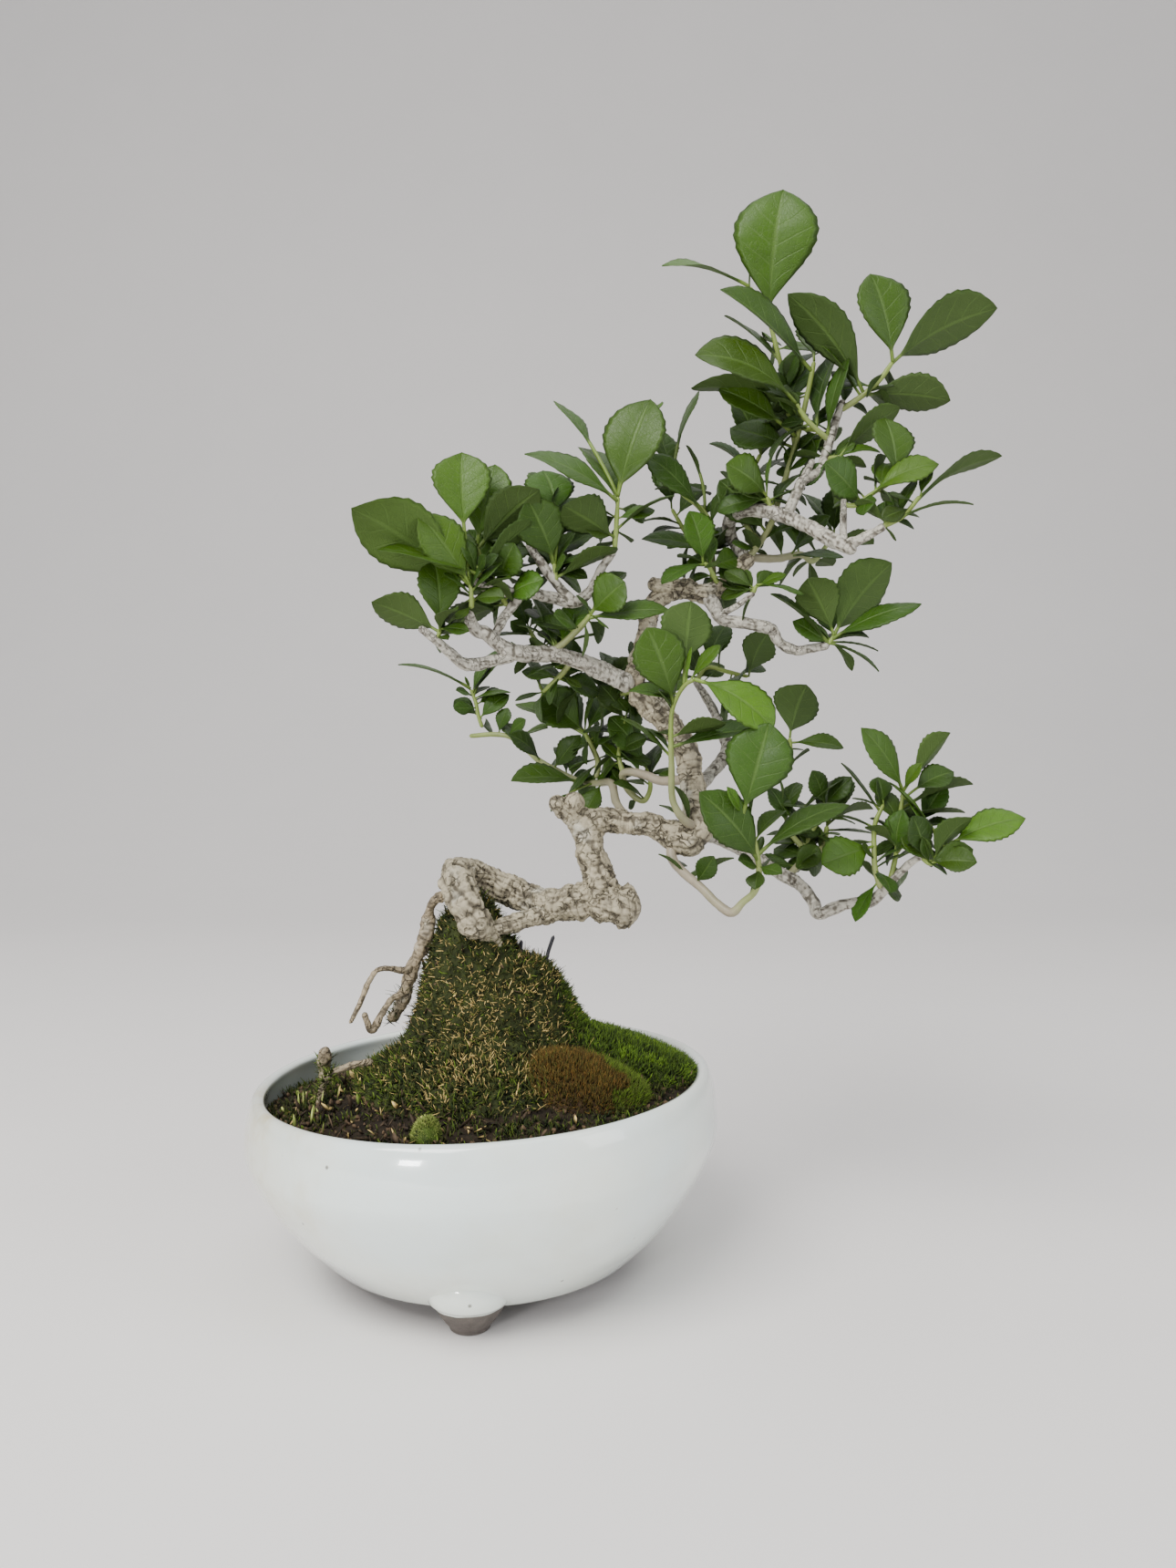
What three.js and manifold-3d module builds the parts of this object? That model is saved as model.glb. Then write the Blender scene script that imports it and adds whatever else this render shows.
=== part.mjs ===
// A small bonsai tree in a round, incurved bowl on three feet.
//
// Millimetres, +Z up, -Y towards the viewer. Everything is laid out around the bowl's own axis, with
// the table at z = 0, and the finished group is then moved so that the middle of its bounding box's
// underside is the origin. Points of the wood and of the leafy shoots are hand-placed, as a route is.
import * as THREE from 'three';
import { mergeVertices } from 'three/addons/utils/BufferGeometryUtils.js';
import Module from 'manifold-3d';

// ---------------------------------------------------------------- driving dimensions

const CLEARANCE = 0.35; // gap left between neighbouring pieces

const POT_WIDEST_RADIUS = 75;
const POT_WIDEST_Z = 44;
const POT_LIP_RADIUS = 71;
const POT_LIP_Z = 60.8;
const POT_BASE_RADIUS = 49;
const POT_BASE_Z = 6.8;
const POT_FLOOR_Z = 11.5;
const POT_WALL = 4.2;
const POT_RIM_RISE = 0.04; // the rim is not level: it climbs this much per millimetre to the right
const POT_SIDES = 36;
const BELLY_FULLNESS = 1.5;
const BELLY_ROUNDNESS = 0.95;
const OUTSIDE_SHARES = [0.04, 0.12, 0.25, 0.4, 0.6, 0.76, 0.88, 0.96]; // heights of the profile's rows
const INSIDE_SHARES = [0.96, 0.78, 0.55, 0.35, 0.2];
const BASE_ROUNDING = 1.5;

const FOOT_RING_RADIUS = 45;
const FOOT_SOLE_RADIUS = 5.9;
const FOOT_SHOULDER_RADIUS = 10.8;
const FOOT_HEIGHT = 9.5;
const FOOT_ANGLES = [-90, 30, 150];
const FOOT_SIDES = 14;

const DRAIN_HOLE_RADIUS = 7;
const DRAIN_MESH_SIZE = 24;
const DRAIN_MESH_THICKNESS = 0.8;

const SOIL_LEVEL = 51.5;
const SOIL_SLOPE = 0.06; // the soil follows the rim up to the right
const SOIL_TILT = -0.03; // and lies lower at the back
// Humps of the soil under the moss: centre x, y, half widths x, y, height, squareness.
const SOIL_HUMPS = [
  [5, -2, 50, 44, 22, 2],
  [-7, -1, 15, 14, 20, 4],
  [5, 0, 24, 22, 20, 6],
];

const SOIL_TO_MOSS = 0.7; // upright gap between soil and moss, which leaves the clearance on a steep flank
const MOSS_CENTRE = [3, -5];
const MOSS_RADIUS = 43;
const MOSS_RINGS = [0, 0.13, 0.26, 0.39, 0.52, 0.65, 0.8, 0.92, 1];
const MOSS_THICKNESS = 4.5;
const MOSS_EDGE = 0.8;
const GROUND_SIDES = 20;

const LEAF_THICKNESS = 0.95;
const LEAF_YOUTH_THINNING = 0.2;
const LEAF_ARCH = 0.07; // how far a blade bows out of its chord, as a share of its length
const BLADE_FULLNESS = 1.08; // width of a blade's middle rows, as a share of its greatest width
const BLADE_ROOM = 0.87; // a three-sided blade reaches this share of its section's radius sideways
const STALK_RADIUS = 0.55;
const STALK_SHARE = 0.1; // share of a leaf's length that is stalk, unless its row says otherwise

const SMALLEST_LEAF = 9; // shorter leaves and buds are left to the visual model

const LIMB_SIDES = 7;
const STEM_SIDES = 4;
const LEAF_SIDES = 3; // a flat upper face and a keel under the midrib

// ---------------------------------------------------------------- finishes

function finish(color, roughness) {
  return new THREE.MeshStandardMaterial({ color, roughness, metalness: 0 });
}

const FINISHES = {
  glaze: finish(0xe4e3db, 0.25),
  mesh: finish(0x2b2b2b, 0.6),
  soil: finish(0x2e261e, 0.95),
  moss: finish(0x55602a, 0.95),
  brownMoss: finish(0x7a5228, 0.95),
  greenMoss: finish(0x4f7a2b, 0.95),
  paleMoss: finish(0x8aa05a, 0.95),
  bark: finish(0xa39a88, 0.85),
  twig: finish(0xb0a894, 0.8),
  root: finish(0xb3a78e, 0.85),
  wire: finish(0x2a2623, 0.5),
  deadLeaf: finish(0xb59a6c, 0.8),
  leaf: finish(0x3f6f2c, 0.4),
};

// ---------------------------------------------------------------- wood

// Each run is a list of [x, y, z, radius]. A limb is its runs joined into one piece of wood.
const WOOD = [
  {
    name: 'trunk',
    finish: 'bark',
    runs: [
      [
        [3, 0, 90, 6], [2, -4, 99, 5.6], [0, -8.5, 106.5, 5.3], [-2.5, -11, 112, 5.2],
        [-6, -9, 119, 5.4], [-8.5, -4, 123.5, 5.3], [-7.5, 3, 125, 5.1], [-1, 7, 122.5, 4.9],
        [8.5, 7, 118.3, 5], [18, 4, 115, 5.3], [26, 0, 115, 5.2], [33.5, -3, 116.5, 5.3],
        [37.5, -4, 120, 5.2], [36, -3, 127, 4.7], [34, -2, 134, 4.5], [33.5, 0, 140, 5.2],
        [38.5, 2, 141.5, 4.6], [46, 3, 141, 3.8], [53, 2, 140.5, 3.8], [60, 0, 137, 4.6],
        [65.5, -2, 136, 5], [69, -1, 140, 4.6], [68.5, 2, 147, 3.9], [67.5, 5, 156.5, 3.8],
        [65.5, 6, 165, 4], [60, 5, 172.5, 4.1], [54, 4, 179.5, 4.1], [48.5, 3, 185.5, 4.3],
      ],
      [[33, -3, 116.5, 5.4], [41.5, -5, 115, 6.4], [46, -6, 114.5, 7.6], [50.5, -6, 114, 5]],
      [[0, -8, 106, 3.4], [6, -6, 108.5, 3], [13, -2, 110, 3], [20, 0, 111.5, 3.2], [26, -1, 113.5, 3]],
      [[33, 0, 140.5, 4.6], [27, 0, 145, 3.9], [21.5, -2, 149, 2.6]],
      [[28, 0, 144.5, 3.4], [29.5, -4, 149, 3.4], [30, -5, 151, 2]],
    ],
  },
  {
    name: 'leader',
    finish: 'bark',
    runs: [
      [
        [48.5, 3, 185.5, 3.8], [50.5, 4, 193.5, 3.5], [52.5, 5, 203, 3.3], [54, 6, 211, 3.1],
        [59, 6, 215.5, 3.1], [65, 4, 217, 3.1], [72, 2, 215, 3.3], [78, 4, 218.5, 2.6],
        [83.5, 7, 224.5, 2.6], [87, 9, 229, 2.4],
      ],
      [[62, 5, 217, 2.8], [53, 4, 219, 2.2]],
    ],
  },
  {
    name: 'branch_left',
    finish: 'twig',
    runs: [
      [
        [48.5, 3, 185.5, 3.2], [43.5, 1, 187.5, 3], [38.5, 0, 190, 3], [32, -2, 192.5, 2.7],
        [25.5, -4, 194.5, 2.5], [17.5, -7, 195, 2.6], [10, -10, 195, 2.5], [5, -12, 198, 2.2],
        [2, -14, 200.5, 2.1], [-1, -15, 201.5, 2.1], [-2.5, -17, 204.5, 1.9], [-2.5, -18, 207, 1.6],
      ],
      [
        [11, -10, 194.5, 1.9], [5, -11, 192.5, 1.9], [-4, -14, 191, 2], [-9, -17, 194.5, 1.6],
        [-13, -20, 198, 1.3], [-17.5, -22, 201.5, 1.1],
      ],
    ],
  },
  {
    name: 'branch_left_upper',
    finish: 'twig',
    runs: [
      [
        [4, -12, 199, 1.5], [7, -12, 205, 1.5], [11, -12, 210.5, 1.5], [13.5, -12, 213.5, 1.7],
        [22, -8, 212.5, 1.9], [29, -5, 211.5, 1.9], [34, -6, 214.5, 1.6], [37, -8, 220, 1.4],
        [40, -9, 224.5, 1.3], [42, -9, 227, 1.1],
      ],
      [
        [13.5, -12, 213.5, 1.7], [8.5, -13, 213.5, 1.7], [4, -15, 214, 1.6], [-0.5, -17, 215.5, 1.5],
        [-2, -18, 217, 1.2],
      ],
      [[29, -5, 211.5, 1.7], [23.5, -7, 217, 1.5], [19.5, -9, 222.5, 1.4], [14.5, -10, 229, 1.1]],
    ],
  },
  {
    name: 'branch_right',
    finish: 'twig',
    runs: [
      [
        [72, 2, 215, 2.8], [74.5, 0, 210.5, 2.4], [77, -1, 206.5, 2], [85, -2, 205, 1.9],
        [92, -2, 203.5, 2], [94.5, -2, 199.5, 1.8], [99.5, -2, 196.5, 1.6], [105, -3, 197, 1.4],
        [110.5, -4, 198, 1.2],
      ],
      [[76, -1, 208, 1.2], [81, -3, 210.5, 1], [86.5, -5, 214.5, 0.8]],
    ],
  },
  {
    name: 'branch_top',
    finish: 'twig',
    runs: [
      [
        [85.5, 8, 228, 2.2], [82.5, 13, 233.5, 2], [80, 10, 238.5, 2.1], [82, 4, 241.5, 2.2],
        [89.5, 0, 241.5, 2.2], [97, -4, 238.5, 2.2], [103, -8, 234.5, 2.2], [109, -12, 230, 2.2],
        [116, -16, 225.5, 1.9],
      ],
      [[113, -14, 227.5, 1.8], [119, -16, 230, 1.5], [124.5, -18, 233, 1.2]],
      [[112.5, -14, 228.5, 1.2], [113, -12, 236.5, 1.1], [113.5, -10, 243, 0.9]],
    ],
  },
  {
    name: 'branch_apex',
    finish: 'twig',
    runs: [
      [
        [97, -4, 239, 1.7], [99.5, -3, 245.5, 1.7], [102.5, -2, 251, 1.8], [107.5, -1, 253.5, 1.6],
        [110, 0, 260, 1.5], [111.5, 0, 265.5, 1.5], [113.5, 0, 271.5, 1.3], [115.5, 0, 277, 1],
      ],
      [[102.5, -2, 251, 1.4], [105.5, -2, 257.5, 1.1]],
    ],
  },
  {
    name: 'branch_cascade',
    finish: 'twig',
    runs: [
      [
        [68.5, -2, 138, 2.6], [78.5, 8, 135, 2.4], [88.5, 8, 129.5, 2.2], [96, 5, 124.5, 2.1],
        [103, 2, 120.5, 2.1], [106.5, 0, 115.5, 2], [108, -2, 112, 2.1], [115, -4, 115, 1.9],
        [123.5, -6, 116.5, 1.8], [127, -7, 120, 1.6], [131, -9, 125, 1.3], [135.5, -10, 129.5, 1.2],
        [138.5, -11, 131.5, 1],
      ],
    ],
  },
  {
    name: 'branch_back_right',
    finish: 'twig',
    runs: [
      [
        [67, 6, 151, 2.4], [75, 20, 156.5, 2.3], [82, 31, 164.5, 2.2], [80.5, 37, 174, 1.8],
        [76.5, 41, 183, 1.5], [72, 43, 190.5, 1.2],
      ],
    ],
  },
];

// Surface roots that run down the left flank of the mound, and what else stands in the soil.
const ROOTS = [
  {
    name: 'root_upper',
    finish: 'root',
    runs: [
      [
        [-12, -9, 119, 2], [-15, -7, 117, 1.4], [-17, -5, 113.5, 1.3], [-17.5, -4, 110, 2.2],
        [-18, -4, 105.5, 2.3], [-20, -4, 100.5, 2.2], [-22, -4, 96.5, 2], [-24, -4, 90.5, 2.2],
        [-26, -4, 84, 2], [-30, -3, 77.5, 1.6],
      ],
    ],
  },
  {
    name: 'root_reaching',
    finish: 'root',
    runs: [
      [[-22.5, -5, 95, 1.4], [-26, -8, 95, 1.1], [-31.5, -12, 96, 0.9], [-34.5, -14, 92.5, 0.9],
        [-37, -16, 86, 0.8], [-40, -17, 80, 0.7]],
    ],
  },
  {
    name: 'root_hooked',
    finish: 'root',
    runs: [
      [[-25, -6, 87, 1.4], [-28, -9, 86, 1.1], [-31, -12, 82, 1.2], [-34, -13, 77, 1.1],
        [-36, -15, 83, 0.8]],
    ],
  },
  {
    name: 'root_rim',
    finish: 'root',
    runs: [
      [
        [-33, -16, 68, 1.1], [-40, -18, 67, 1.1], [-46, -20, 64, 1.1], [-49, -20, 56, 1.1],
        [-50, -20, 50, 1.1],
      ],
    ],
  },
  {
    name: 'dead_stub',
    finish: 'root',
    runs: [
      [
        [-55, 15, 44, 2.4], [-55, 15, 51, 2.2], [-55.5, 15, 58, 1.8], [-55, 14, 62, 2.6],
        [-54.5, 14, 65, 1.6],
      ],
    ],
  },
  {
    name: 'wire_stub_low',
    finish: 'wire',
    runs: [[[11.5, -2, 93, 0.6], [11.8, -2, 99, 0.6], [12.2, -2, 103.5, 0.6]]],
  },
  {
    name: 'wire_stub_high',
    finish: 'wire',
    runs: [[[19.6, -2, 90, 0.6], [20.4, -2, 98, 0.6], [22.6, -2, 105, 0.6]]],
  },
];

// Leafy shoots. A stem is a list of [x, y, z, radius]. A leaf is
// [place along the stem 0..1, dx, dy, dz to its tip, turn, width / length, youth, stalk share].
// Turn 0 has the upper face to the viewer, 90 has it up, and 180 shows the underside.
const SHOOTS = [
  {
    name: 'shoot_left_tip',
    stem: [[-12, -20, 198.5, 1], [-11.5, -20, 201.5, 0.8]],
    leaves: [
      [1, -1.5, 0, 20, 20, 0.6, 0.45], [0.6, -19.5, -5, 8.5, 140, 0.55, 0.35],
      [0.2, 3.5, -4, -1.5, 50, 0.6, 0.2], [0.5, 4.5, 4, 3.5, 60, 0.5, 0.3],
    ],
  },
  {
    name: 'shoot_left_big',
    stem: [[-2, -18, 207.5, 1.1], [-2, -19, 212, 0.9], [-2.5, -19, 215.5, 0.8]],
    leaves: [
      [0.9, -14.5, -8, 20, 25, 0.52, 0.5], [1, -3, 6, 41, 12, 0.61, 0.6, 0.42],
      [0.9, -32.5, -16, 20.5, 155, 0.48, 0.75], [0.5, -7.5, -5, 6, 70, 0.5, 0.45],
      [0.1, -4, -5, -4.5, 40, 0.5, 0.5],
    ],
  },
  {
    name: 'shoot_left_mid',
    stem: [[-1.5, -17, 216.5, 1], [1, -18, 219, 0.8]],
    leaves: [
      [0.6, -28, -14, 6, 68, 0.42, 0.3], [1, 15.5, 2, 15.5, 112, 0.4, 0.4],
      [0.9, -9.5, 6, 13.5, 30, 0.5, 0.4],
    ],
  },
  {
    name: 'shoot_left_high',
    stem: [[8.5, -12, 209, 1.1], [4, -11, 217.5, 1], [0.5, -12, 223.5, 0.9], [-1, -12, 228, 0.8]],
    leaves: [
      [1, 5.5, 4, 26, 12, 0.56, 0.5], [0.95, 19, -6, 17.5, 140, 0.58, 0.2],
      [0.35, 6, -7, 12, 15, 0.72, 0.35], [0.1, 12.5, -6, 5.5, 35, 0.7, 0.45],
      [0.05, -19, 14, -5.5, 110, 0.5, 0.1], [0.2, -2.5, 8, -11.5, 70, 0.5, 0.1],
      [0.6, 12, 6, 8.5, 40, 0.6, 0.1],
    ],
  },
  {
    name: 'shoot_left_centre',
    stem: [[23.5, -8, 217.5, 1.1], [23, -8, 223.5, 0.9]],
    leaves: [
      [1, -8, -8, 18, 10, 0.66, 0.2], [0.2, 19, -8, 8.5, 110, 0.5, 0.4],
      [0.9, -3.5, 9, 32.5, 20, 0.8, 0.45, 0.5], [0.9, -6.5, 16, 33.5, 40, 0.5, 0.5, 0.4],
      [0.1, 11.5, 8, 7, 105, 0.45, 0.1], [0.7, 5.5, 5, 13, 50, 0.5, 0.3],
      [0.8, 1, 12, 27.5, 60, 0.5, 0.1, 0.4],
    ],
  },
  {
    name: 'shoot_left_crest',
    stem: [[42, -9, 227.5, 1.1], [42.5, -9, 235.5, 1], [43, -9, 244, 0.8]],
    leaves: [
      [1, 10, 0, 30.5, 15, 0.57, 0.45], [0.9, -27.5, -12, 13, 55, 0.42, 0.35],
      [1, -19.5, 16, 36, 60, 0.4, 0.5, 0.5], [0.35, 17.5, -6, 10, 78, 0.36, 0.2],
      [0.2, -16, -14, 7, 145, 0.6, 0.1], [0.85, -11, 14, 22, 40, 0.5, 0.3],
      [1, 15, 12, 33, 60, 0.45, 0.8, 0.7],
    ],
  },
  {
    name: 'shoot_mid_left',
    stem: [
      [74.5, 4, 217, 1.6], [74, 5, 227.5, 1.3], [73.5, 6, 238.5, 1.2], [69.5, 8, 245, 1.1],
      [64.5, 8, 249, 0.9], [61.5, 8, 255.5, 0.8],
    ],
    leaves: [
      [1, 8, 8, 30, 72, 0.3, 0.1, 0.3], [0.75, -15, -5, 11, 65, 0.4, 0.15],
      [1, -5, 6, 16.5, 30, 0.6, 0.2], [0.5, -20, -8, 21, 42, 0.46, 0.15, 0.25],
      [0.6, -5.5, 4, 23.5, 80, 0.4, 0, 0.55], [0.85, -9, -6, -0.5, 80, 0.3, 0.1],
      [0.28, -23, -6, 3.5, 50, 0.42, 0.25], [0.46, 5, -2, 13, 60, 0.5, 0.2],
    ],
  },
  {
    name: 'shoot_mid',
    stem: [[76, 2, 217.5, 1.1], [72.5, 0, 223.5, 0.9], [70.5, -1, 224.5, 0.8]],
    leaves: [
      [1, -4.5, -5, 15.5, 18, 0.62, 0.5], [0.9, -14.5, -7, -7.5, 55, 0.42, 0.5],
      [0.8, -9, 8, 4.5, 80, 0.5, 0.1], [0.7, 1, 3.5, 11, 30, 0.4, 0.35],
      [0.4, -8.5, 6, -1, 50, 0.5, 0.1],
    ],
  },
  {
    name: 'shoot_centre_high',
    stem: [[92.5, -1, 241, 1.1], [91.5, -2, 243.5, 0.9], [90.5, -3, 245.5, 0.8]],
    leaves: [
      [1, -13.5, -7, 8.5, 18, 0.75, 0.45], [1, 1.5, 0, 13, 75, 0.25, 0.5],
      [0.8, -16, 2, -3, 40, 0.5, 0.15], [0.2, 11.5, 8, 13, 70, 0.5, 0.1],
    ],
  },
  {
    name: 'shoot_long',
    stem: [
      [86.5, 8.5, 228, 1.5], [93, 8, 237.5, 1.4], [96.5, 7, 248, 1.3], [99, 6, 256.5, 1.3],
      [101.5, 5, 265.5, 1.2], [104, 4, 276.5, 1.1], [106, 3, 286.5, 1], [106.5, 2, 290, 0.9],
    ],
    leaves: [
      [0.95, -30.5, -14, 21.5, 44, 0.46, 0.4], [1, 3, 7, 17, 20, 0.6, 0.1],
      [0.73, -36.5, -8, 8, 97, 0.36, 0.2], [0.63, -26, -6, 14, 28, 0.52, 0.15, 0.3],
      [0.58, -20, 8, 8.5, 30, 0.6, 0.1], [0.68, -7.5, -2, 13, 35, 0.55, 0.2],
      [0.52, -10, -5, 7.5, 70, 0.5, 0.1], [0.46, 6, -4, 3.5, 60, 0.5, 0.2],
      [0.15, -15.5, -5, 16, 12, 0.62, 0.05], [0.1, 11.5, -2, 4.5, 60, 0.4, 0.1],
      [0.05, -8, -6, 1, 50, 0.5, 0.1],
    ],
  },
  {
    name: 'shoot_apex',
    stem: [
      [101.5, 6.5, 263, 1.2], [99.5, 13, 284.5, 1.1], [96, 14, 300, 1], [92.5, 14, 311, 0.9],
      [87, 12, 318, 0.8],
    ],
    leaves: [
      [1, -29, -8, 5, 62, 0.36, 0.65], [0.78, 3.5, -8, 40, 8, 0.61, 0.5],
      [1, 0, 0, 6.5, 80, 0.25, 0.7], [0.55, -17.5, 8, 18, 60, 0.5, 0.1],
      [0.45, 12.5, 4, 9.5, 60, 0.5, 0.1],
    ],
  },
  {
    name: 'shoot_top_left',
    stem: [[111, 0, 264, 1.2], [104, -2.5, 269, 1.1], [99.5, -4, 274.5, 0.9]],
    leaves: [
      [1, -32, -10, 13, 42, 0.5, 0.3], [0.8, -14.5, 8, 11, 60, 0.6, 0.05],
      [0.35, 9, 9, 31, 62, 0.36, 0.05], [0.05, 5.5, -4, 25, 60, 0.3, 0.1],
      [0.5, -14, -6, -12, 80, 0.4, 0.1], [0.6, -8, 3, -0.5, 30, 0.6, 0.1],
    ],
  },
  {
    name: 'shoot_top_right',
    stem: [[114.5, 0, 273.5, 1.3], [121.5, -1, 278, 1.2], [126.5, -2, 282.5, 1.1], [130.5, -3, 288, 0.9]],
    leaves: [
      [1, -7.5, -4, 26.5, 12, 0.62, 0.3], [0.95, 34.5, 4, 20, 132, 0.45, 0.2],
      [0.4, -26, -10, 28, 125, 0.38, 0.1], [0.35, -13.5, -4, 14.5, 60, 0.4, 0.3],
      [0.38, 28, 0, -1.5, 128, 0.44, 0.1], [0.05, -1, 6, 14, 30, 0.5, 0.05],
    ],
  },
  {
    name: 'shoot_apex_side',
    stem: [[110.5, -1, 258, 1.1], [113.5, -4, 257.5, 0.8]],
    leaves: [
      [1, 18.5, -1, 15.5, 130, 0.46, 0.4], [0.8, 12.5, -4, 1, 50, 0.4, 0.3],
      [0.4, 6, 5, -3, 70, 0.5, 0.1],
    ],
  },
  {
    name: 'shoot_right_high',
    stem: [
      [113.5, -10.5, 241, 1.1], [117, -12, 240.5, 1], [121, -12, 243.5, 0.9], [129.5, -12, 248.5, 0.7],
    ],
    leaves: [
      [0.5, 19, -6, 8.5, 38, 0.5, 0.75], [1, -2.5, 5, 20.5, 20, 0.62, 0.5],
      [0.3, -13, -8, 10, 25, 0.7, 0.45], [0.6, 5, 8, 13, 110, 0.5, 0.1],
      [0.2, -5.5, 8, 5, 75, 0.5, 0.1],
    ],
  },
  {
    name: 'shoot_right_tip',
    stem: [[123.5, -18, 232.5, 1.1], [130, -18, 236, 1], [135, -18, 242, 0.8]],
    leaves: [
      [0.75, 27, 0, 15.5, 100, 0.36, 0.3], [0.35, 21, -6, 3.5, 85, 0.3, 0.2],
      [0.05, 1.5, 4, 8.5, 35, 0.6, 0.15], [0.05, 3, -2, -5, 90, 0.4, 0.1],
      [1, 4, 2, 8.5, 60, 0.45, 0.6], [0.4, 6, 4, 12.5, 60, 0.4, 0.3],
    ],
  },
  {
    name: 'shoot_back_top',
    stem: [
      [87, 10.5, 228.5, 1.8], [96.5, 16, 229, 1.7], [106, 22, 231.5, 1.5], [111, 26, 230, 1.3],
      [116.5, 30, 236, 1.1], [119.5, 32, 240, 0.9],
    ],
    leaves: [
      [1, -10, 6, 16, 50, 0.6, 0.05], [1, 2, -4, 17, 50, 0.6, 0.05], [0.95, 16, 4, 0, 110, 0.6, 0.05],
      [0.7, 8, 8, -1, 115, 0.6, 0.05], [0.75, -12, 8, 13, 75, 0.6, 0.05],
      [0.55, -8, 0, -10, 110, 0.5, 0.1], [0.5, -4, 10, 14, 40, 0.6, 0.05],
      [0.6, 2, 6, -10, 110, 0.5, 0.05], [0.4, 17, -6, -1, 60, 0.45, 0.1], [0.4, 12, -8, 12, 50, 0.5, 0.1],
    ],
  },
  {
    name: 'shoot_right_mid',
    stem: [[110, -4, 198, 1.1], [112, -4, 201, 0.8]],
    leaves: [
      [0.8, 19, 4, 24.5, 150, 0.55, 0.25], [1, -9.5, -5, 17.5, 155, 0.62, 0.35],
      [0.6, 26, -8, 10.5, 62, 0.4, 0.2], [0.1, -19.5, -6, 15, 72, 0.28, 0.1],
      [0.3, 15, -2, -2.5, 82, 0.3, 0.1], [0.2, 13.5, -10, -9.5, 78, 0.28, 0.1],
      [0.4, -8, 8, 7, 60, 0.5, 0.2], [0.9, 2, 10, 13, 40, 0.5, 0.1],
    ],
  },
  {
    name: 'shoot_small_top',
    stem: [[86, -4.5, 214, 1], [87, -5, 217, 0.8]],
    leaves: [
      [1, 13.5, -8, -4.5, 62, 0.4, 0.5], [0.6, 9, -4, 4, 50, 0.5, 0.35], [0.3, -9, 6, 4, 40, 0.6, 0.1],
    ],
  },
  {
    name: 'shoot_back_right',
    stem: [[72.5, 43, 189.5, 1.2], [76.5, 44, 195, 1.1], [84, 40, 193, 1], [90.5, 36, 191, 0.8]],
    leaves: [
      [1, 7, 0, 16, 150, 0.8, 0.3], [0.5, 1, -5, 9.5, 110, 0.4, 0.05], [0.3, 7, 1, 16, 30, 0.6, 0.1],
      [0.1, -9.5, 4, 18, 50, 0.6, 0.1], [0.8, -4, 2, -19, 110, 0.5, 0.1], [0.1, -14.5, 4, -2, 60, 0.5, 0.1],
    ],
  },
  {
    name: 'shoot_front',
    stem: [
      [67.5, -4.5, 140, 2], [63, -9, 143.5, 1.7], [60, -11, 149.5, 1.4], [59.5, -14, 159, 1.3],
      [59, -18, 170.5, 1], [59.5, -20, 177.5, 0.9], [62.5, -23, 183.5, 0.8], [65.5, -25, 185.5, 0.8],
    ],
    leaves: [
      [0.8, -8.5, -6, 23, 5, 0.58, 0.25], [0.93, 2, 5, 26, 165, 0.78, 0.5, 0.33],
      [0.95, 1, -1.5, 11, 60, 0.2, 1], [1, 22.5, -9, -14.5, 32, 0.5, 0.85],
      [0.97, 9, -1, 11, 55, 0.4, 0.7], [0.62, 16, -7, 4, 120, 0.5, 0.3],
      [0.56, 27, -4, 6.5, 58, 0.34, 0.1], [0.5, -15, -5, 12.5, 70, 0.3, 0.3],
      [0.53, -9, 4, 8, 65, 0.4, 0.2],
    ],
  },
  {
    name: 'shoot_front_right',
    stem: [
      [60.5, -2, 134, 2.4], [60.5, -4, 130, 2.2], [63.5, -8, 126, 2], [68.5, -14, 122, 1.9],
      [72.5, -18, 118, 1.8], [77, -22, 115, 1.9], [80.5, -24, 118.5, 1.4], [84, -26, 122.5, 1.3],
      [84.5, -28, 129.5, 1.2], [82, -31, 140, 1], [79, -33, 145, 0.9],
    ],
    leaves: [
      [1, 7, -4, 27, 10, 0.64, 0.1], [1, -5, -3, 8.5, 50, 0.45, 1], [0.77, -18, -8, 21, 18, 0.46, 0.05],
      [0.8, 28, 2, 15, 60, 0.32, 0.1], [0.75, 6, -6, -1.5, 45, 0.6, 0.2],
      [0.74, -6.5, -4, 3, 50, 0.7, 0.1], [0.74, -1.5, -3, -6, 40, 0.8, 0.1],
      [0.76, -8.5, -1, 13, 60, 0.45, 0.1], [0.95, 2, 1, 10, 80, 0.3, 0.4],
    ],
  },
  {
    name: 'shoot_mid_right',
    stem: [
      [82.5, 30, 164, 1.5], [91.5, 24, 160, 1.3], [98.5, 14, 157, 1.2], [100.5, 11, 164, 1.1],
      [100.5, 10, 169, 0.9],
    ],
    leaves: [
      [1, 5.5, 3, 17.5, 160, 0.88, 0.15], [0.95, 17, -4, -1, 50, 0.4, 0.2], [0.9, 5, 2, -0.5, 80, 0.4, 0.1],
      [0.6, 1, -4, -9, 90, 0.25, 0], [0.2, -6, 4, 6, 40, 0.6, 0.2], [0.3, -8, 6, 9, 60, 0.5, 0.05],
      [0.7, 10, 6, 6, 100, 0.5, 0.1],
    ],
  },
  {
    name: 'shoot_cascade_inner',
    stem: [
      [99, 4, 123.5, 1.6], [104, 8, 128, 1.6], [105, 11, 132, 1.3], [101, 11, 137, 1.2],
      [99.5, 11, 140, 0.9],
    ],
    leaves: [
      [1, 21, 4, 16, 80, 0.3, 0.05, 0.3], [1, -5, 6, 12.5, 30, 0.5, 0.15], [1, 5, 9, 14, 60, 0.55, 0.05],
      [0.9, 7, -2, -0.5, 85, 0.3, 0.1], [0.9, -7.5, 0, -1.5, 70, 0.4, 0.1],
    ],
  },
  {
    name: 'shoot_cascade_mid',
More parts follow.
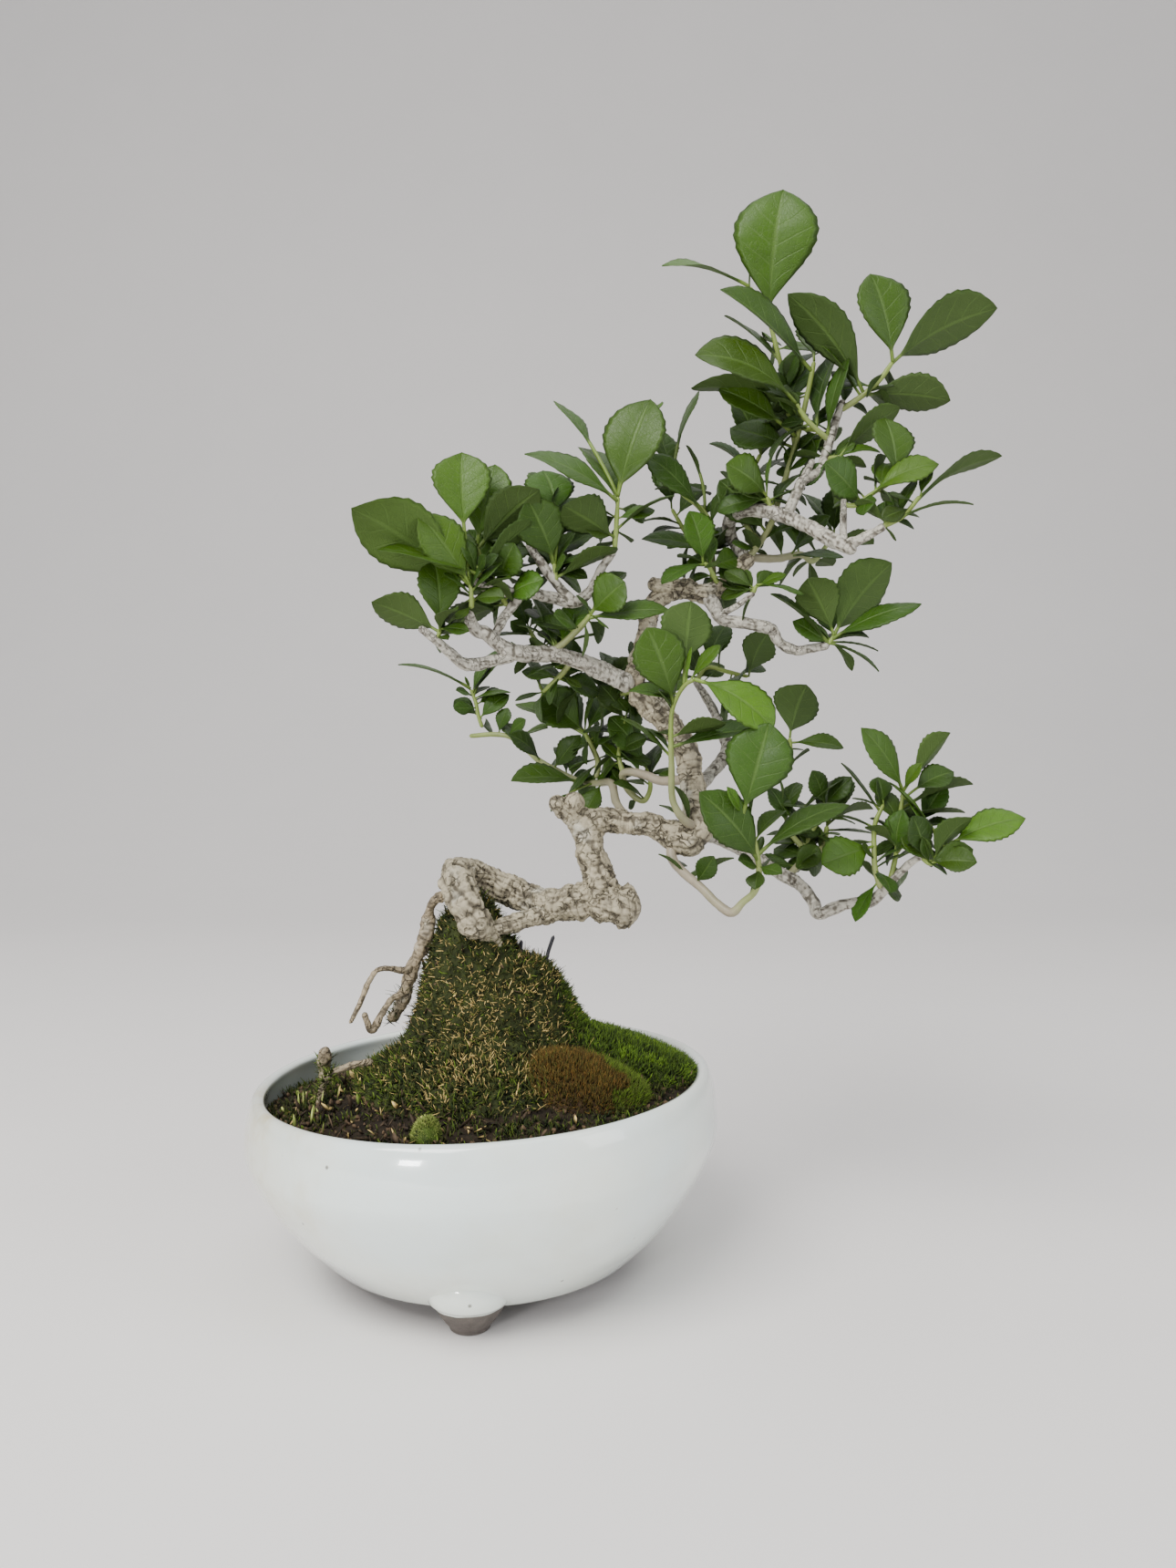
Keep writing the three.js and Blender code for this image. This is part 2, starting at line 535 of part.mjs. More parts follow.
    stem: [[106, 8.5, 128.5, 1.5], [110, 12, 130.5, 1.5], [113, 15, 133.5, 1.3], [114, 15, 139.5, 1]],
    leaves: [
      [1, 9.5, 3, 14, 125, 0.6, 0.1], [1, 17, 8, 6, 100, 0.5, 0.05], [1, -2, 6, 12, 50, 0.6, 0.1],
      [0.9, 17, 2, -1, 80, 0.36, 0.1], [0.8, -8, 6, 4, 80, 0.4, 0.05], [1, 8, 12, 16.5, 50, 0.6, 0.05],
    ],
  },
  {
    name: 'shoot_cascade_up',
    stem: [
      [126.5, -7, 120.5, 1.4], [124.5, -8, 126, 1.2], [124, -8, 132, 1.1], [124.5, -7, 141, 1],
      [127.5, -6, 147.5, 0.8],
    ],
    leaves: [
      [1, -1, 3, 8.5, 20, 0.8, 0.35], [0.9, -12, 2, 15.5, 75, 0.28, 0], [0.5, -19, -12, -4.5, 22, 0.52, 0.85],
      [0.35, -5, -4, 5, 60, 0.5, 0.2], [0.7, -17, 6, 3.5, 90, 0.3, 0.05], [0.3, 6, -5, 5, 90, 0.3, 0.1],
      [0.25, 7.5, -6, 5, 85, 0.25, 0.1], [0.95, -8, 6, 3, 90, 0.4, 0.05],
    ],
  },
  {
    name: 'shoot_cascade_high',
    stem: [[129, -8, 123, 1.1], [131, -8, 132, 1], [132, -8, 142, 0.9], [133, -8, 151.5, 0.8]],
    leaves: [
      [1, -14, -5, 20, 32, 0.46, 0.45], [1, 16, 3, 18.5, 135, 0.52, 0.6, 0.25], [1, 5, -3, 9, 50, 0.4, 1],
      [0.9, 17, 2, 9, 40, 0.6, 0.1, 0.3], [0.8, 24, 4, 8, 112, 0.42, 0.15, 0.2],
      [0.7, 22, 5, 2.5, 100, 0.4, 0.05], [0.3, 3, -7, 12, 60, 0.5, 0.1], [0.35, 0.5, -5, 13, 30, 0.55, 0.2],
      [0.95, 4.5, -7, -10, 60, 0.3, 0.7], [0.6, 4, -4, 7, 150, 0.6, 0.05], [0.5, -4, -3, 6, 40, 0.5, 0.1],
    ],
  },
  {
    name: 'shoot_cascade_tip',
    stem: [[138, -11, 131, 1], [141, -12, 129, 0.9], [145, -12, 134, 0.7]],
    leaves: [
      [1, 23.5, -4, 10, 50, 0.5, 0.9, 0.15], [0.45, 9, -7, 14.5, 150, 0.55, 0.3],
      [0.1, -5, -5, 13.5, 18, 0.55, 0.1], [0.1, 6, -4, -4.5, 65, 0.5, 0.3],
      [0.4, 9, 3, -1, 80, 0.4, 0.3], [1, -16, 2, 21, 75, 0.28, 0.7, 0.3],
    ],
  },
  {
    name: 'shoot_back_left',
    stem: [
      [46, 4.5, 142.5, 1.9], [43, 14, 147.5, 1.8], [41.5, 20, 153.5, 1.8], [37, 28, 153.5, 1.6],
      [30.5, 35, 154, 1.5], [22, 41, 158, 1.4], [15, 45, 162, 1.3], [7, 50, 169, 1.2],
      [0, 52, 171, 1.2], [-10.5, 55, 170.5, 1.1],
    ],
    leaves: [
      [0.87, 3.5, 0, 10, 25, 0.55, 0.2], [0.83, 7, -3, 6.5, 40, 0.6, 0.2],
      [0.64, -10, -8, 9.5, 45, 0.48, 0.25], [0.57, 9.5, -6, 12, 30, 0.48, 0.25],
      [0.42, -24, -8, 1.5, 50, 0.42, 0.4], [0.3, -6, -4, -11, 30, 0.6, 0.3],
      [0.35, -15, -6, -9, 70, 0.4, 0.35, 0.5], [0.5, -4, 8, 10, 60, 0.55, 0.1],
      [0.72, -8, 5, 8, 60, 0.5, 0.1], [0.2, 8, 8, 6, 70, 0.5, 0.1],
    ],
  },
  {
    name: 'shoot_back_left_tip',
    stem: [[-5.5, 54, 173.5, 1], [-7, 54, 178, 1], [-8, 54, 183, 0.9], [-10, 54, 188, 0.7]],
    leaves: [
      [1, -25, -8, 9, 84, 0.28, 0.1], [0.8, -6, -4, 2, 60, 0.7, 0.15], [0.85, 6, 3, 14, 45, 0.42, 0.15],
      [1, -2, 0, 4.5, 60, 0.4, 0.9], [0.7, 3.5, 2, 1.5, 85, 0.4, 0.05], [0.8, 10, 10, 20, 50, 0.5, 0.1],
    ],
  },
  {
    name: 'shoot_inner_left',
    stem: [[36.5, 29, 155, 1.4], [37, 29, 161, 1.3], [34.5, 27, 167, 1.2], [32.5, 26, 171, 0.9]],
    leaves: [
      [1, -14.5, -4, 13, 20, 0.7, 0.25], [1, 3.5, 0, 13, 68, 0.25, 0.6], [0.95, 11, 8, 18, 40, 0.55, 0.1],
      [0.95, -25, 10, 11, 60, 0.35, 0.4], [0.9, -16, 12, 20, 50, 0.5, 0.1], [0.8, 14, 4, 10, 80, 0.35, 0.2],
      [0.4, 12, 6, 1, 70, 0.5, 0.1], [0.3, -10, 2, -10, 70, 0.55, 0.2], [0.2, -3, 6, -12, 40, 0.6, 0.2],
    ],
  },
  {
    name: 'shoot_inner_mid',
    stem: [
      [65, 5.5, 155, 2.2], [58, 10, 154.5, 2], [51, 15, 157, 1.9], [45.5, 18, 157, 1.7],
      [47.5, 22, 151, 1.5], [52.5, 21, 147.5, 1.3], [55, 22, 152.5, 1], [53.5, 24, 159, 0.8],
    ],
    leaves: [
      [1, -13, -4, 17, 25, 0.5, 0.4], [1, -16, 5, 8.5, 70, 0.36, 0.1], [1, -14, -4, 4.5, 60, 0.36, 0.3],
      [0.95, 9, 0, 2, 60, 0.5, 0.1], [0.7, -3, 4, -4, 40, 0.5, 0.1], [0.9, 3, 8, 13, 50, 0.55, 0.05],
    ],
  },
  {
    name: 'shoot_under_left',
    stem: [[22, -5.5, 195.5, 1.5], [26.5, -6, 199, 1.4], [31, -8, 203, 1.3], [34.5, -10, 207, 1]],
    leaves: [
      [1, 10, -7, 9, 20, 0.85, 0.55], [1, 11, 4, 14, 50, 0.6, 0.15], [0.9, 25.5, -6, 2.5, 50, 0.38, 0.35],
      [1, 5.5, -4, -5, 72, 0.3, 0.4], [0.2, 8.5, 6, 14, 25, 0.6, 0.25], [0.1, -8, 4, 18, 65, 0.4, 0.2],
      [0.3, 12, 4, 3, 85, 0.25, 0.1], [0.15, -9, 8, 14, 50, 0.6, 0.05], [1, -4.5, 3, 6.5, 60, 0.35, 0.2],
    ],
  },
  {
    name: 'shoot_under_back',
    stem: [[28, -1, 193, 1.4], [25.5, 6, 190, 1.2], [21, 10, 186, 1.1], [18.5, 12, 184, 0.8]],
    leaves: [
      [0.1, -13, -7, -4.5, 72, 0.36, 0.1], [1, -9, -2, -3, 60, 0.4, 0.3], [0.5, 7, -2, -4, 40, 0.35, 0.5],
      [1, -10, 8, 18, 70, 0.5, 0.05], [0.3, 8, 10, 5, 60, 0.55, 0.1], [0.6, 14, 6, -4, 40, 0.6, 0.1],
      [1, -1, 6, -10, 60, 0.5, 0.1],
    ],
  },
  {
    name: 'shoot_behind_trunk',
    stem: [[55, 7.5, 180, 1.4], [54, 16, 184, 1.2], [50.5, 20, 189, 1], [48.5, 22, 191.5, 0.8]],
    leaves: [
      [1, -9, 2, 5, 40, 0.5, 0.15], [1, 0, 4, 11, 50, 0.5, 0.1], [0.5, 5, 4, 8, 60, 0.6, 0.1],
      [0.9, -8, 2, -7, 60, 0.6, 0.1], [0.3, 8, 4, -1, 60, 0.5, 0.1],
    ],
  },
];

// Sprigs are side twigs with their own leaves. Each starts inside the stem of the shoot that it is on.
const SPRIGS = [
  {
    on: 'shoot_left_centre',
    stem: [[23.3, -8, 220, 1], [20, 2, 222.5, 1], [17, 8, 226, 0.9], [15, 10, 230, 0.8]],
    leaves: [
      [1, -5, -2, 18, 20, 0.6, 0.1], [0.95, -18, -4, 11, 45, 0.55, 0.1], [0.9, 14, 2, 20, 30, 0.55, 0.1],
      [0.8, -14, 0, -4, 70, 0.5, 0.1], [0.6, 18, -3, 12, 50, 0.5, 0.1], [0.4, 13, -6, -3, 60, 0.5, 0.15],
    ],
  },
  {
    on: 'shoot_left_big',
    stem: [[-2, -18.5, 210, 0.9], [-1, -10, 212, 0.9], [2, -2, 216, 0.8], [3, 2, 220, 0.7]],
    leaves: [
      [1, -8, 0, 16, 25, 0.6, 0.15], [1, 6, 2, 14, 40, 0.6, 0.1], [0.8, -15, -2, 4, 60, 0.5, 0.2],
      [0.6, 10, -3, -4, 70, 0.5, 0.1], [0.5, -8, 2, -9, 90, 0.6, 0.1],
    ],
  },
  {
    on: 'shoot_long',
    stem: [[90, 8, 233, 1.3], [86, 15, 242, 1.2], [88, 20, 256, 1.1], [92, 19, 265, 0.9]],
    leaves: [
      [1, -9, -2, 18, 25, 0.6, 0.1], [1, 8, -3, 17, 40, 0.5, 0.1], [0.8, -14, -4, 10, 60, 0.55, 0.1],
      [0.7, 14, 0, 9, 70, 0.5, 0.1], [0.5, -14, -3, -2, 100, 0.6, 0.05], [0.45, 12, -4, -8, 60, 0.5, 0.05],
      [0.25, -12, -4, -8, 110, 0.55, 0.05], [0.9, 18, 3, 18, 50, 0.5, 0.1],
    ],
  },
  {
    on: 'shoot_mid_left',
    stem: [[74, 5, 225, 1.2], [71, 14, 230, 1.1], [67, 20, 238, 1], [62, 21, 247, 0.8]],
    leaves: [
      [1, -5, -4, 14, 30, 0.6, 0.1], [0.9, 10, -2, 10, 40, 0.6, 0.1], [0.8, -14, -4, 0, 80, 0.5, 0.1],
      [0.6, -2, -3, -14, 110, 0.5, 0.05], [0.5, 14, 0, 6, 60, 0.5, 0.1], [0.3, -4, -6, -9, 90, 0.6, 0.05],
    ],
  },
  {
    on: 'shoot_behind_trunk',
    stem: [[53, 17, 185.5, 1.1], [44, 22, 184, 1.1], [35, 22, 184, 1], [27, 21, 188, 0.8]],
    leaves: [
      [1, -10, -3, 5, 60, 0.6, 0.2], [1, 2, -4, 14, 30, 0.6, 0.15], [0.85, -8, -2, -12, 110, 0.55, 0.15],
      [0.6, 0, -4, -15, 90, 0.6, 0.1], [0.5, 8, -5, 12, 35, 0.6, 0.1], [0.3, 4, -6, -13, 60, 0.5, 0.1],
      [0.4, -5, 4, 15, 50, 0.6, 0.05],
    ],
  },
  {
    on: 'shoot_inner_mid',
    stem: [[45.5, 18, 157, 1.2], [44, 20, 163, 1.1], [45, 22, 169, 1], [46, 21, 175, 0.8]],
    leaves: [
      [1, -8, -3, 12, 30, 0.6, 0.15], [1, 8, -2, 13, 50, 0.55, 0.1], [0.7, -13, -3, 2, 70, 0.5, 0.1],
      [0.7, 12, -2, -1, 80, 0.5, 0.1], [0.4, -9, -2, -8, 100, 0.55, 0.1], [0.4, 9, -4, 5, 40, 0.6, 0.1],
    ],
  },
  {
    on: 'shoot_under_left',
    stem: [[22.5, -5.5, 196, 1.2], [17, 4, 200, 1.1], [14, 11, 205, 0.9]],
    leaves: [
      [1, -5, -3, 12, 30, 0.6, 0.1], [1, 8, -2, 9, 40, 0.6, 0.1], [0.8, -13, -2, -1, 80, 0.5, 0.1],
      [0.6, 9, -4, -8, 70, 0.5, 0.1], [0.5, -8, 3, -10, 110, 0.5, 0.1],
    ],
  },
  {
    on: 'shoot_cascade_inner',
    stem: [[105, 11, 132, 1.2], [109, 14, 138, 1.1], [113, 14, 146, 0.9]],
    leaves: [
      [1, 8, -3, 10, 40, 0.55, 0.1], [1, -5, -4, 12, 30, 0.55, 0.1], [0.8, -13, -3, 4, 70, 0.5, 0.1],
      [0.7, 12, -2, -1, 80, 0.5, 0.1], [0.4, -9, 2, -6, 100, 0.5, 0.05], [0.4, 10, -4, -8, 60, 0.5, 0.1],
    ],
  },
  {
    on: 'shoot_cascade_high',
    stem: [[131, -8, 132, 1], [136, -3, 137, 1], [141, 0, 141, 0.8]],
    leaves: [
      [1, 7, -3, 13, 40, 0.55, 0.15], [1, -7, -2, 9, 40, 0.5, 0.15], [0.8, 12, -3, 2, 70, 0.5, 0.1],
      [0.5, -6, 2, -9, 80, 0.5, 0.1], [0.4, 9, -2, -6, 100, 0.5, 0.1],
    ],
  },
  {
    on: 'shoot_top_left',
    stem: [[107, -1, 267, 1], [103, 6, 270, 1], [99, 10, 276, 0.8]],
    leaves: [
      [1, -8, -2, 13, 30, 0.6, 0.1], [1, 7, 0, 16, 50, 0.5, 0.05], [0.7, -14, -3, 2, 70, 0.55, 0.05],
      [0.5, 8, 2, -9, 100, 0.5, 0.05], [0.5, -8, 2, -10, 90, 0.55, 0.05],
    ],
  },
];

// ---------------------------------------------------------------- solids

const manifold = await Module();
manifold.setup();

function solidOf(geometry) {
  const bare = geometry.clone();
  bare.deleteAttribute('normal');
  bare.deleteAttribute('uv');
  const merged = mergeVertices(bare, 1e-4);
  const corners = merged.index.array;
  const triVerts = [];
  for (let i = 0; i < corners.length; i += 3) {
    const [a, b, c] = corners.subarray(i, i + 3);
    if (a !== b && b !== c && c !== a) triVerts.push(a, b, c);
  }
  return new manifold.Manifold(new manifold.Mesh({
    numProp: 3,
    vertProperties: new Float32Array(merged.attributes.position.array),
    triVerts: new Uint32Array(triVerts),
  }));
}

function geometryOf(solid) {
  const mesh = solid.getMesh();
  const geometry = new THREE.BufferGeometry();
  geometry.setAttribute('position', new THREE.BufferAttribute(mesh.vertProperties, mesh.numProp));
  geometry.setIndex(new THREE.BufferAttribute(mesh.triVerts, 1));
  geometry.computeVertexNormals();
  return geometry;
}

function unionOf(solids) {
  return solids.reduce((whole, next) => whole.add(next));
}

function largestPiece(solid) {
  const pieces = solid.decompose();
  return pieces.reduce((best, next) => (next.volume() > best.volume() ? next : best));
}

function boxesMeet(a, b) {
  const first = a.boundingBox();
  const second = b.boundingBox();
  return [0, 1, 2].every((i) => first.min[i] < second.max[i] && second.min[i] < first.max[i]);
}

// ---------------------------------------------------------------- sweeps

// A closed rod with one cross-section per row. Each row is { at, across, deep, width, depth }: its
// centre, the two directions of its section and the two half sizes. Rows run from start to end.
function rodGeometry(rows, sides, start = 0) {
  const geometry = new THREE.CylinderGeometry(1, 1, rows.length - 1, sides, rows.length - 1, false, start);
  const position = geometry.attributes.position;
  const half = (rows.length - 1) / 2;
  const point = new THREE.Vector3();
  for (let i = 0; i < position.count; i += 1) {
    const row = rows[Math.round(position.getY(i) + half)];
    point.copy(row.at);
    point.addScaledVector(row.across, position.getX(i) * row.width);
    point.addScaledVector(row.deep, position.getZ(i) * row.depth);
    position.setXYZ(i, point.x, point.y, point.z);
  }
  return geometry;
}

function limbSolid(run, sides, grow) {
  const centres = run.map(([x, y, z]) => new THREE.Vector3(x, y, z));
  const across = new THREE.Vector3(1, 0, 0);
  const rows = centres.map((centre, i) => {
    const before = centres[Math.max(i - 1, 0)];
    const after = centres[Math.min(i + 1, centres.length - 1)];
    const along = after.clone().sub(before).normalize();
    const reach = i === 0 ? -grow : i === centres.length - 1 ? grow : 0;
    across.addScaledVector(along, -across.dot(along)).normalize();
    return {
      at: centre.clone().addScaledVector(along, reach),
      across: across.clone(),
      deep: across.clone().cross(along),
      width: run[i][3] + grow,
      depth: run[i][3] + grow,
    };
  });
  return solidOf(rodGeometry(rows, sides));
}

function pointAlong(run, share) {
  const points = run.map(([x, y, z]) => new THREE.Vector3(x, y, z));
  const lengths = points.slice(1).map((point, i) => point.distanceTo(points[i]));
  let rest = share * lengths.reduce((sum, length) => sum + length, 0);
  for (let i = 0; i < lengths.length; i += 1) {
    if (rest <= lengths[i] || i === lengths.length - 1) {
      return points[i].clone().lerp(points[i + 1], Math.min(rest / lengths[i], 1));
    }
    rest -= lengths[i];
  }
  return points[points.length - 1];
}

const TOWARDS_VIEWER = new THREE.Vector3(0, -1, 0);

function leafSolid(stem, leaf, grow) {
  const [place, dx, dy, dz, turn, slimness, youth, stalk = STALK_SHARE] = leaf;
  const base = pointAlong(stem, place);
  const along = new THREE.Vector3(dx, dy, dz);
  const length = along.length();
  along.normalize();
  const facing = TOWARDS_VIEWER.clone().addScaledVector(along, -TOWARDS_VIEWER.dot(along)).normalize();
  const sideways = along.clone().cross(facing);
  if (sideways.z < 0) sideways.negate();
  const angle = THREE.MathUtils.degToRad(turn);
  const up = facing.multiplyScalar(Math.cos(angle)).addScaledVector(sideways, Math.sin(angle));
  const down = up.clone().negate();
  const across = up.clone().cross(along);

  const blade = length * (1 - stalk);
  const halfWidth = 0.5 * slimness * blade;
  const halfDepth = 0.5 * LEAF_THICKNESS * (1 - LEAF_YOUTH_THINNING * youth);
  const section = (share, width, depth, bow) => ({
    at: base.clone().addScaledVector(along, share * length).addScaledVector(up, bow * length),
    across,
    deep: down,
    width: grow > 0 ? Math.SQRT2 * (BLADE_ROOM * width + grow) : width,
    depth: grow > 0 ? Math.SQRT2 * (depth + grow) : depth,
  });
  const bladeShare = (share) => stalk + share * (1 - stalk);
  const rows = [
    section(0, STALK_RADIUS, STALK_RADIUS, 0),
    section(bladeShare(0.33), BLADE_FULLNESS * halfWidth, halfDepth, 0.9 * LEAF_ARCH),
    section(bladeShare(0.7), BLADE_FULLNESS * halfWidth, halfDepth, 0.8 * LEAF_ARCH),
    section(1 + grow / length, 0, 0, 0),
  ];
  // The room a leaf needs is a rectangle around its section, so it clears the thin edges too.
  return solidOf(grow > 0 ? rodGeometry(rows, 4, Math.PI / 4) : rodGeometry(rows, LEAF_SIDES));
}

// ---------------------------------------------------------------- pot

const shearAt = (x, z) => {
  const share = THREE.MathUtils.clamp((z - POT_BASE_Z) / (POT_LIP_Z - POT_BASE_Z), 0, 1);
  return POT_RIM_RISE * x * share;
};

function turned(profile) {
  const geometry = new THREE.LatheGeometry(profile.map(([r, z]) => new THREE.Vector2(r, z)), POT_SIDES);
  geometry.rotateX(Math.PI / 2);
  const position = geometry.attributes.position;
  for (let i = 0; i < position.count; i += 1) {
    position.setZ(i, position.getZ(i) + shearAt(position.getX(i), position.getZ(i)));
  }
  return solidOf(geometry);
}

// The outside rises from the base in a smooth belly and closes in to the lip on a quarter ellipse.
function bellyRadius(z) {
  if (z > POT_WIDEST_Z) {
    const share = (z - POT_WIDEST_Z) / (POT_LIP_Z - POT_WIDEST_Z);
    return POT_LIP_RADIUS + (POT_WIDEST_RADIUS - POT_LIP_RADIUS) * Math.sqrt(1 - share * share);
  }
  const share = (POT_WIDEST_Z - z) / (POT_WIDEST_Z - POT_BASE_Z);
  const fullness = (1 - share ** BELLY_FULLNESS) ** BELLY_ROUNDNESS;
  return POT_BASE_RADIUS + (POT_WIDEST_RADIUS - POT_BASE_RADIUS) * fullness;
}

function potSolid() {
  const rise = (share) => POT_BASE_Z + share * (POT_LIP_Z - POT_BASE_Z);
  const outside = OUTSIDE_SHARES.map((share) => (
    [bellyRadius(rise(share)), rise(share)]
  ));
  const inside = INSIDE_SHARES.map((share) => (
    [bellyRadius(rise(share)) - POT_WALL, rise(share)]
  ));
  const bowl = turned([
    [DRAIN_HOLE_RADIUS, POT_BASE_Z],
    [POT_BASE_RADIUS - BASE_ROUNDING, POT_BASE_Z],
    ...outside,
    [POT_LIP_RADIUS - 0.5 * POT_WALL, POT_LIP_Z],
    ...inside,
    [bellyRadius(POT_FLOOR_Z) - 2 * POT_WALL, POT_FLOOR_Z],
    [DRAIN_HOLE_RADIUS, POT_FLOOR_Z],
    [DRAIN_HOLE_RADIUS, POT_BASE_Z],
  ]);
  const feet = FOOT_ANGLES.map((degrees) => {
    const angle = THREE.MathUtils.degToRad(degrees);
    const foot = new THREE.CylinderGeometry(
      FOOT_SHOULDER_RADIUS,
      FOOT_SOLE_RADIUS,
      FOOT_HEIGHT,
      FOOT_SIDES,
    );
    foot.rotateX(Math.PI / 2);
    foot.translate(FOOT_RING_RADIUS * Math.cos(angle), FOOT_RING_RADIUS * Math.sin(angle), FOOT_HEIGHT / 2);
    return solidOf(foot);
  });
  return unionOf([bowl, ...feet]);
}

function boxSolid(width, depth, height, x, y, z) {
  const box = new THREE.BoxGeometry(width, depth, height);
  box.translate(x, y, z);
  return solidOf(box);
}

// ---------------------------------------------------------------- soil and moss

function soilHeight(x, y) {
  const humps = SOIL_HUMPS.map(([cx, cy, wx, wy, height, squareness]) => (
    height * Math.exp(-(Math.hypot((x - cx) / wx, (y - cy) / wy) ** squareness))
  ));
  return SOIL_LEVEL + SOIL_SLOPE * x + SOIL_TILT * y + humps.reduce((sum, hump) => sum + hump, 0);
}

// The ground is laid out on rings around the mound's foot: each ring's share of the moss's extent.
function groundGeometry(shares, heightUnder, heightOver) {
  const under = shares.map((share) => new THREE.Vector2(share, 0));
  const over = shares.map((share) => new THREE.Vector2(share, 1)).reverse();
  const pad = new THREE.LatheGeometry([...under, ...over], GROUND_SIDES);
  pad.rotateX(Math.PI / 2);
  const position = pad.attributes.position;
  for (let i = 0; i < position.count; i += 1) {
    const u = position.getX(i);
    const v = position.getY(i);
    const x = MOSS_CENTRE[0] + u * MOSS_RADIUS;
    const y = MOSS_CENTRE[1] + v * MOSS_RADIUS;
    const height = position.getZ(i) > 0.5 ? heightOver : heightUnder;
    position.setXYZ(i, x, y, height(x, y, Math.hypot(u, v)));
  }
  return pad;
}

function soilSolid(lift) {
  const shares = [...MOSS_RINGS, 1.35, 2];
  const block = groundGeometry(shares, () => POT_BASE_Z, (x, y) => soilHeight(x, y) + lift);
  const gap = POT_WALL + CLEARANCE;
  const floor = POT_FLOOR_Z + CLEARANCE;
  const levels = [...INSIDE_SHARES].reverse().map((share) => (
    POT_BASE_Z + share * (POT_LIP_Z - POT_BASE_Z)
  ));
  const hollow = turned([
    [0, floor],
    [bellyRadius(floor) - 2 * gap, floor],
    ...levels.map((z) => [bellyRadius(z) - gap, z]),
    [bellyRadius(POT_LIP_Z) - gap, 3 * POT_LIP_Z],
    [0, 3 * POT_LIP_Z],
  ]);
  return solidOf(block).intersect(hollow);
}

// The moss mat follows the soil and thins towards its edge.
function mossSolid(grow) {
  const swell = (share) => Math.sqrt(Math.max(0, 1 - share ** 4));
  const thickness = (share) => MOSS_EDGE + (MOSS_THICKNESS - MOSS_EDGE) * swell(share);
  return solidOf(groundGeometry(
    MOSS_RINGS,
    (x, y) => soilHeight(x, y) + SOIL_TO_MOSS - grow,
    (x, y, share) => soilHeight(x, y) + SOIL_TO_MOSS + thickness(share) + 2 * grow,
  ));
}

// Cushions are domes that swell out of the ground: name, finish, centre x, y, half sizes x, y, z.
const CUSHIONS = [
  ['moss_cushion_green', 'greenMoss', 45, -2, 24, 24, 7.5],
  ['moss_cushion_brown', 'brownMoss', 32, -32, 20, 14, 7],
  ['moss_ball_pale', 'paleMoss', -11, -55, 4.4, 4.2, 6],
];
const DOME_SIDES = 14;
const DOME_RINGS = 8;

function cushionSolid(x, y, wide, deep, high, grow) {
  const dome = new THREE.SphereGeometry(1, DOME_SIDES, DOME_RINGS);
  dome.scale(wide + grow, deep + grow, high + grow);
  dome.translate(x, y, 0);
  const position = dome.attributes.position;
  for (let i = 0; i < position.count; i += 1) {
    position.setZ(i, position.getZ(i) + soilHeight(position.getX(i), position.getY(i)));
  }
  return solidOf(dome);
}

// ---------------------------------------------------------------- assembly

const group = new THREE.Group();
const placed = [];

// Adds a piece. `build(grow)` gives its solid, or the room it needs when grow is the clearance.
// The piece gives way to all that was placed before it.
function place(name, finishName, build) {
  let solid = build(0);
  placed.forEach((room) => {
    if (boxesMeet(solid, room)) solid = solid.subtract(room);
  });
  const mesh = new THREE.Mesh(geometryOf(largestPiece(solid)), FINISHES[finishName]);
  mesh.name = name;
  group.add(mesh);
  placed.push(build(CLEARANCE));
}

function placeFixed(name, finishName, solid) {
  const mesh = new THREE.Mesh(geometryOf(solid), FINISHES[finishName]);
  mesh.name = name;
  group.add(mesh);
}

function woodSolid(runs, grow) {
  return unionOf(runs.map((run) => limbSolid(run, LIMB_SIDES, grow)));
}

WOOD.forEach(({ name, finish: finishName, runs }) => {
  place(name, finishName, (grow) => woodSolid(runs, grow));
});
ROOTS.forEach(({ name, finish: finishName, runs }) => {
  place(name, finishName, (grow) => woodSolid(runs, grow));
});

const meshZ = POT_FLOOR_Z + CLEARANCE + 0.5 * DRAIN_MESH_THICKNESS;
const drainMesh = (grow) => boxSolid(
  DRAIN_MESH_SIZE + 2 * grow,
  DRAIN_MESH_SIZE + 2 * grow,
  DRAIN_MESH_THICKNESS + 2 * grow,
  0,
  0,
  meshZ,
);
placeFixed('pot', 'glaze', potSolid());
place('drain_mesh', 'mesh', drainMesh);

place('soil', 'soil', (grow) => soilSolid(grow > 0 ? SOIL_TO_MOSS : 0));
place('moss_mound', 'moss', mossSolid);
CUSHIONS.forEach(([name, finishName, ...shape]) => {
  place(name, finishName, (grow) => cushionSolid(...shape, grow));
});

const isLongEnough = ([, dx, dy, dz]) => Math.hypot(dx, dy, dz) > SMALLEST_LEAF;
SHOOTS.forEach((shoot) => {
  const twigs = [shoot, ...SPRIGS.filter(({ on }) => on === shoot.name)];
  place(shoot.name, 'leaf', (grow) => unionOf(twigs.flatMap(({ stem, leaves }) => [
    limbSolid(stem, STEM_SIDES, grow),
    ...leaves.filter(isLongEnough).map((leaf) => leafSolid(stem, leaf, grow)),
  ])));
});

const bounds = new THREE.Box3().setFromObject(group);
const middle = bounds.getCenter(new THREE.Vector3());
group.position.set(-middle.x, -middle.y, -bounds.min.z);
group.updateMatrixWorld(true);

export default group;
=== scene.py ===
"""A leaning bonsai in a glazed bowl, grown around its CAD frame.

Lengths in the lists are millimetres from the middle of the bowl's foot plane: x to the right,
y to the back, z up. Every piece is a surface over a grid of two parameters, worked out as whole
arrays and closed at its poles.
"""

import math
from itertools import product

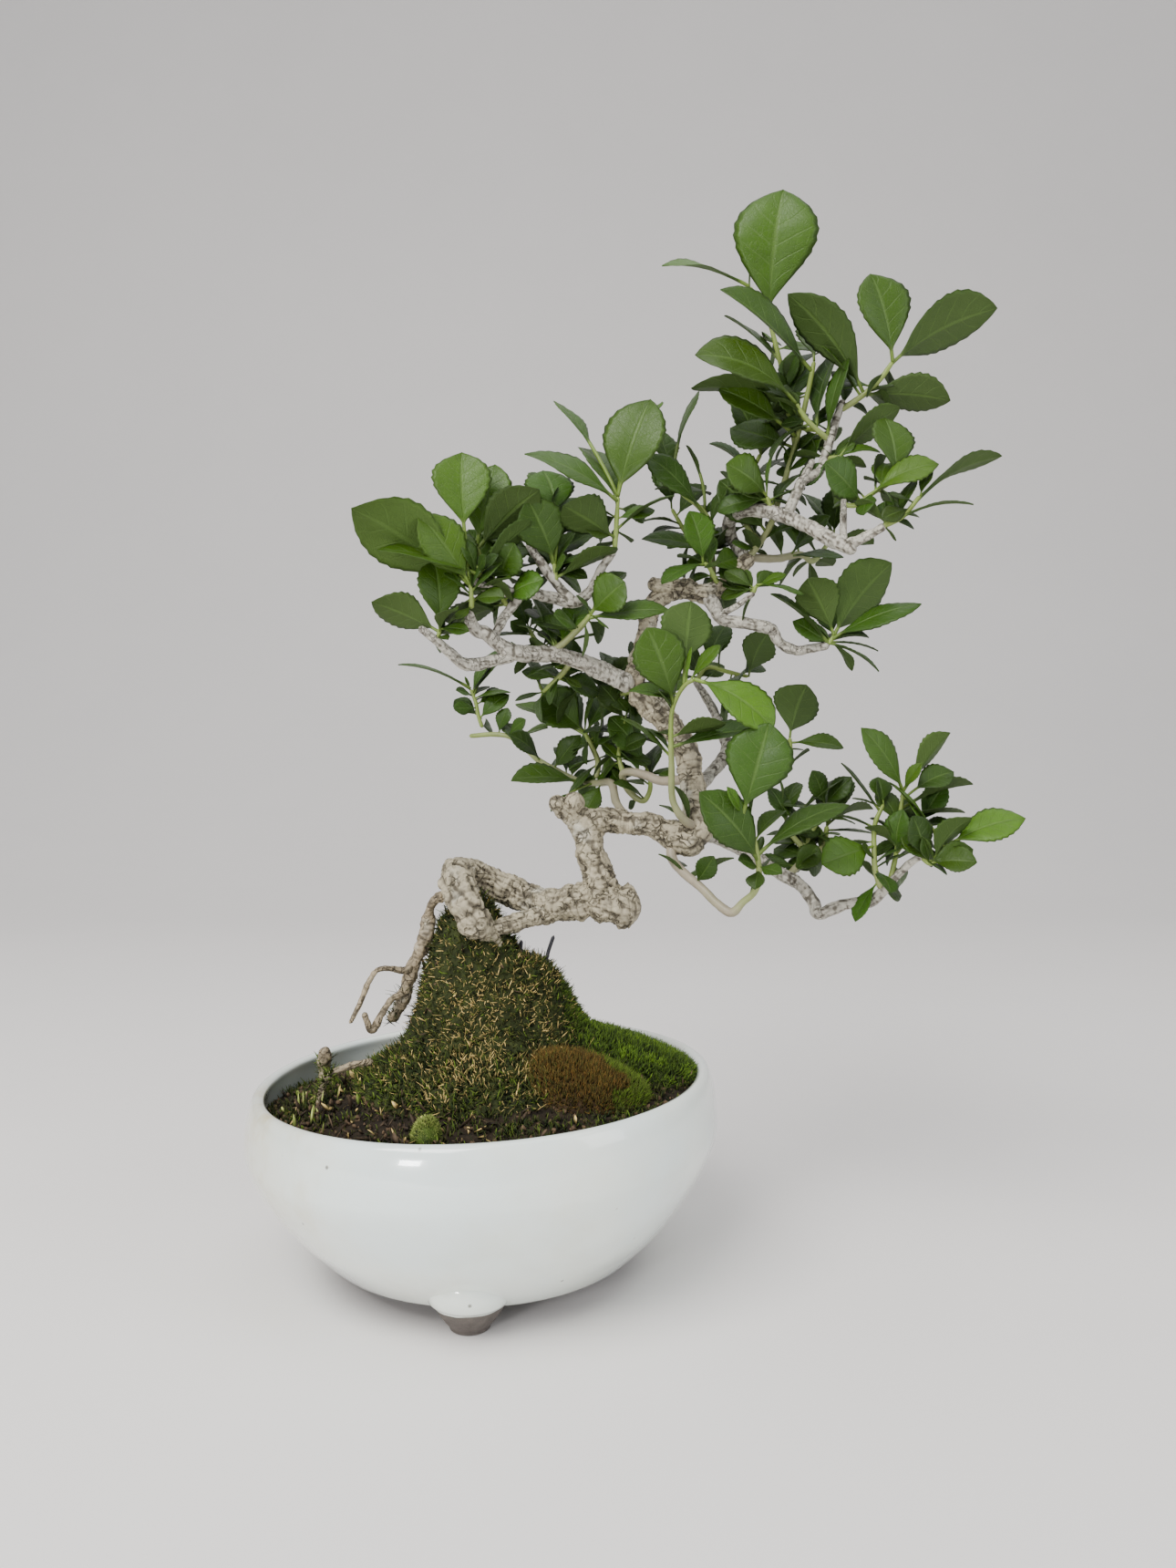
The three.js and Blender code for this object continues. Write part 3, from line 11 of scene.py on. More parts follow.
import bpy
import numpy as np
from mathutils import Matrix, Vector


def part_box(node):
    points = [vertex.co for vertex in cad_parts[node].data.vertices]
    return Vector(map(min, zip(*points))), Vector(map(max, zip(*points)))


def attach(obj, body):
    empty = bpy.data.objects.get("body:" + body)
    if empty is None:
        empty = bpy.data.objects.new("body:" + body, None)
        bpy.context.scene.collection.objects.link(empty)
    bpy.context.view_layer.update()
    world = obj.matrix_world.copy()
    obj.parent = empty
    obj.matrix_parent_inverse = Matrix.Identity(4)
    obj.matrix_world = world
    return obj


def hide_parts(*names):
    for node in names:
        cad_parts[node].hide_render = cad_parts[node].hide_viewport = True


bl_info = {
    "name": "Potted Bonsai",
    "version": (1, 0, 0),
    "blender": (4, 5, 0),
    "location": "3D View > Sidebar > Bonsai",
    "description": "Grows a leaning bonsai with moss in a glazed bowl around its CAD frame",
    "category": "Add Mesh",
}

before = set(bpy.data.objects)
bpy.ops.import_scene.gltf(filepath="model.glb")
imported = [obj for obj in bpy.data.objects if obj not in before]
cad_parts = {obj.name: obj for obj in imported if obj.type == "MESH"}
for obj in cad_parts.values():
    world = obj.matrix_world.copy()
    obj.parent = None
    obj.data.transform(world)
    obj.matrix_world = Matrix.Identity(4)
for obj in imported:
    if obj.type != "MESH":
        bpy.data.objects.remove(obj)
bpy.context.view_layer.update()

MM = 0.001
BOWL_LOW, BOWL_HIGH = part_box("pot")
BOWL_AXIS_X = (BOWL_LOW[0] + BOWL_HIGH[0]) / 2 / MM

WIDEST_RADIUS, WIDEST_Z = 75, 44
LIP_RADIUS, LIP_Z = 71, 60.8
BASE_RADIUS, BASE_Z = 49, 6.8
FLOOR_Z, WALL = 11.5, 4.2
RIM_RISE = 0.04
BELLY_FULLNESS, BELLY_ROUNDNESS = 1.5, 0.95
DRAIN_RADIUS = 7
# Profiles of radius and height: the lip less the lip's height, a foot, and the swelling over a foot.
LIP = ((70.3, -0.03), (69.5, -0.3), (68.9, -0.8), (68.7, -1.4))
FOOT = (
    (0.3, 0.02), (5.3, 0), (5.8, 0.35), (6.3, 1.2), (7.9, 3.2), (9.5, 5.6), (11, 8), (11.4, 9.2), (11, 11))
SWELLING = (
    (0.3, 8), (9.6, 8.2), (11.5, 8.9), (12.1, 10.2), (11.8, 12.4), (10.2, 15), (7.2, 17.6), (0.3, 19.2))
SWELLING_LEAN = 0.6
FOOT_RING, FOOT_ANGLES = 45, (-90, 30, 150)

SOIL_LEVEL, SOIL_SLOPE, SOIL_TILT = 51.5, 0.06, -0.03
# Humps of the ground: centre x, y, half widths x, y, height, squareness.
HUMPS = ((5, -2, 50, 44, 22, 2), (-7, -1, 15, 14, 20, 4), (5, 0, 24, 22, 20, 6))
MOUND_CENTRE, MOUND_RADIUS = (3, -5), 43
MOUND_THICKNESS, MOUND_EDGE = 4.5, 0.8
SOIL_TO_MOSS = 0.7
# Cushions of moss: centre x, y, half sizes x, y, z.
GREEN_CUSHION = (45, -2, 24, 24, 7.5)
BROWN_CUSHION = (32, -32, 20, 14, 7)
PALE_BALL = (-11, -55, 4.4, 4.2, 6)
# Middle of the mineral stain on the glaze, in metres.
STAIN_PLACE = (-0.112, -0.03, 0.05)
# The camera stands to the side of the bowl's axis, in front of it and above its foot plane, in
# metres; its tilt is in degrees, 90 being level.
CAMERA_ASIDE, CAMERA_IN_FRONT, CAMERA_HIGH, CAMERA_TILT = 0.0336, 0.363, 0.16, 89

# Each limb is a list of runs, and each run is a list of centres with radii: x, y, z, radius.
WOOD = {
    "trunk": (
        ((3, 0, 90, 6), (2, -4, 99, 5.6), (0, -8.5, 106.5, 5.3), (-2.5, -11, 112, 5.2), (-6, -9, 119, 5.4),
         (-8.5, -4, 123.5, 5.3), (-7.5, 3, 125, 5.1), (-1, 7, 122.5, 4.9), (8.5, 7, 118.3, 5),
         (18, 4, 115, 5.3), (26, 0, 115, 5.2), (33.5, -3, 116.5, 5.3), (37.5, -4, 120, 5.2),
         (36, -3, 127, 4.7), (34, -2, 134, 4.5), (33.5, 0, 140, 5.2), (38.5, 2, 141.5, 4.6),
         (46, 3, 141, 3.8), (53, 2, 140.5, 3.8), (60, 0, 137, 4.6), (65.5, -2, 136, 5), (69, -1, 140, 4.6),
         (68.5, 2, 147, 3.9), (67.5, 5, 156.5, 3.8), (65.5, 6, 165, 4), (60, 5, 172.5, 4.1),
         (54, 4, 179.5, 4.1), (48.5, 3, 185.5, 4.3),),
        ((33, -3, 116.5, 5.4), (41.5, -5, 115, 6.4), (46, -6, 114.5, 7.6), (50.5, -6, 114, 5),),
        ((0, -8, 106, 3.4), (6, -6, 108.5, 3), (13, -2, 110, 3), (20, 0, 111.5, 3.2), (26, -1, 113.5, 3)),
        ((33, 0, 140.5, 4.6), (27, 0, 145, 3.9), (21.5, -2, 149, 2.6),),
        ((28, 0, 144.5, 3.4), (29.5, -4, 149, 3.4), (30, -5, 151, 2),),
    ),
    "leader": (
        ((48.5, 3, 185.5, 3.8), (50.5, 4, 193.5, 3.5), (52.5, 5, 203, 3.3), (54, 6, 211, 3.1),
         (59, 6, 215.5, 3.1), (65, 4, 217, 3.1), (72, 2, 215, 3.3), (78, 4, 218.5, 2.6),
         (83.5, 7, 224.5, 2.6), (87, 9, 229, 2.4),),
        ((62, 5, 217, 2.8), (53, 4, 219, 2.2),),
    ),
    "branch_left": (
        ((48.5, 3, 185.5, 3.2), (43.5, 1, 187.5, 3), (38.5, 0, 190, 3), (32, -2, 192.5, 2.7),
         (25.5, -4, 194.5, 2.5), (17.5, -7, 195, 2.6), (10, -10, 195, 2.5), (5, -12, 198, 2.2),
         (2, -14, 200.5, 2.1), (-1, -15, 201.5, 2.1), (-2.5, -17, 204.5, 1.9), (-2.5, -18, 207, 1.6),),
        ((11, -10, 194.5, 1.9), (5, -11, 192.5, 1.9), (-4, -14, 191, 2), (-9, -17, 194.5, 1.6),
         (-13, -20, 198, 1.3), (-17.5, -22, 201.5, 1.1),),
    ),
    "branch_left_upper": (
        ((4, -12, 199, 1.5), (7, -12, 205, 1.5), (11, -12, 210.5, 1.5), (13.5, -12, 213.5, 1.7),
         (22, -8, 212.5, 1.9), (29, -5, 211.5, 1.9), (34, -6, 214.5, 1.6), (37, -8, 220, 1.4),
         (40, -9, 224.5, 1.3), (42, -9, 227, 1.1),),
        ((13.5, -12, 213.5, 1.7), (8.5, -13, 213.5, 1.7), (4, -15, 214, 1.6), (-0.5, -17, 215.5, 1.5),
         (-2, -18, 217, 1.2),),
        ((29, -5, 211.5, 1.7), (23.5, -7, 217, 1.5), (19.5, -9, 222.5, 1.4), (14.5, -10, 229, 1.1),),
    ),
    "branch_right": (
        ((72, 2, 215, 2.8), (74.5, 0, 210.5, 2.4), (77, -1, 206.5, 2), (85, -2, 205, 1.9),
         (92, -2, 203.5, 2), (94.5, -2, 199.5, 1.8), (99.5, -2, 196.5, 1.6), (105, -3, 197, 1.4),
         (110.5, -4, 198, 1.2),),
        ((76, -1, 208, 1.2), (81, -3, 210.5, 1), (86.5, -5, 214.5, 0.8),),
    ),
    "branch_top": (
        ((85.5, 8, 228, 2.2), (82.5, 13, 233.5, 2), (80, 10, 238.5, 2.1), (82, 4, 241.5, 2.2),
         (89.5, 0, 241.5, 2.2), (97, -4, 238.5, 2.2), (103, -8, 234.5, 2.2), (109, -12, 230, 2.2),
         (116, -16, 225.5, 1.9),),
        ((113, -14, 227.5, 1.8), (119, -16, 230, 1.5), (124.5, -18, 233, 1.2),),
        ((112.5, -14, 228.5, 1.2), (113, -12, 236.5, 1.1), (113.5, -10, 243, 0.9),),
    ),
    "branch_apex": (
        ((97, -4, 239, 1.7), (99.5, -3, 245.5, 1.7), (102.5, -2, 251, 1.8), (107.5, -1, 253.5, 1.6),
         (110, 0, 260, 1.5), (111.5, 0, 265.5, 1.5), (113.5, 0, 271.5, 1.3), (115.5, 0, 277, 1),),
        ((102.5, -2, 251, 1.4), (105.5, -2, 257.5, 1.1),),
    ),
    "branch_cascade": (
        ((68.5, -2, 138, 2.6), (78.5, 8, 135, 2.4), (88.5, 8, 129.5, 2.2), (96, 5, 124.5, 2.1),
         (103, 2, 120.5, 2.1), (106.5, 0, 115.5, 2), (108, -2, 112, 2.1), (115, -4, 115, 1.9),
         (123.5, -6, 116.5, 1.8), (127, -7, 120, 1.6), (131, -9, 125, 1.3), (135.5, -10, 129.5, 1.2),
         (138.5, -11, 131.5, 1),),
    ),
    "branch_back_right": (
        ((67, 6, 151, 2.4), (75, 20, 156.5, 2.3), (82, 31, 164.5, 2.2), (80.5, 37, 174, 1.8),
         (76.5, 41, 183, 1.5), (72, 43, 190.5, 1.2),),
    ),
}


ROOTS = {
    "root_upper": (
        ((-12, -9, 119, 2), (-15, -7, 117, 1.4), (-17, -5, 113.5, 1.3), (-17.5, -4, 110, 2.2),
         (-18, -4, 105.5, 2.3), (-20, -4, 100.5, 2.2), (-22, -4, 96.5, 2), (-24, -4, 90.5, 2.2),
         (-26, -4, 84, 2), (-30, -3, 77.5, 1.6),),
    ),
    "root_reaching": (
        ((-22.5, -5, 95, 1.4), (-26, -8, 95, 1.1), (-31.5, -12, 96, 0.9), (-34.5, -14, 92.5, 0.9),
         (-37, -16, 86, 0.8), (-40, -17, 80, 0.7),),
    ),
    "root_hooked": (
        ((-25, -6, 87, 1.4), (-28, -9, 86, 1.1), (-31, -12, 82, 1.2), (-34, -13, 77, 1.1),
         (-36, -15, 83, 0.8),),
    ),
    "root_rim": (
        ((-33, -16, 68, 1.1), (-40, -18, 67, 1.1), (-46, -20, 64, 1.1), (-49, -20, 56, 1.1),
         (-50, -20, 50, 1.1),),
    ),
    "dead_stub": (
        ((-55, 15, 44, 2.4), (-55, 15, 51, 2.2), (-55.5, 15, 58, 1.8), (-55, 14, 62, 2.6),
         (-54.5, 14, 65, 1.6),),
    ),
    "wire_stub_low": (
        ((11.5, -2, 93, 0.6), (11.8, -2, 99, 0.6), (12.2, -2, 103.5, 0.6),),
    ),
    "wire_stub_high": (
        ((19.6, -2, 90, 0.6), (20.4, -2, 98, 0.6), (22.6, -2, 105, 0.6),),
    ),
}


SHOOTS = {
    "shoot_left_tip": (
        ((-12, -20, 198.5, 1), (-11.5, -20, 201.5, 0.8),),
        ((1, -1.5, 0, 20, 20, 0.6, 0.45), (0.6, -19.5, -5, 8.5, 140, 0.55, 0.35),
         (0.2, 3.5, -4, -1.5, 50, 0.6, 0.2), (0.5, 4.5, 4, 3.5, 60, 0.5, 0.3),),
    ),
    "shoot_left_big": (
        ((-2, -18, 207.5, 1.1), (-2, -19, 212, 0.9), (-2.5, -19, 215.5, 0.8),),
        ((0.9, -14.5, -8, 20, 25, 0.52, 0.5), (1, -3, 6, 41, 12, 0.61, 0.6, 0.42),
         (0.9, -32.5, -16, 20.5, 155, 0.48, 0.75), (0.5, -7.5, -5, 6, 70, 0.5, 0.45),
         (0.1, -4, -5, -4.5, 40, 0.5, 0.5),),
    ),
    "shoot_left_mid": (
        ((-1.5, -17, 216.5, 1), (1, -18, 219, 0.8),),
        ((0.6, -28, -14, 6, 68, 0.42, 0.3), (1, 15.5, 2, 15.5, 112, 0.4, 0.4),
         (0.9, -9.5, 6, 13.5, 30, 0.5, 0.4),),
    ),
    "shoot_left_high": (
        ((8.5, -12, 209, 1.1), (4, -11, 217.5, 1), (0.5, -12, 223.5, 0.9), (-1, -12, 228, 0.8),),
        ((1, 5.5, 4, 26, 12, 0.56, 0.5), (0.95, 19, -6, 17.5, 140, 0.58, 0.2),
         (0.35, 6, -7, 12, 15, 0.72, 0.35), (0.1, 12.5, -6, 5.5, 35, 0.7, 0.45),
         (0.05, -19, 14, -5.5, 110, 0.5, 0.1), (0.2, -2.5, 8, -11.5, 70, 0.5, 0.1),
         (0.6, 12, 6, 8.5, 40, 0.6, 0.1),),
    ),
    "shoot_left_centre": (
        ((23.5, -8, 217.5, 1.1), (23, -8, 223.5, 0.9),),
        ((1, -8, -8, 18, 10, 0.66, 0.2), (0.2, 19, -8, 8.5, 110, 0.5, 0.4),
         (0.9, -3.5, 9, 32.5, 20, 0.8, 0.45, 0.5), (0.9, -6.5, 16, 33.5, 40, 0.5, 0.5, 0.4),
         (0.1, 11.5, 8, 7, 105, 0.45, 0.1), (0.7, 5.5, 5, 13, 50, 0.5, 0.3),
         (0.8, 1, 12, 27.5, 60, 0.5, 0.1, 0.4),),
    ),
    "shoot_left_crest": (
        ((42, -9, 227.5, 1.1), (42.5, -9, 235.5, 1), (43, -9, 244, 0.8),),
        ((1, 10, 0, 30.5, 15, 0.57, 0.45), (0.9, -27.5, -12, 13, 55, 0.42, 0.35),
         (1, -19.5, 16, 36, 60, 0.4, 0.5, 0.5), (0.35, 17.5, -6, 10, 78, 0.36, 0.2),
         (0.2, -16, -14, 7, 145, 0.6, 0.1), (0.85, -11, 14, 22, 40, 0.5, 0.3),
         (1, 15, 12, 33, 60, 0.45, 0.8, 0.7),),
    ),
    "shoot_mid_left": (
        ((74.5, 4, 217, 1.6), (74, 5, 227.5, 1.3), (73.5, 6, 238.5, 1.2), (69.5, 8, 245, 1.1),
         (64.5, 8, 249, 0.9), (61.5, 8, 255.5, 0.8),),
        ((1, 8, 8, 30, 72, 0.3, 0.1, 0.3), (0.75, -15, -5, 11, 65, 0.4, 0.15),
         (1, -5, 6, 16.5, 30, 0.6, 0.2), (0.5, -20, -8, 21, 42, 0.46, 0.15, 0.25),
         (0.6, -5.5, 4, 23.5, 80, 0.4, 0, 0.55), (0.85, -9, -6, -0.5, 80, 0.3, 0.1),
         (0.28, -23, -6, 3.5, 50, 0.42, 0.25), (0.46, 5, -2, 13, 60, 0.5, 0.2),),
    ),
    "shoot_mid": (
        ((76, 2, 217.5, 1.1), (72.5, 0, 223.5, 0.9), (70.5, -1, 224.5, 0.8),),
        ((1, -4.5, -5, 15.5, 18, 0.62, 0.5), (0.9, -14.5, -7, -7.5, 55, 0.42, 0.5),
         (0.8, -9, 8, 4.5, 80, 0.5, 0.1), (0.7, 1, 3.5, 11, 30, 0.4, 0.35),
         (0.4, -8.5, 6, -1, 50, 0.5, 0.1),),
    ),
    "shoot_centre_high": (
        ((92.5, -1, 241, 1.1), (91.5, -2, 243.5, 0.9), (90.5, -3, 245.5, 0.8),),
        ((1, -13.5, -7, 8.5, 18, 0.75, 0.45), (1, 1.5, 0, 13, 75, 0.25, 0.5),
         (0.8, -16, 2, -3, 40, 0.5, 0.15), (0.2, 11.5, 8, 13, 70, 0.5, 0.1),),
    ),
    "shoot_long": (
        ((86.5, 8.5, 228, 1.5), (93, 8, 237.5, 1.4), (96.5, 7, 248, 1.3), (99, 6, 256.5, 1.3),
         (101.5, 5, 265.5, 1.2), (104, 4, 276.5, 1.1), (106, 3, 286.5, 1), (106.5, 2, 290, 0.9),),
        ((0.95, -30.5, -14, 21.5, 44, 0.46, 0.4), (1, 3, 7, 17, 20, 0.6, 0.1),
         (0.73, -36.5, -8, 8, 97, 0.36, 0.2), (0.63, -26, -6, 14, 28, 0.52, 0.15, 0.3),
         (0.58, -20, 8, 8.5, 30, 0.6, 0.1), (0.68, -7.5, -2, 13, 35, 0.55, 0.2),
         (0.52, -10, -5, 7.5, 70, 0.5, 0.1), (0.46, 6, -4, 3.5, 60, 0.5, 0.2),
         (0.15, -15.5, -5, 16, 12, 0.62, 0.05), (0.1, 11.5, -2, 4.5, 60, 0.4, 0.1),
         (0.05, -8, -6, 1, 50, 0.5, 0.1),),
    ),
    "shoot_apex": (
        ((101.5, 6.5, 263, 1.2), (99.5, 13, 284.5, 1.1), (96, 14, 300, 1), (92.5, 14, 311, 0.9),
         (87, 12, 318, 0.8),),
        ((1, -29, -8, 5, 62, 0.36, 0.65), (0.78, 3.5, -8, 40, 8, 0.61, 0.5), (1, 0, 0, 6.5, 80, 0.25, 0.7),
         (0.55, -17.5, 8, 18, 60, 0.5, 0.1), (0.45, 12.5, 4, 9.5, 60, 0.5, 0.1),),
    ),
    "shoot_top_left": (
        ((111, 0, 264, 1.2), (104, -2.5, 269, 1.1), (99.5, -4, 274.5, 0.9),),
        ((1, -32, -10, 13, 42, 0.5, 0.3), (0.8, -14.5, 8, 11, 60, 0.6, 0.05),
         (0.35, 9, 9, 31, 62, 0.36, 0.05), (0.05, 5.5, -4, 25, 60, 0.3, 0.1),
         (0.5, -14, -6, -12, 80, 0.4, 0.1), (0.6, -8, 3, -0.5, 30, 0.6, 0.1),),
    ),
    "shoot_top_right": (
        ((114.5, 0, 273.5, 1.3), (121.5, -1, 278, 1.2), (126.5, -2, 282.5, 1.1), (130.5, -3, 288, 0.9),),
        ((1, -7.5, -4, 26.5, 12, 0.62, 0.3), (0.95, 34.5, 4, 20, 132, 0.45, 0.2),
         (0.4, -26, -10, 28, 125, 0.38, 0.1), (0.35, -13.5, -4, 14.5, 60, 0.4, 0.3),
         (0.38, 28, 0, -1.5, 128, 0.44, 0.1), (0.05, -1, 6, 14, 30, 0.5, 0.05),),
    ),
    "shoot_apex_side": (
        ((110.5, -1, 258, 1.1), (113.5, -4, 257.5, 0.8),),
        ((1, 18.5, -1, 15.5, 130, 0.46, 0.4), (0.8, 12.5, -4, 1, 50, 0.4, 0.3),
         (0.4, 6, 5, -3, 70, 0.5, 0.1),),
    ),
    "shoot_right_high": (
        ((113.5, -10.5, 241, 1.1), (117, -12, 240.5, 1), (121, -12, 243.5, 0.9), (129.5, -12, 248.5, 0.7),),
        ((0.5, 19, -6, 8.5, 38, 0.5, 0.75), (1, -2.5, 5, 20.5, 20, 0.62, 0.5),
         (0.3, -13, -8, 10, 25, 0.7, 0.45), (0.6, 5, 8, 13, 110, 0.5, 0.1), (0.2, -5.5, 8, 5, 75, 0.5, 0.1),),
    ),
    "shoot_right_tip": (
        ((123.5, -18, 232.5, 1.1), (130, -18, 236, 1), (135, -18, 242, 0.8),),
        ((0.75, 27, 0, 15.5, 100, 0.36, 0.3), (0.35, 21, -6, 3.5, 85, 0.3, 0.2),
         (0.05, 1.5, 4, 8.5, 35, 0.6, 0.15), (0.05, 3, -2, -5, 90, 0.4, 0.1), (1, 4, 2, 8.5, 60, 0.45, 0.6),
         (0.4, 6, 4, 12.5, 60, 0.4, 0.3),),
    ),
    "shoot_back_top": (
        ((87, 10.5, 228.5, 1.8), (96.5, 16, 229, 1.7), (106, 22, 231.5, 1.5), (111, 26, 230, 1.3),
         (116.5, 30, 236, 1.1), (119.5, 32, 240, 0.9),),
        ((1, -10, 6, 16, 50, 0.6, 0.05), (1, 2, -4, 17, 50, 0.6, 0.05), (0.95, 16, 4, 0, 110, 0.6, 0.05),
         (0.7, 8, 8, -1, 115, 0.6, 0.05), (0.75, -12, 8, 13, 75, 0.6, 0.05),
         (0.55, -8, 0, -10, 110, 0.5, 0.1), (0.5, -4, 10, 14, 40, 0.6, 0.05),
         (0.6, 2, 6, -10, 110, 0.5, 0.05), (0.4, 17, -6, -1, 60, 0.45, 0.1),
         (0.4, 12, -8, 12, 50, 0.5, 0.1),),
    ),
    "shoot_right_mid": (
        ((110, -4, 198, 1.1), (112, -4, 201, 0.8),),
        ((0.8, 19, 4, 24.5, 150, 0.55, 0.25), (1, -9.5, -5, 17.5, 155, 0.62, 0.35),
         (0.6, 26, -8, 10.5, 62, 0.4, 0.2), (0.1, -19.5, -6, 15, 72, 0.28, 0.1),
         (0.3, 15, -2, -2.5, 82, 0.3, 0.1), (0.2, 13.5, -10, -9.5, 78, 0.28, 0.1),
         (0.4, -8, 8, 7, 60, 0.5, 0.2), (0.9, 2, 10, 13, 40, 0.5, 0.1),),
    ),
    "shoot_small_top": (
        ((86, -4.5, 214, 1), (87, -5, 217, 0.8),),
        ((1, 13.5, -8, -4.5, 62, 0.4, 0.5), (0.6, 9, -4, 4, 50, 0.5, 0.35), (0.3, -9, 6, 4, 40, 0.6, 0.1),),
    ),
    "shoot_back_right": (
        ((72.5, 43, 189.5, 1.2), (76.5, 44, 195, 1.1), (84, 40, 193, 1), (90.5, 36, 191, 0.8),),
        ((1, 7, 0, 16, 150, 0.8, 0.3), (0.5, 1, -5, 9.5, 110, 0.4, 0.05), (0.3, 7, 1, 16, 30, 0.6, 0.1),
         (0.1, -9.5, 4, 18, 50, 0.6, 0.1), (0.8, -4, 2, -19, 110, 0.5, 0.1),
         (0.1, -14.5, 4, -2, 60, 0.5, 0.1),),
    ),
    "shoot_front": (
        ((67.5, -4.5, 140, 2), (63, -9, 143.5, 1.7), (60, -11, 149.5, 1.4), (59.5, -14, 159, 1.3),
         (59, -18, 170.5, 1), (59.5, -20, 177.5, 0.9), (62.5, -23, 183.5, 0.8), (65.5, -25, 185.5, 0.8),),
        ((0.8, -8.5, -6, 23, 5, 0.58, 0.25), (0.93, 2, 5, 26, 165, 0.78, 0.5, 0.33),
         (0.95, 1, -1.5, 11, 60, 0.2, 1), (1, 22.5, -9, -14.5, 32, 0.5, 0.85),
         (0.97, 9, -1, 11, 55, 0.4, 0.7), (0.62, 16, -7, 4, 120, 0.5, 0.3),
         (0.56, 27, -4, 6.5, 58, 0.34, 0.1), (0.5, -15, -5, 12.5, 70, 0.3, 0.3),
         (0.53, -9, 4, 8, 65, 0.4, 0.2),),
    ),
    "shoot_front_right": (
        ((60.5, -2, 134, 2.4), (60.5, -4, 130, 2.2), (63.5, -8, 126, 2), (68.5, -14, 122, 1.9),
         (72.5, -18, 118, 1.8), (77, -22, 115, 1.9), (80.5, -24, 118.5, 1.4), (84, -26, 122.5, 1.3),
         (84.5, -28, 129.5, 1.2), (82, -31, 140, 1), (79, -33, 145, 0.9),),
        ((1, 7, -4, 27, 10, 0.64, 0.1), (1, -5, -3, 8.5, 50, 0.45, 1), (0.77, -18, -8, 21, 18, 0.46, 0.05),
         (0.8, 28, 2, 15, 60, 0.32, 0.1), (0.75, 6, -6, -1.5, 45, 0.6, 0.2),
         (0.74, -6.5, -4, 3, 50, 0.7, 0.1), (0.74, -1.5, -3, -6, 40, 0.8, 0.1),
         (0.76, -8.5, -1, 13, 60, 0.45, 0.1), (0.95, 2, 1, 10, 80, 0.3, 0.4),),
    ),
    "shoot_mid_right": (
        ((82.5, 30, 164, 1.5), (91.5, 24, 160, 1.3), (98.5, 14, 157, 1.2), (100.5, 11, 164, 1.1),
         (100.5, 10, 169, 0.9),),
        ((1, 5.5, 3, 17.5, 160, 0.88, 0.15), (0.95, 17, -4, -1, 50, 0.4, 0.2),
         (0.9, 5, 2, -0.5, 80, 0.4, 0.1), (0.6, 1, -4, -9, 90, 0.25, 0), (0.2, -6, 4, 6, 40, 0.6, 0.2),
         (0.3, -8, 6, 9, 60, 0.5, 0.05), (0.7, 10, 6, 6, 100, 0.5, 0.1),),
    ),
    "shoot_cascade_inner": (
        ((99, 4, 123.5, 1.6), (104, 8, 128, 1.6), (105, 11, 132, 1.3), (101, 11, 137, 1.2),
         (99.5, 11, 140, 0.9),),
        ((1, 21, 4, 16, 80, 0.3, 0.05, 0.3), (1, -5, 6, 12.5, 30, 0.5, 0.15), (1, 5, 9, 14, 60, 0.55, 0.05),
         (0.9, 7, -2, -0.5, 85, 0.3, 0.1), (0.9, -7.5, 0, -1.5, 70, 0.4, 0.1),),
    ),
    "shoot_cascade_mid": (
        ((106, 8.5, 128.5, 1.5), (110, 12, 130.5, 1.5), (113, 15, 133.5, 1.3), (114, 15, 139.5, 1),),
        ((1, 9.5, 3, 14, 125, 0.6, 0.1), (1, 17, 8, 6, 100, 0.5, 0.05), (1, -2, 6, 12, 50, 0.6, 0.1),
         (0.9, 17, 2, -1, 80, 0.36, 0.1), (0.8, -8, 6, 4, 80, 0.4, 0.05), (1, 8, 12, 16.5, 50, 0.6, 0.05),),
    ),
    "shoot_cascade_up": (
        ((126.5, -7, 120.5, 1.4), (124.5, -8, 126, 1.2), (124, -8, 132, 1.1), (124.5, -7, 141, 1),
         (127.5, -6, 147.5, 0.8),),
        ((1, -1, 3, 8.5, 20, 0.8, 0.35), (0.9, -12, 2, 15.5, 75, 0.28, 0),
         (0.5, -19, -12, -4.5, 22, 0.52, 0.85), (0.35, -5, -4, 5, 60, 0.5, 0.2),
         (0.7, -17, 6, 3.5, 90, 0.3, 0.05), (0.3, 6, -5, 5, 90, 0.3, 0.1),
         (0.25, 7.5, -6, 5, 85, 0.25, 0.1), (0.95, -8, 6, 3, 90, 0.4, 0.05),),
    ),
    "shoot_cascade_high": (
        ((129, -8, 123, 1.1), (131, -8, 132, 1), (132, -8, 142, 0.9), (133, -8, 151.5, 0.8),),
        ((1, -14, -5, 20, 32, 0.46, 0.45), (1, 16, 3, 18.5, 135, 0.52, 0.6, 0.25),
         (1, 5, -3, 9, 50, 0.4, 1), (0.9, 17, 2, 9, 40, 0.6, 0.1, 0.3),
         (0.8, 24, 4, 8, 112, 0.42, 0.15, 0.2), (0.7, 22, 5, 2.5, 100, 0.4, 0.05),
         (0.3, 3, -7, 12, 60, 0.5, 0.1), (0.35, 0.5, -5, 13, 30, 0.55, 0.2),
         (0.95, 4.5, -7, -10, 60, 0.3, 0.7), (0.6, 4, -4, 7, 150, 0.6, 0.05),
         (0.5, -4, -3, 6, 40, 0.5, 0.1),),
    ),
    "shoot_cascade_tip": (
        ((138, -11, 131, 1), (141, -12, 129, 0.9), (145, -12, 134, 0.7),),
        ((1, 23.5, -4, 10, 50, 0.5, 0.9, 0.15), (0.45, 9, -7, 14.5, 150, 0.55, 0.3),
         (0.1, -5, -5, 13.5, 18, 0.55, 0.1), (0.1, 6, -4, -4.5, 65, 0.5, 0.3),
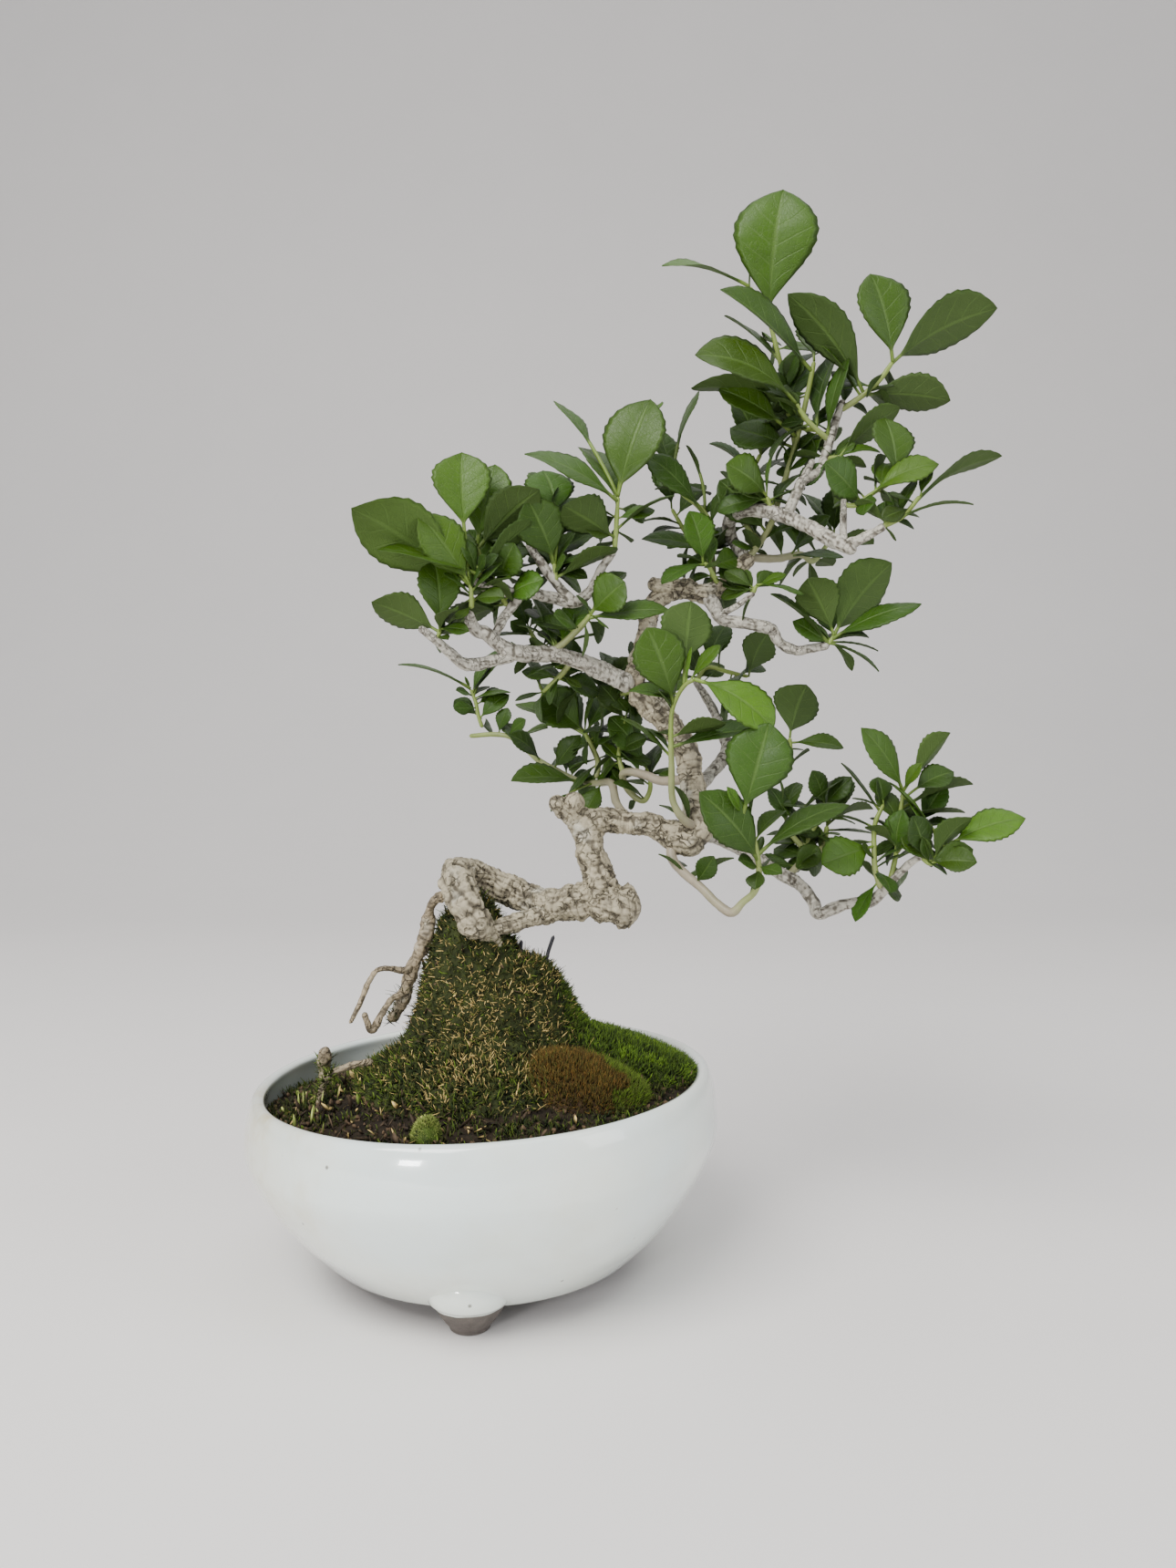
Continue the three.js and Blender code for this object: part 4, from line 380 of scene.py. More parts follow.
         (0.4, 9, 3, -1, 80, 0.4, 0.3), (1, -16, 2, 21, 75, 0.28, 0.7, 0.3),),
    ),
    "shoot_back_left": (
        ((46, 4.5, 142.5, 1.9), (43, 14, 147.5, 1.8), (41.5, 20, 153.5, 1.8), (37, 28, 153.5, 1.6),
         (30.5, 35, 154, 1.5), (22, 41, 158, 1.4), (15, 45, 162, 1.3), (7, 50, 169, 1.2), (0, 52, 171, 1.2),
         (-10.5, 55, 170.5, 1.1),),
        ((0.87, 3.5, 0, 10, 25, 0.55, 0.2), (0.83, 7, -3, 6.5, 40, 0.6, 0.2),
         (0.64, -10, -8, 9.5, 45, 0.48, 0.25), (0.57, 9.5, -6, 12, 30, 0.48, 0.25),
         (0.42, -24, -8, 1.5, 50, 0.42, 0.4), (0.3, -6, -4, -11, 30, 0.6, 0.3),
         (0.35, -15, -6, -9, 70, 0.4, 0.35, 0.5), (0.5, -4, 8, 10, 60, 0.55, 0.1),
         (0.72, -8, 5, 8, 60, 0.5, 0.1), (0.2, 8, 8, 6, 70, 0.5, 0.1),),
    ),
    "shoot_back_left_tip": (
        ((-5.5, 54, 173.5, 1), (-7, 54, 178, 1), (-8, 54, 183, 0.9), (-10, 54, 188, 0.7),),
        ((1, -25, -8, 9, 84, 0.28, 0.1), (0.8, -6, -4, 2, 60, 0.7, 0.15), (0.85, 6, 3, 14, 45, 0.42, 0.15),
         (1, -2, 0, 4.5, 60, 0.4, 0.9), (0.7, 3.5, 2, 1.5, 85, 0.4, 0.05), (0.8, 10, 10, 20, 50, 0.5, 0.1),),
    ),
    "shoot_inner_left": (
        ((36.5, 29, 155, 1.4), (37, 29, 161, 1.3), (34.5, 27, 167, 1.2), (32.5, 26, 171, 0.9),),
        ((1, -14.5, -4, 13, 20, 0.7, 0.25), (1, 3.5, 0, 13, 68, 0.25, 0.6),
         (0.95, 11, 8, 18, 40, 0.55, 0.1), (0.95, -25, 10, 11, 60, 0.35, 0.4),
         (0.9, -16, 12, 20, 50, 0.5, 0.1), (0.8, 14, 4, 10, 80, 0.35, 0.2), (0.4, 12, 6, 1, 70, 0.5, 0.1),
         (0.3, -10, 2, -10, 70, 0.55, 0.2), (0.2, -3, 6, -12, 40, 0.6, 0.2),),
    ),
    "shoot_inner_mid": (
        ((65, 5.5, 155, 2.2), (58, 10, 154.5, 2), (51, 15, 157, 1.9), (45.5, 18, 157, 1.7),
         (47.5, 22, 151, 1.5), (52.5, 21, 147.5, 1.3), (55, 22, 152.5, 1), (53.5, 24, 159, 0.8),),
        ((1, -13, -4, 17, 25, 0.5, 0.4), (1, -16, 5, 8.5, 70, 0.36, 0.1), (1, -14, -4, 4.5, 60, 0.36, 0.3),
         (0.95, 9, 0, 2, 60, 0.5, 0.1), (0.7, -3, 4, -4, 40, 0.5, 0.1), (0.9, 3, 8, 13, 50, 0.55, 0.05),),
    ),
    "shoot_under_left": (
        ((22, -5.5, 195.5, 1.5), (26.5, -6, 199, 1.4), (31, -8, 203, 1.3), (34.5, -10, 207, 1),),
        ((1, 10, -7, 9, 20, 0.85, 0.55), (1, 11, 4, 14, 50, 0.6, 0.15),
         (0.9, 25.5, -6, 2.5, 50, 0.38, 0.35), (1, 5.5, -4, -5, 72, 0.3, 0.4),
         (0.2, 8.5, 6, 14, 25, 0.6, 0.25), (0.1, -8, 4, 18, 65, 0.4, 0.2), (0.3, 12, 4, 3, 85, 0.25, 0.1),
         (0.15, -9, 8, 14, 50, 0.6, 0.05), (1, -4.5, 3, 6.5, 60, 0.35, 0.2),),
    ),
    "shoot_under_back": (
        ((28, -1, 193, 1.4), (25.5, 6, 190, 1.2), (21, 10, 186, 1.1), (18.5, 12, 184, 0.8),),
        ((0.1, -13, -7, -4.5, 72, 0.36, 0.1), (1, -9, -2, -3, 60, 0.4, 0.3),
         (0.5, 7, -2, -4, 40, 0.35, 0.5), (1, -10, 8, 18, 70, 0.5, 0.05), (0.3, 8, 10, 5, 60, 0.55, 0.1),
         (0.6, 14, 6, -4, 40, 0.6, 0.1), (1, -1, 6, -10, 60, 0.5, 0.1),),
    ),
    "shoot_behind_trunk": (
        ((55, 7.5, 180, 1.4), (54, 16, 184, 1.2), (50.5, 20, 189, 1), (48.5, 22, 191.5, 0.8),),
        ((1, -9, 2, 5, 40, 0.5, 0.15), (1, 0, 4, 11, 50, 0.5, 0.1), (0.5, 5, 4, 8, 60, 0.6, 0.1),
         (0.9, -8, 2, -7, 60, 0.6, 0.1), (0.3, 8, 4, -1, 60, 0.5, 0.1),),
    ),
}

# Sprigs are side twigs with their own leaves. Each starts inside the stem of the shoot it is on.
SPRIGS = {
    "shoot_left_centre": (
        ((23.3, -8, 220, 1), (20, 2, 222.5, 1), (17, 8, 226, 0.9), (15, 10, 230, 0.8),),
        ((1, -5, -2, 18, 20, 0.6, 0.1), (0.95, -18, -4, 11, 45, 0.55, 0.1), (0.9, 14, 2, 20, 30, 0.55, 0.1),
         (0.8, -14, 0, -4, 70, 0.5, 0.1), (0.6, 18, -3, 12, 50, 0.5, 0.1), (0.4, 13, -6, -3, 60, 0.5, 0.15),),
    ),
    "shoot_left_big": (
        ((-2, -18.5, 210, 0.9), (-1, -10, 212, 0.9), (2, -2, 216, 0.8), (3, 2, 220, 0.7),),
        ((1, -8, 0, 16, 25, 0.6, 0.15), (1, 6, 2, 14, 40, 0.6, 0.1), (0.8, -15, -2, 4, 60, 0.5, 0.2),
         (0.6, 10, -3, -4, 70, 0.5, 0.1), (0.5, -8, 2, -9, 90, 0.6, 0.1),),
    ),
    "shoot_long": (
        ((90, 8, 233, 1.3), (86, 15, 242, 1.2), (88, 20, 256, 1.1), (92, 19, 265, 0.9),),
        ((1, -9, -2, 18, 25, 0.6, 0.1), (1, 8, -3, 17, 40, 0.5, 0.1), (0.8, -14, -4, 10, 60, 0.55, 0.1),
         (0.7, 14, 0, 9, 70, 0.5, 0.1), (0.5, -14, -3, -2, 100, 0.6, 0.05),
         (0.45, 12, -4, -8, 60, 0.5, 0.05), (0.25, -12, -4, -8, 110, 0.55, 0.05),
         (0.9, 18, 3, 18, 50, 0.5, 0.1),),
    ),
    "shoot_mid_left": (
        ((74, 5, 225, 1.2), (71, 14, 230, 1.1), (67, 20, 238, 1), (62, 21, 247, 0.8),),
        ((1, -5, -4, 14, 30, 0.6, 0.1), (0.9, 10, -2, 10, 40, 0.6, 0.1), (0.8, -14, -4, 0, 80, 0.5, 0.1),
         (0.6, -2, -3, -14, 110, 0.5, 0.05), (0.5, 14, 0, 6, 60, 0.5, 0.1),
         (0.3, -4, -6, -9, 90, 0.6, 0.05),),
    ),
    "shoot_behind_trunk": (
        ((53, 17, 185.5, 1.1), (44, 22, 184, 1.1), (35, 22, 184, 1), (27, 21, 188, 0.8),),
        ((1, -10, -3, 5, 60, 0.6, 0.2), (1, 2, -4, 14, 30, 0.6, 0.15), (0.85, -8, -2, -12, 110, 0.55, 0.15),
         (0.6, 0, -4, -15, 90, 0.6, 0.1), (0.5, 8, -5, 12, 35, 0.6, 0.1), (0.3, 4, -6, -13, 60, 0.5, 0.1),
         (0.4, -5, 4, 15, 50, 0.6, 0.05),),
    ),
    "shoot_inner_mid": (
        ((45.5, 18, 157, 1.2), (44, 20, 163, 1.1), (45, 22, 169, 1), (46, 21, 175, 0.8),),
        ((1, -8, -3, 12, 30, 0.6, 0.15), (1, 8, -2, 13, 50, 0.55, 0.1), (0.7, -13, -3, 2, 70, 0.5, 0.1),
         (0.7, 12, -2, -1, 80, 0.5, 0.1), (0.4, -9, -2, -8, 100, 0.55, 0.1), (0.4, 9, -4, 5, 40, 0.6, 0.1),),
    ),
    "shoot_under_left": (
        ((22.5, -5.5, 196, 1.2), (17, 4, 200, 1.1), (14, 11, 205, 0.9),),
        ((1, -5, -3, 12, 30, 0.6, 0.1), (1, 8, -2, 9, 40, 0.6, 0.1), (0.8, -13, -2, -1, 80, 0.5, 0.1),
         (0.6, 9, -4, -8, 70, 0.5, 0.1), (0.5, -8, 3, -10, 110, 0.5, 0.1),),
    ),
    "shoot_cascade_inner": (
        ((105, 11, 132, 1.2), (109, 14, 138, 1.1), (113, 14, 146, 0.9),),
        ((1, 8, -3, 10, 40, 0.55, 0.1), (1, -5, -4, 12, 30, 0.55, 0.1), (0.8, -13, -3, 4, 70, 0.5, 0.1),
         (0.7, 12, -2, -1, 80, 0.5, 0.1), (0.4, -9, 2, -6, 100, 0.5, 0.05), (0.4, 10, -4, -8, 60, 0.5, 0.1),),
    ),
    "shoot_cascade_high": (
        ((131, -8, 132, 1), (136, -3, 137, 1), (141, 0, 141, 0.8),),
        ((1, 7, -3, 13, 40, 0.55, 0.15), (1, -7, -2, 9, 40, 0.5, 0.15), (0.8, 12, -3, 2, 70, 0.5, 0.1),
         (0.5, -6, 2, -9, 80, 0.5, 0.1), (0.4, 9, -2, -6, 100, 0.5, 0.1),),
    ),
    "shoot_top_left": (
        ((107, -1, 267, 1), (103, 6, 270, 1), (99, 10, 276, 0.8),),
        ((1, -8, -2, 13, 30, 0.6, 0.1), (1, 7, 0, 16, 50, 0.5, 0.05), (0.7, -14, -3, 2, 70, 0.55, 0.05),
         (0.5, 8, 2, -9, 100, 0.5, 0.05), (0.5, -8, 2, -10, 90, 0.55, 0.05),),
    ),
}


# ---------------------------------------------------------------- surfaces

# A vertex carries nine values: x, y, z, its place on the surface u, v, a colour and a mask.
UV, TONE, MASK = slice(3, 5), slice(5, 8), 8
CHANNELS = 9


def grid_faces(rows, columns, ring=False):
    """Quads of a grid that closes round its columns, and round its rows too if it is a ring."""
    i, j = np.meshgrid(np.arange(rows if ring else rows - 1), np.arange(columns), indexing="ij")
    below, after = (i + 1) % rows, (j + 1) % columns
    quads = (i * columns + j, i * columns + after, below * columns + after, below * columns + j)
    return np.stack(quads, axis=-1).reshape(-1, 4)


def close_tubes(patch):
    """Vertices and faces of many tubes at once: each end ring is closed with a fan to its mean."""
    tubes, rows, columns, _ = patch.shape
    poles = patch[:, (0, -1)].mean(axis=2)
    vertices = np.concatenate((patch.reshape(tubes, -1, CHANNELS), poles), axis=1)
    ring = np.arange(columns)
    after = (ring + 1) % columns
    last = (rows - 1) * columns
    start = np.stack((np.full(columns, rows * columns), after, ring), axis=-1)
    end = np.stack((np.full(columns, rows * columns + 1), last + ring, last + after), axis=-1)
    offset = (np.arange(tubes) * vertices.shape[1])[:, None, None]
    quads = (grid_faces(rows, columns) + offset).reshape(-1, 4)
    fans = (np.concatenate((start, end)) + offset).reshape(-1, 3)
    return vertices.reshape(-1, CHANNELS), quads, fans


def close_ring(patch):
    """Vertices and faces of one surface that closes in both directions, like a hollow ring."""
    rows, columns, _ = patch.shape
    return patch.reshape(-1, CHANNELS), grid_faces(rows, columns, ring=True), np.empty((0, 3), int)


def make_piece(name, surfaces, material, nodes):
    """Puts closed surfaces into one mesh at the origin, which stands for the given CAD nodes."""
    counts = np.cumsum([0] + [len(surface[0]) for surface in surfaces])
    vertices = np.concatenate([surface[0] for surface in surfaces])
    quads = np.concatenate([surface[1] + count for surface, count in zip(surfaces, counts)])
    fans = np.concatenate([surface[2] + count for surface, count in zip(surfaces, counts)])
    corners = np.concatenate((quads.ravel(), fans.ravel())).astype(np.int32)
    sizes = np.concatenate((np.full(len(quads), 4), np.full(len(fans), 3)))
    positions = (vertices[:, :3] + (BOWL_AXIS_X, 0, 0)) * MM

    mesh = bpy.data.meshes.new(name)
    mesh.vertices.add(len(vertices))
    mesh.vertices.foreach_set("co", positions.astype(np.float32).ravel())
    mesh.loops.add(len(corners))
    mesh.loops.foreach_set("vertex_index", corners)
    mesh.polygons.add(len(sizes))
    mesh.polygons.foreach_set("loop_start", np.concatenate(([0], np.cumsum(sizes)[:-1])).astype(np.int32))
    mesh.polygons.foreach_set("use_smooth", np.ones(len(sizes), bool))
    mesh.update(calc_edges=True)
    layer = mesh.uv_layers.new(name="surface")
    layer.data.foreach_set("uv", vertices[corners][:, UV].astype(np.float32).ravel())
    tone = mesh.attributes.new("tone", "FLOAT_COLOR", "POINT")
    opaque = np.concatenate((vertices[:, TONE], np.ones((len(vertices), 1))), axis=1)
    tone.data.foreach_set("color", opaque.astype(np.float32).ravel())
    mask = mesh.attributes.new("mask", "FLOAT", "POINT")
    mask.data.foreach_set("value", vertices[:, MASK].astype(np.float32))
    if mesh.validate():
        raise RuntimeError(f"the mesh of {name} had faults")
    mesh.materials.append(material)

    piece = bpy.data.objects.new(name, mesh)
    bpy.context.scene.collection.objects.link(piece)
    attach(piece, "root")
    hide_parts(*nodes)
    return piece


def with_channels(positions, u=0, v=0, tone=(0, 0, 0), mask=0):
    """Adds the place on the surface, colour and mask to an array of positions."""
    patch = np.zeros(positions.shape[:-1] + (CHANNELS,))
    patch[..., :3] = positions
    patch[..., 3] = u
    patch[..., 4] = v
    patch[..., TONE] = tone
    patch[..., MASK] = mask
    return patch


def unit(vectors):
    """Vectors at length one."""
    return vectors / np.maximum(np.linalg.norm(vectors, axis=-1, keepdims=True), 1e-9)


def grain(points, size, seed):
    """Smooth noise from -1 to 1: random values at the corners of cells, eased by 3t^2 - 2t^3."""
    table = np.random.default_rng(seed).uniform(-1, 1, (32, 32, 32))
    cell = points / size
    low = np.floor(cell).astype(int)
    ease = (cell - low) ** 2 * (3 - 2 * (cell - low))
    total = np.zeros(points.shape[:-1])
    for corner in product((0, 1), repeat=3):
        weight = np.prod(np.where(corner, ease, 1 - ease), axis=-1)
        i, j, k = np.moveaxis((low + corner) % 32, -1, 0)
        total += weight * table[i, j, k]
    return total


def nearness(points, centre, reach):
    """A mask that is 1 at a centre and falls off as exp(-(distance / reach)^2)."""
    return np.exp(-np.sum(((points - centre) / reach) ** 2, axis=-1))


def smooth_path(run, spacing):
    """A Catmull-Rom curve through a run's rows (centre and radius), at steps of about spacing."""
    rows = np.asarray(run, float)
    spread = np.vstack((2 * rows[0] - rows[1], rows, 2 * rows[-1] - rows[-2]))
    lengths = np.linalg.norm(np.diff(rows[:, :3], axis=0), axis=1)
    counts = np.maximum(2, np.ceil(lengths / spacing).astype(int))
    part = np.append(np.repeat(np.arange(len(counts)), counts), len(counts) - 1)
    first = np.repeat(np.cumsum(counts) - counts, counts)
    t = np.append((np.arange(counts.sum()) - first) / np.repeat(counts, counts), 1)[:, None]
    a, b, c, d = (spread[part + shift] for shift in range(4))
    return 0.5 * (2 * b + (c - a) * t + (2 * a - 5 * b + 4 * c - d) * t**2
                  + (3 * b - a - 3 * c + d) * t**3)


def carried_normals(tangents):
    """One normal for each station of a path: the last one, less its part along the new tangent."""
    normals = np.empty_like(tangents)
    normal = np.array((0.3, -0.9, 0.2))
    for i, tangent in enumerate(tangents):
        normal = normal - tangent * np.dot(normal, tangent)
        normal = normal / np.linalg.norm(normal)
        normals[i] = normal
    return normals


def moss_on_limb(run, count, rng, low, high):
    """Roots of moss on a limb between two heights: places on its skin, with their normals."""
    path = smooth_path(run, 0.3)
    path = path[(path[:, 2] > low) & (path[:, 2] < high)]
    spot = path[rng.integers(0, len(path), count)]
    way = unit(rng.normal(0, 1, (count, 3)))
    return spot[:, :3] + way * spot[:, 3:], way


# Heights of the bark's relief, as shares of a limb's radius, and the noise level at a crack's edge.
KNOB, FISSURE, WRINKLE, GRAININESS, SWELL = 0.3, 0.13, 0.11, 0.08, 0.05
CRACK_EDGE = 0.2
# Radius under which wood has some of the young colour, and how much thinner it is to have all of it.
YOUNG_FROM, YOUNG_FALL = 1.5, 0.7


def cracks(along, around, size, seed):
    """How deep in a crack each place is: cracks run where smooth noise is zero, exp(-(noise / edge)^2)."""
    return np.exp(-((grain(np.concatenate((along, around), axis=-1), size, seed) / CRACK_EDGE) ** 2))


def limb_surface(run, sides, spacing, gnarl, seed, tone=(0, 0, 0), tone_end=None):
    """A limb: centre(s) + radius(s) * (1 + bumps) * (normal cos a + binormal sin a).

    The bumps are knobs of smooth noise, cut by narrow fissures along the limb and wrinkles across
    it; the mask falls in those, and the bark's finish paints shade where it is low. Both ends
    close in as half balls. Thick wood has the first tone, thin wood the last.
    """
    path = smooth_path(run, spacing)
    centres, radii = path[:, :3], path[:, 3]
    step = np.linalg.norm(np.diff(centres, axis=0), axis=1)
    along = np.concatenate(([0], np.cumsum(step)))
    tangents = unit(np.gradient(centres, axis=0))
    normals = carried_normals(tangents)
    binormals = np.cross(tangents, normals)
    angle = np.linspace(0, 2 * np.pi, sides, endpoint=False)
    outward = normals[:, None] * np.cos(angle)[:, None] + binormals[:, None] * np.sin(angle)[:, None]

    to_end = np.minimum(along, along[-1] - along)
    closing = 1 - np.clip(to_end / radii, 0.02, 1)
    dome = np.sqrt(1 - closing**2)
    flat = np.broadcast_to(along[:, None, None], outward.shape[:2] + (1,))
    round_about = outward * radii[:, None, None]
    places = centres[:, None] + round_about
    coarse = np.clip(radii.mean() / 4, 0.55, 1)
    fissures = cracks(flat * 0.3, round_about[..., 1:] * 1.1, 1.5 * coarse, seed)
    wrinkles = cracks(flat * 1.5, round_about[..., 1:] * 0.4, 1.6 * coarse, seed + 1)
    knobs = grain(places, 4.5 * coarse, seed + 2)
    fine = grain(places, 0.8, seed + 3)
    relief = KNOB * knobs - FISSURE * fissures - WRINKLE * wrinkles + GRAININESS * fine + SWELL
    bumps = gnarl * relief
    surface = centres[:, None] + round_about * ((1 + bumps) * dome[:, None])[..., None]
    # The mask is low in fissures and wrinkles: the bark's finish paints shade there with it.
    depth = np.clip(0.9 - 0.55 * fissures - 0.45 * wrinkles + 0.15 * fine, 0, 1)
    young = np.clip((YOUNG_FROM - radii) / YOUNG_FALL, 0, 1)[:, None, None]
    last = tone if tone_end is None else tone_end
    colour = np.asarray(tone) * (1 - young) + np.asarray(last) * young
    return close_tubes(with_channels(surface, -1, 0, colour, depth)[None])


def belly_radius(z):
    """Outer radius of the bowl: a full curve up to its widest ring, then a quarter ellipse."""
    upper = np.clip((z - WIDEST_Z) / (LIP_Z - WIDEST_Z), 0, 1)
    lower = np.clip((WIDEST_Z - z) / (WIDEST_Z - BASE_Z), 0, 1)
    above = LIP_RADIUS + (WIDEST_RADIUS - LIP_RADIUS) * np.sqrt(1 - upper**2)
    below = (1 - lower**BELLY_FULLNESS) ** BELLY_ROUNDNESS
    return np.where(z > WIDEST_Z, above, BASE_RADIUS + (WIDEST_RADIUS - BASE_RADIUS) * below)


def rim_lift(x, z):
    """The bowl is not level: it climbs to the right, from nothing at its base to most at the lip."""
    return RIM_RISE * x * np.clip((z - BASE_Z) / (LIP_Z - BASE_Z), 0, 1)


def lathe(profile, sides, centre=(0, 0)):
    """Turns a profile of radii and heights about an upright axis: (r cos a, r sin a, z)."""
    angle = np.linspace(0, 2 * np.pi, sides, endpoint=False)
    radius, height = np.asarray(profile, float).T
    x = centre[0] + radius[:, None] * np.cos(angle)
    y = centre[1] + radius[:, None] * np.sin(angle)
    return np.stack((x, y, np.broadcast_to(height[:, None], x.shape)), axis=-1)


def bowl_surfaces(sides):
    """The bowl's wall as one ring-shaped lathe, thrown slightly uneven, and its three feet.

    A foot is a lathe of its own, and so is the swelling over it, which leans out with the wall.
    """
    outside = np.linspace(BASE_Z + 0.8, LIP_Z, 90)
    inside = np.linspace(LIP_Z - 2.2, FLOOR_Z + 2.5, 50)
    lip = [(radius, LIP_Z + drop) for radius, drop in LIP]
    profile = [(DRAIN_RADIUS, BASE_Z + 0.3), (30, BASE_Z + 0.2), (BASE_RADIUS - 2.2, BASE_Z)]
    profile += [(BASE_RADIUS - 0.6, BASE_Z + 0.15)]
    profile += list(zip(belly_radius(outside), outside)) + lip
    profile += list(zip(belly_radius(inside) - WALL, inside))
    profile += [(belly_radius(FLOOR_Z) - 2 * WALL, FLOOR_Z), (30, FLOOR_Z), (DRAIN_RADIUS, FLOOR_Z)]
    wall = lathe(profile, sides)
    away = wall * (1, 1, 0)
    throwing = 0.22 * grain(wall * (0.35, 0.35, 1), 7, 3) + 0.28 * grain(wall, 34, 4)
    above_base = np.clip((wall[..., 2] - BASE_Z) / 8, 0, 1)
    wall = wall + unit(away) * (throwing * above_base)[..., None]
    wall[..., 2] += rim_lift(wall[..., 0], wall[..., 2])
    surfaces = [close_ring(with_channels(wall, mask=1))]
    for degrees in FOOT_ANGLES:
        away = np.array((math.cos(math.radians(degrees)), math.sin(math.radians(degrees))))
        foot = lathe(smooth_path(FOOT, 0.5), 64, away * FOOT_RING)
        swelling = lathe(smooth_path(SWELLING, 0.5), 64, away * (FOOT_RING + 0.6))
        above_foot = np.clip(swelling[..., 2:3] - SWELLING[0][1], 0, None)
        swelling[..., :2] += away * (SWELLING_LEAN * above_foot)
        for part in (foot, swelling):
            surfaces.append(close_tubes(with_channels(part, mask=0)[None]))
    return surfaces


def ground_height(x, y):
    """The soil: a slope up to the right and front, plus humps of height * exp(-distance^squareness)."""
    height = SOIL_LEVEL + SOIL_SLOPE * x + SOIL_TILT * y
    for centre_x, centre_y, half_x, half_y, rise, squareness in HUMPS:
        away = np.hypot((x - centre_x) / half_x, (y - centre_y) / half_y)
        height = height + rise * np.exp(-(away**squareness))
    return height


def from_mound(x, y):
    """Distance from the upright axis of the mound."""
    return np.hypot(x - MOUND_CENTRE[0], y - MOUND_CENTRE[1])


def moss_height(x, y):
    """The moss mat: the ground plus a thickness that thins as the root of 1 - distance^4."""
    away = from_mound(x, y) / MOUND_RADIUS
    swell = np.sqrt(np.clip(1 - away**4, 0, 1))
    thickness = (MOUND_EDGE + (MOUND_THICKNESS - MOUND_EDGE) * swell) * (away < 1)
    return ground_height(x, y) + SOIL_TO_MOSS + thickness


def dome_height(x, y, dome):
    """A cushion: the ground plus height * root(1 - distance^2), or far below where there is none."""
    centre_x, centre_y, half_x, half_y, half_z = dome
    inside = 1 - ((x - centre_x) / half_x) ** 2 - ((y - centre_y) / half_y) ** 2
    top = ground_height(x, y) + half_z * np.sqrt(np.clip(inside, 0, 1))
    return np.where(inside > 0, top, -100)


def surface_normals(height, x, y):
    """Upward normals of a height field, from differences over a tenth of a millimetre."""
    slope_x = (height(x + 0.1, y) - height(x - 0.1, y)) / 0.2
    slope_y = (height(x, y + 0.1) - height(x, y - 0.1)) / 0.2
    return unit(np.stack((-slope_x, -slope_y, np.ones_like(x)), axis=-1))


def pad_surface(height, under, centre, reach, rows, columns, roughness, seed):
    """A disc of ground: rings out along its underside, then back in over its rough top."""
    angle = np.linspace(0, 2 * np.pi, columns, endpoint=False)
    share = np.concatenate((np.linspace(0.02, 1, 5), np.linspace(1, 0.004, rows)))[:, None]
    on_top = (np.arange(len(share)) >= 5)[:, None]
    x = centre[0] + reach[0] * share * np.cos(angle)
    y = centre[1] + reach[1] * share * np.sin(angle)
    points = np.stack((x, y, np.where(on_top, height(x, y), under(x, y))), axis=-1)
    bumps = grain(points, 2.6, seed) + 0.6 * grain(points, 1.2, seed + 1)
    points[..., 2] += roughness * bumps * (on_top & (share < 0.995))
    # The mask is the height of the bumps: the finishes paint shade in its low places and light on its high
    # ones.
    return close_tubes(with_channels(points, mask=np.clip(0.5 + 0.4 * bumps, 0, 1))[None])


def strand_surfaces(roots, aim, length, width, tones, curl, seed, rows=3, flat=0.5, blade=False):
    """Moss leaves, threads and flakes: root + aim * length * t + bend * t^2, three-sided.

    The half width is width * (1 - 0.85 t), or width * (0.12 + 4 t (1 - t)) for a blade, and flat is
    the share of it left in the other direction.
    """
    rng = np.random.default_rng(seed)
    count = len(roots)
    t = np.linspace(0, 1, rows)[:, None]
    bend = unit(rng.normal(size=(count, 3)) + (0, 0, 0.3)) * (curl * length)[:, None]
    centres = roots[:, None] + aim[:, None] * length[:, None, None] * t + bend[:, None] * t**2
    tangents = unit(aim[:, None] * length[:, None, None] + 2 * bend[:, None] * t)
    side = unit(np.cross(tangents, rng.normal(size=(count, 1, 3))))
    other = np.cross(tangents, side)
    angle = np.array((0, 2, 4)) * np.pi / 3
    taper = 0.12 + 4 * t[:, 0] * (1 - t[:, 0]) if blade else 1 - 0.85 * t[:, 0]
    half = (width[:, None] * taper)[..., None, None]
    ring = side[:, :, None] * np.cos(angle)[:, None] + flat * other[:, :, None] * np.sin(angle)[:, None]
    # The mask runs from 0 at the root to 1 at the tip: the finishes paint shade at the root with it.
    patch = with_channels(centres[:, :, None] + ring * half, u=t, tone=tones[:, None, None], mask=t)
    return close_tubes(patch)


# Places tried for each one that is kept, and the share that is kept of those on level ground.
TRIES, KEPT_ON_LEVEL = 40, 0.16


def scatter(count, seed, box, height, keep):
    """Roots over a height field: random places in a box of x and y, as dense on a steep flank.

    They are thinned by keep, which gives each place's chance.
    """
    rng = np.random.default_rng(seed)
    tries = rng.uniform(box[:2], box[2:], (count * TRIES, 2))
    normals = surface_normals(height, tries[:, 0], tries[:, 1])
    points = np.column_stack((tries, height(tries[:, 0], tries[:, 1])))
    chosen = rng.random(len(tries)) < np.clip(KEPT_ON_LEVEL / np.maximum(normals[:, 2], 0.05), 0, 1)
    chosen &= rng.random(len(tries)) < keep(points)
    index = np.flatnonzero(chosen)[:count]
    return points[index], normals[index], rng


def room_in_bowl(points, gap):
    """How far from its axis the bowl's inside reaches at the height of each point, less a gap."""
    level = points[:, 2] - rim_lift(points[:, 0], points[:, 2])
    return belly_radius(np.clip(level, BASE_Z, LIP_Z - 4)) - WALL - gap


def inside_bowl(points, gap=1.0):
    """A mask of the places between the bowl's walls."""
    return (np.hypot(points[:, 0], points[:, 1]) < room_in_bowl(points, gap)).astype(float)


# ---------------------------------------------------------------- leaves

# Places across a blade, from its right margin over the upper face and back under it.
ACROSS = (1, 0.82, 0.55, 0.25, 0.06, -0.06, -0.25, -0.55, -0.82, -1)
BLADE_ROWS, FILLER_ROWS, STALK_ROWS = 30, 20, 4
TEETH, VEIN_PAIRS, VEIN_SLANT = 10, 6, 1.3
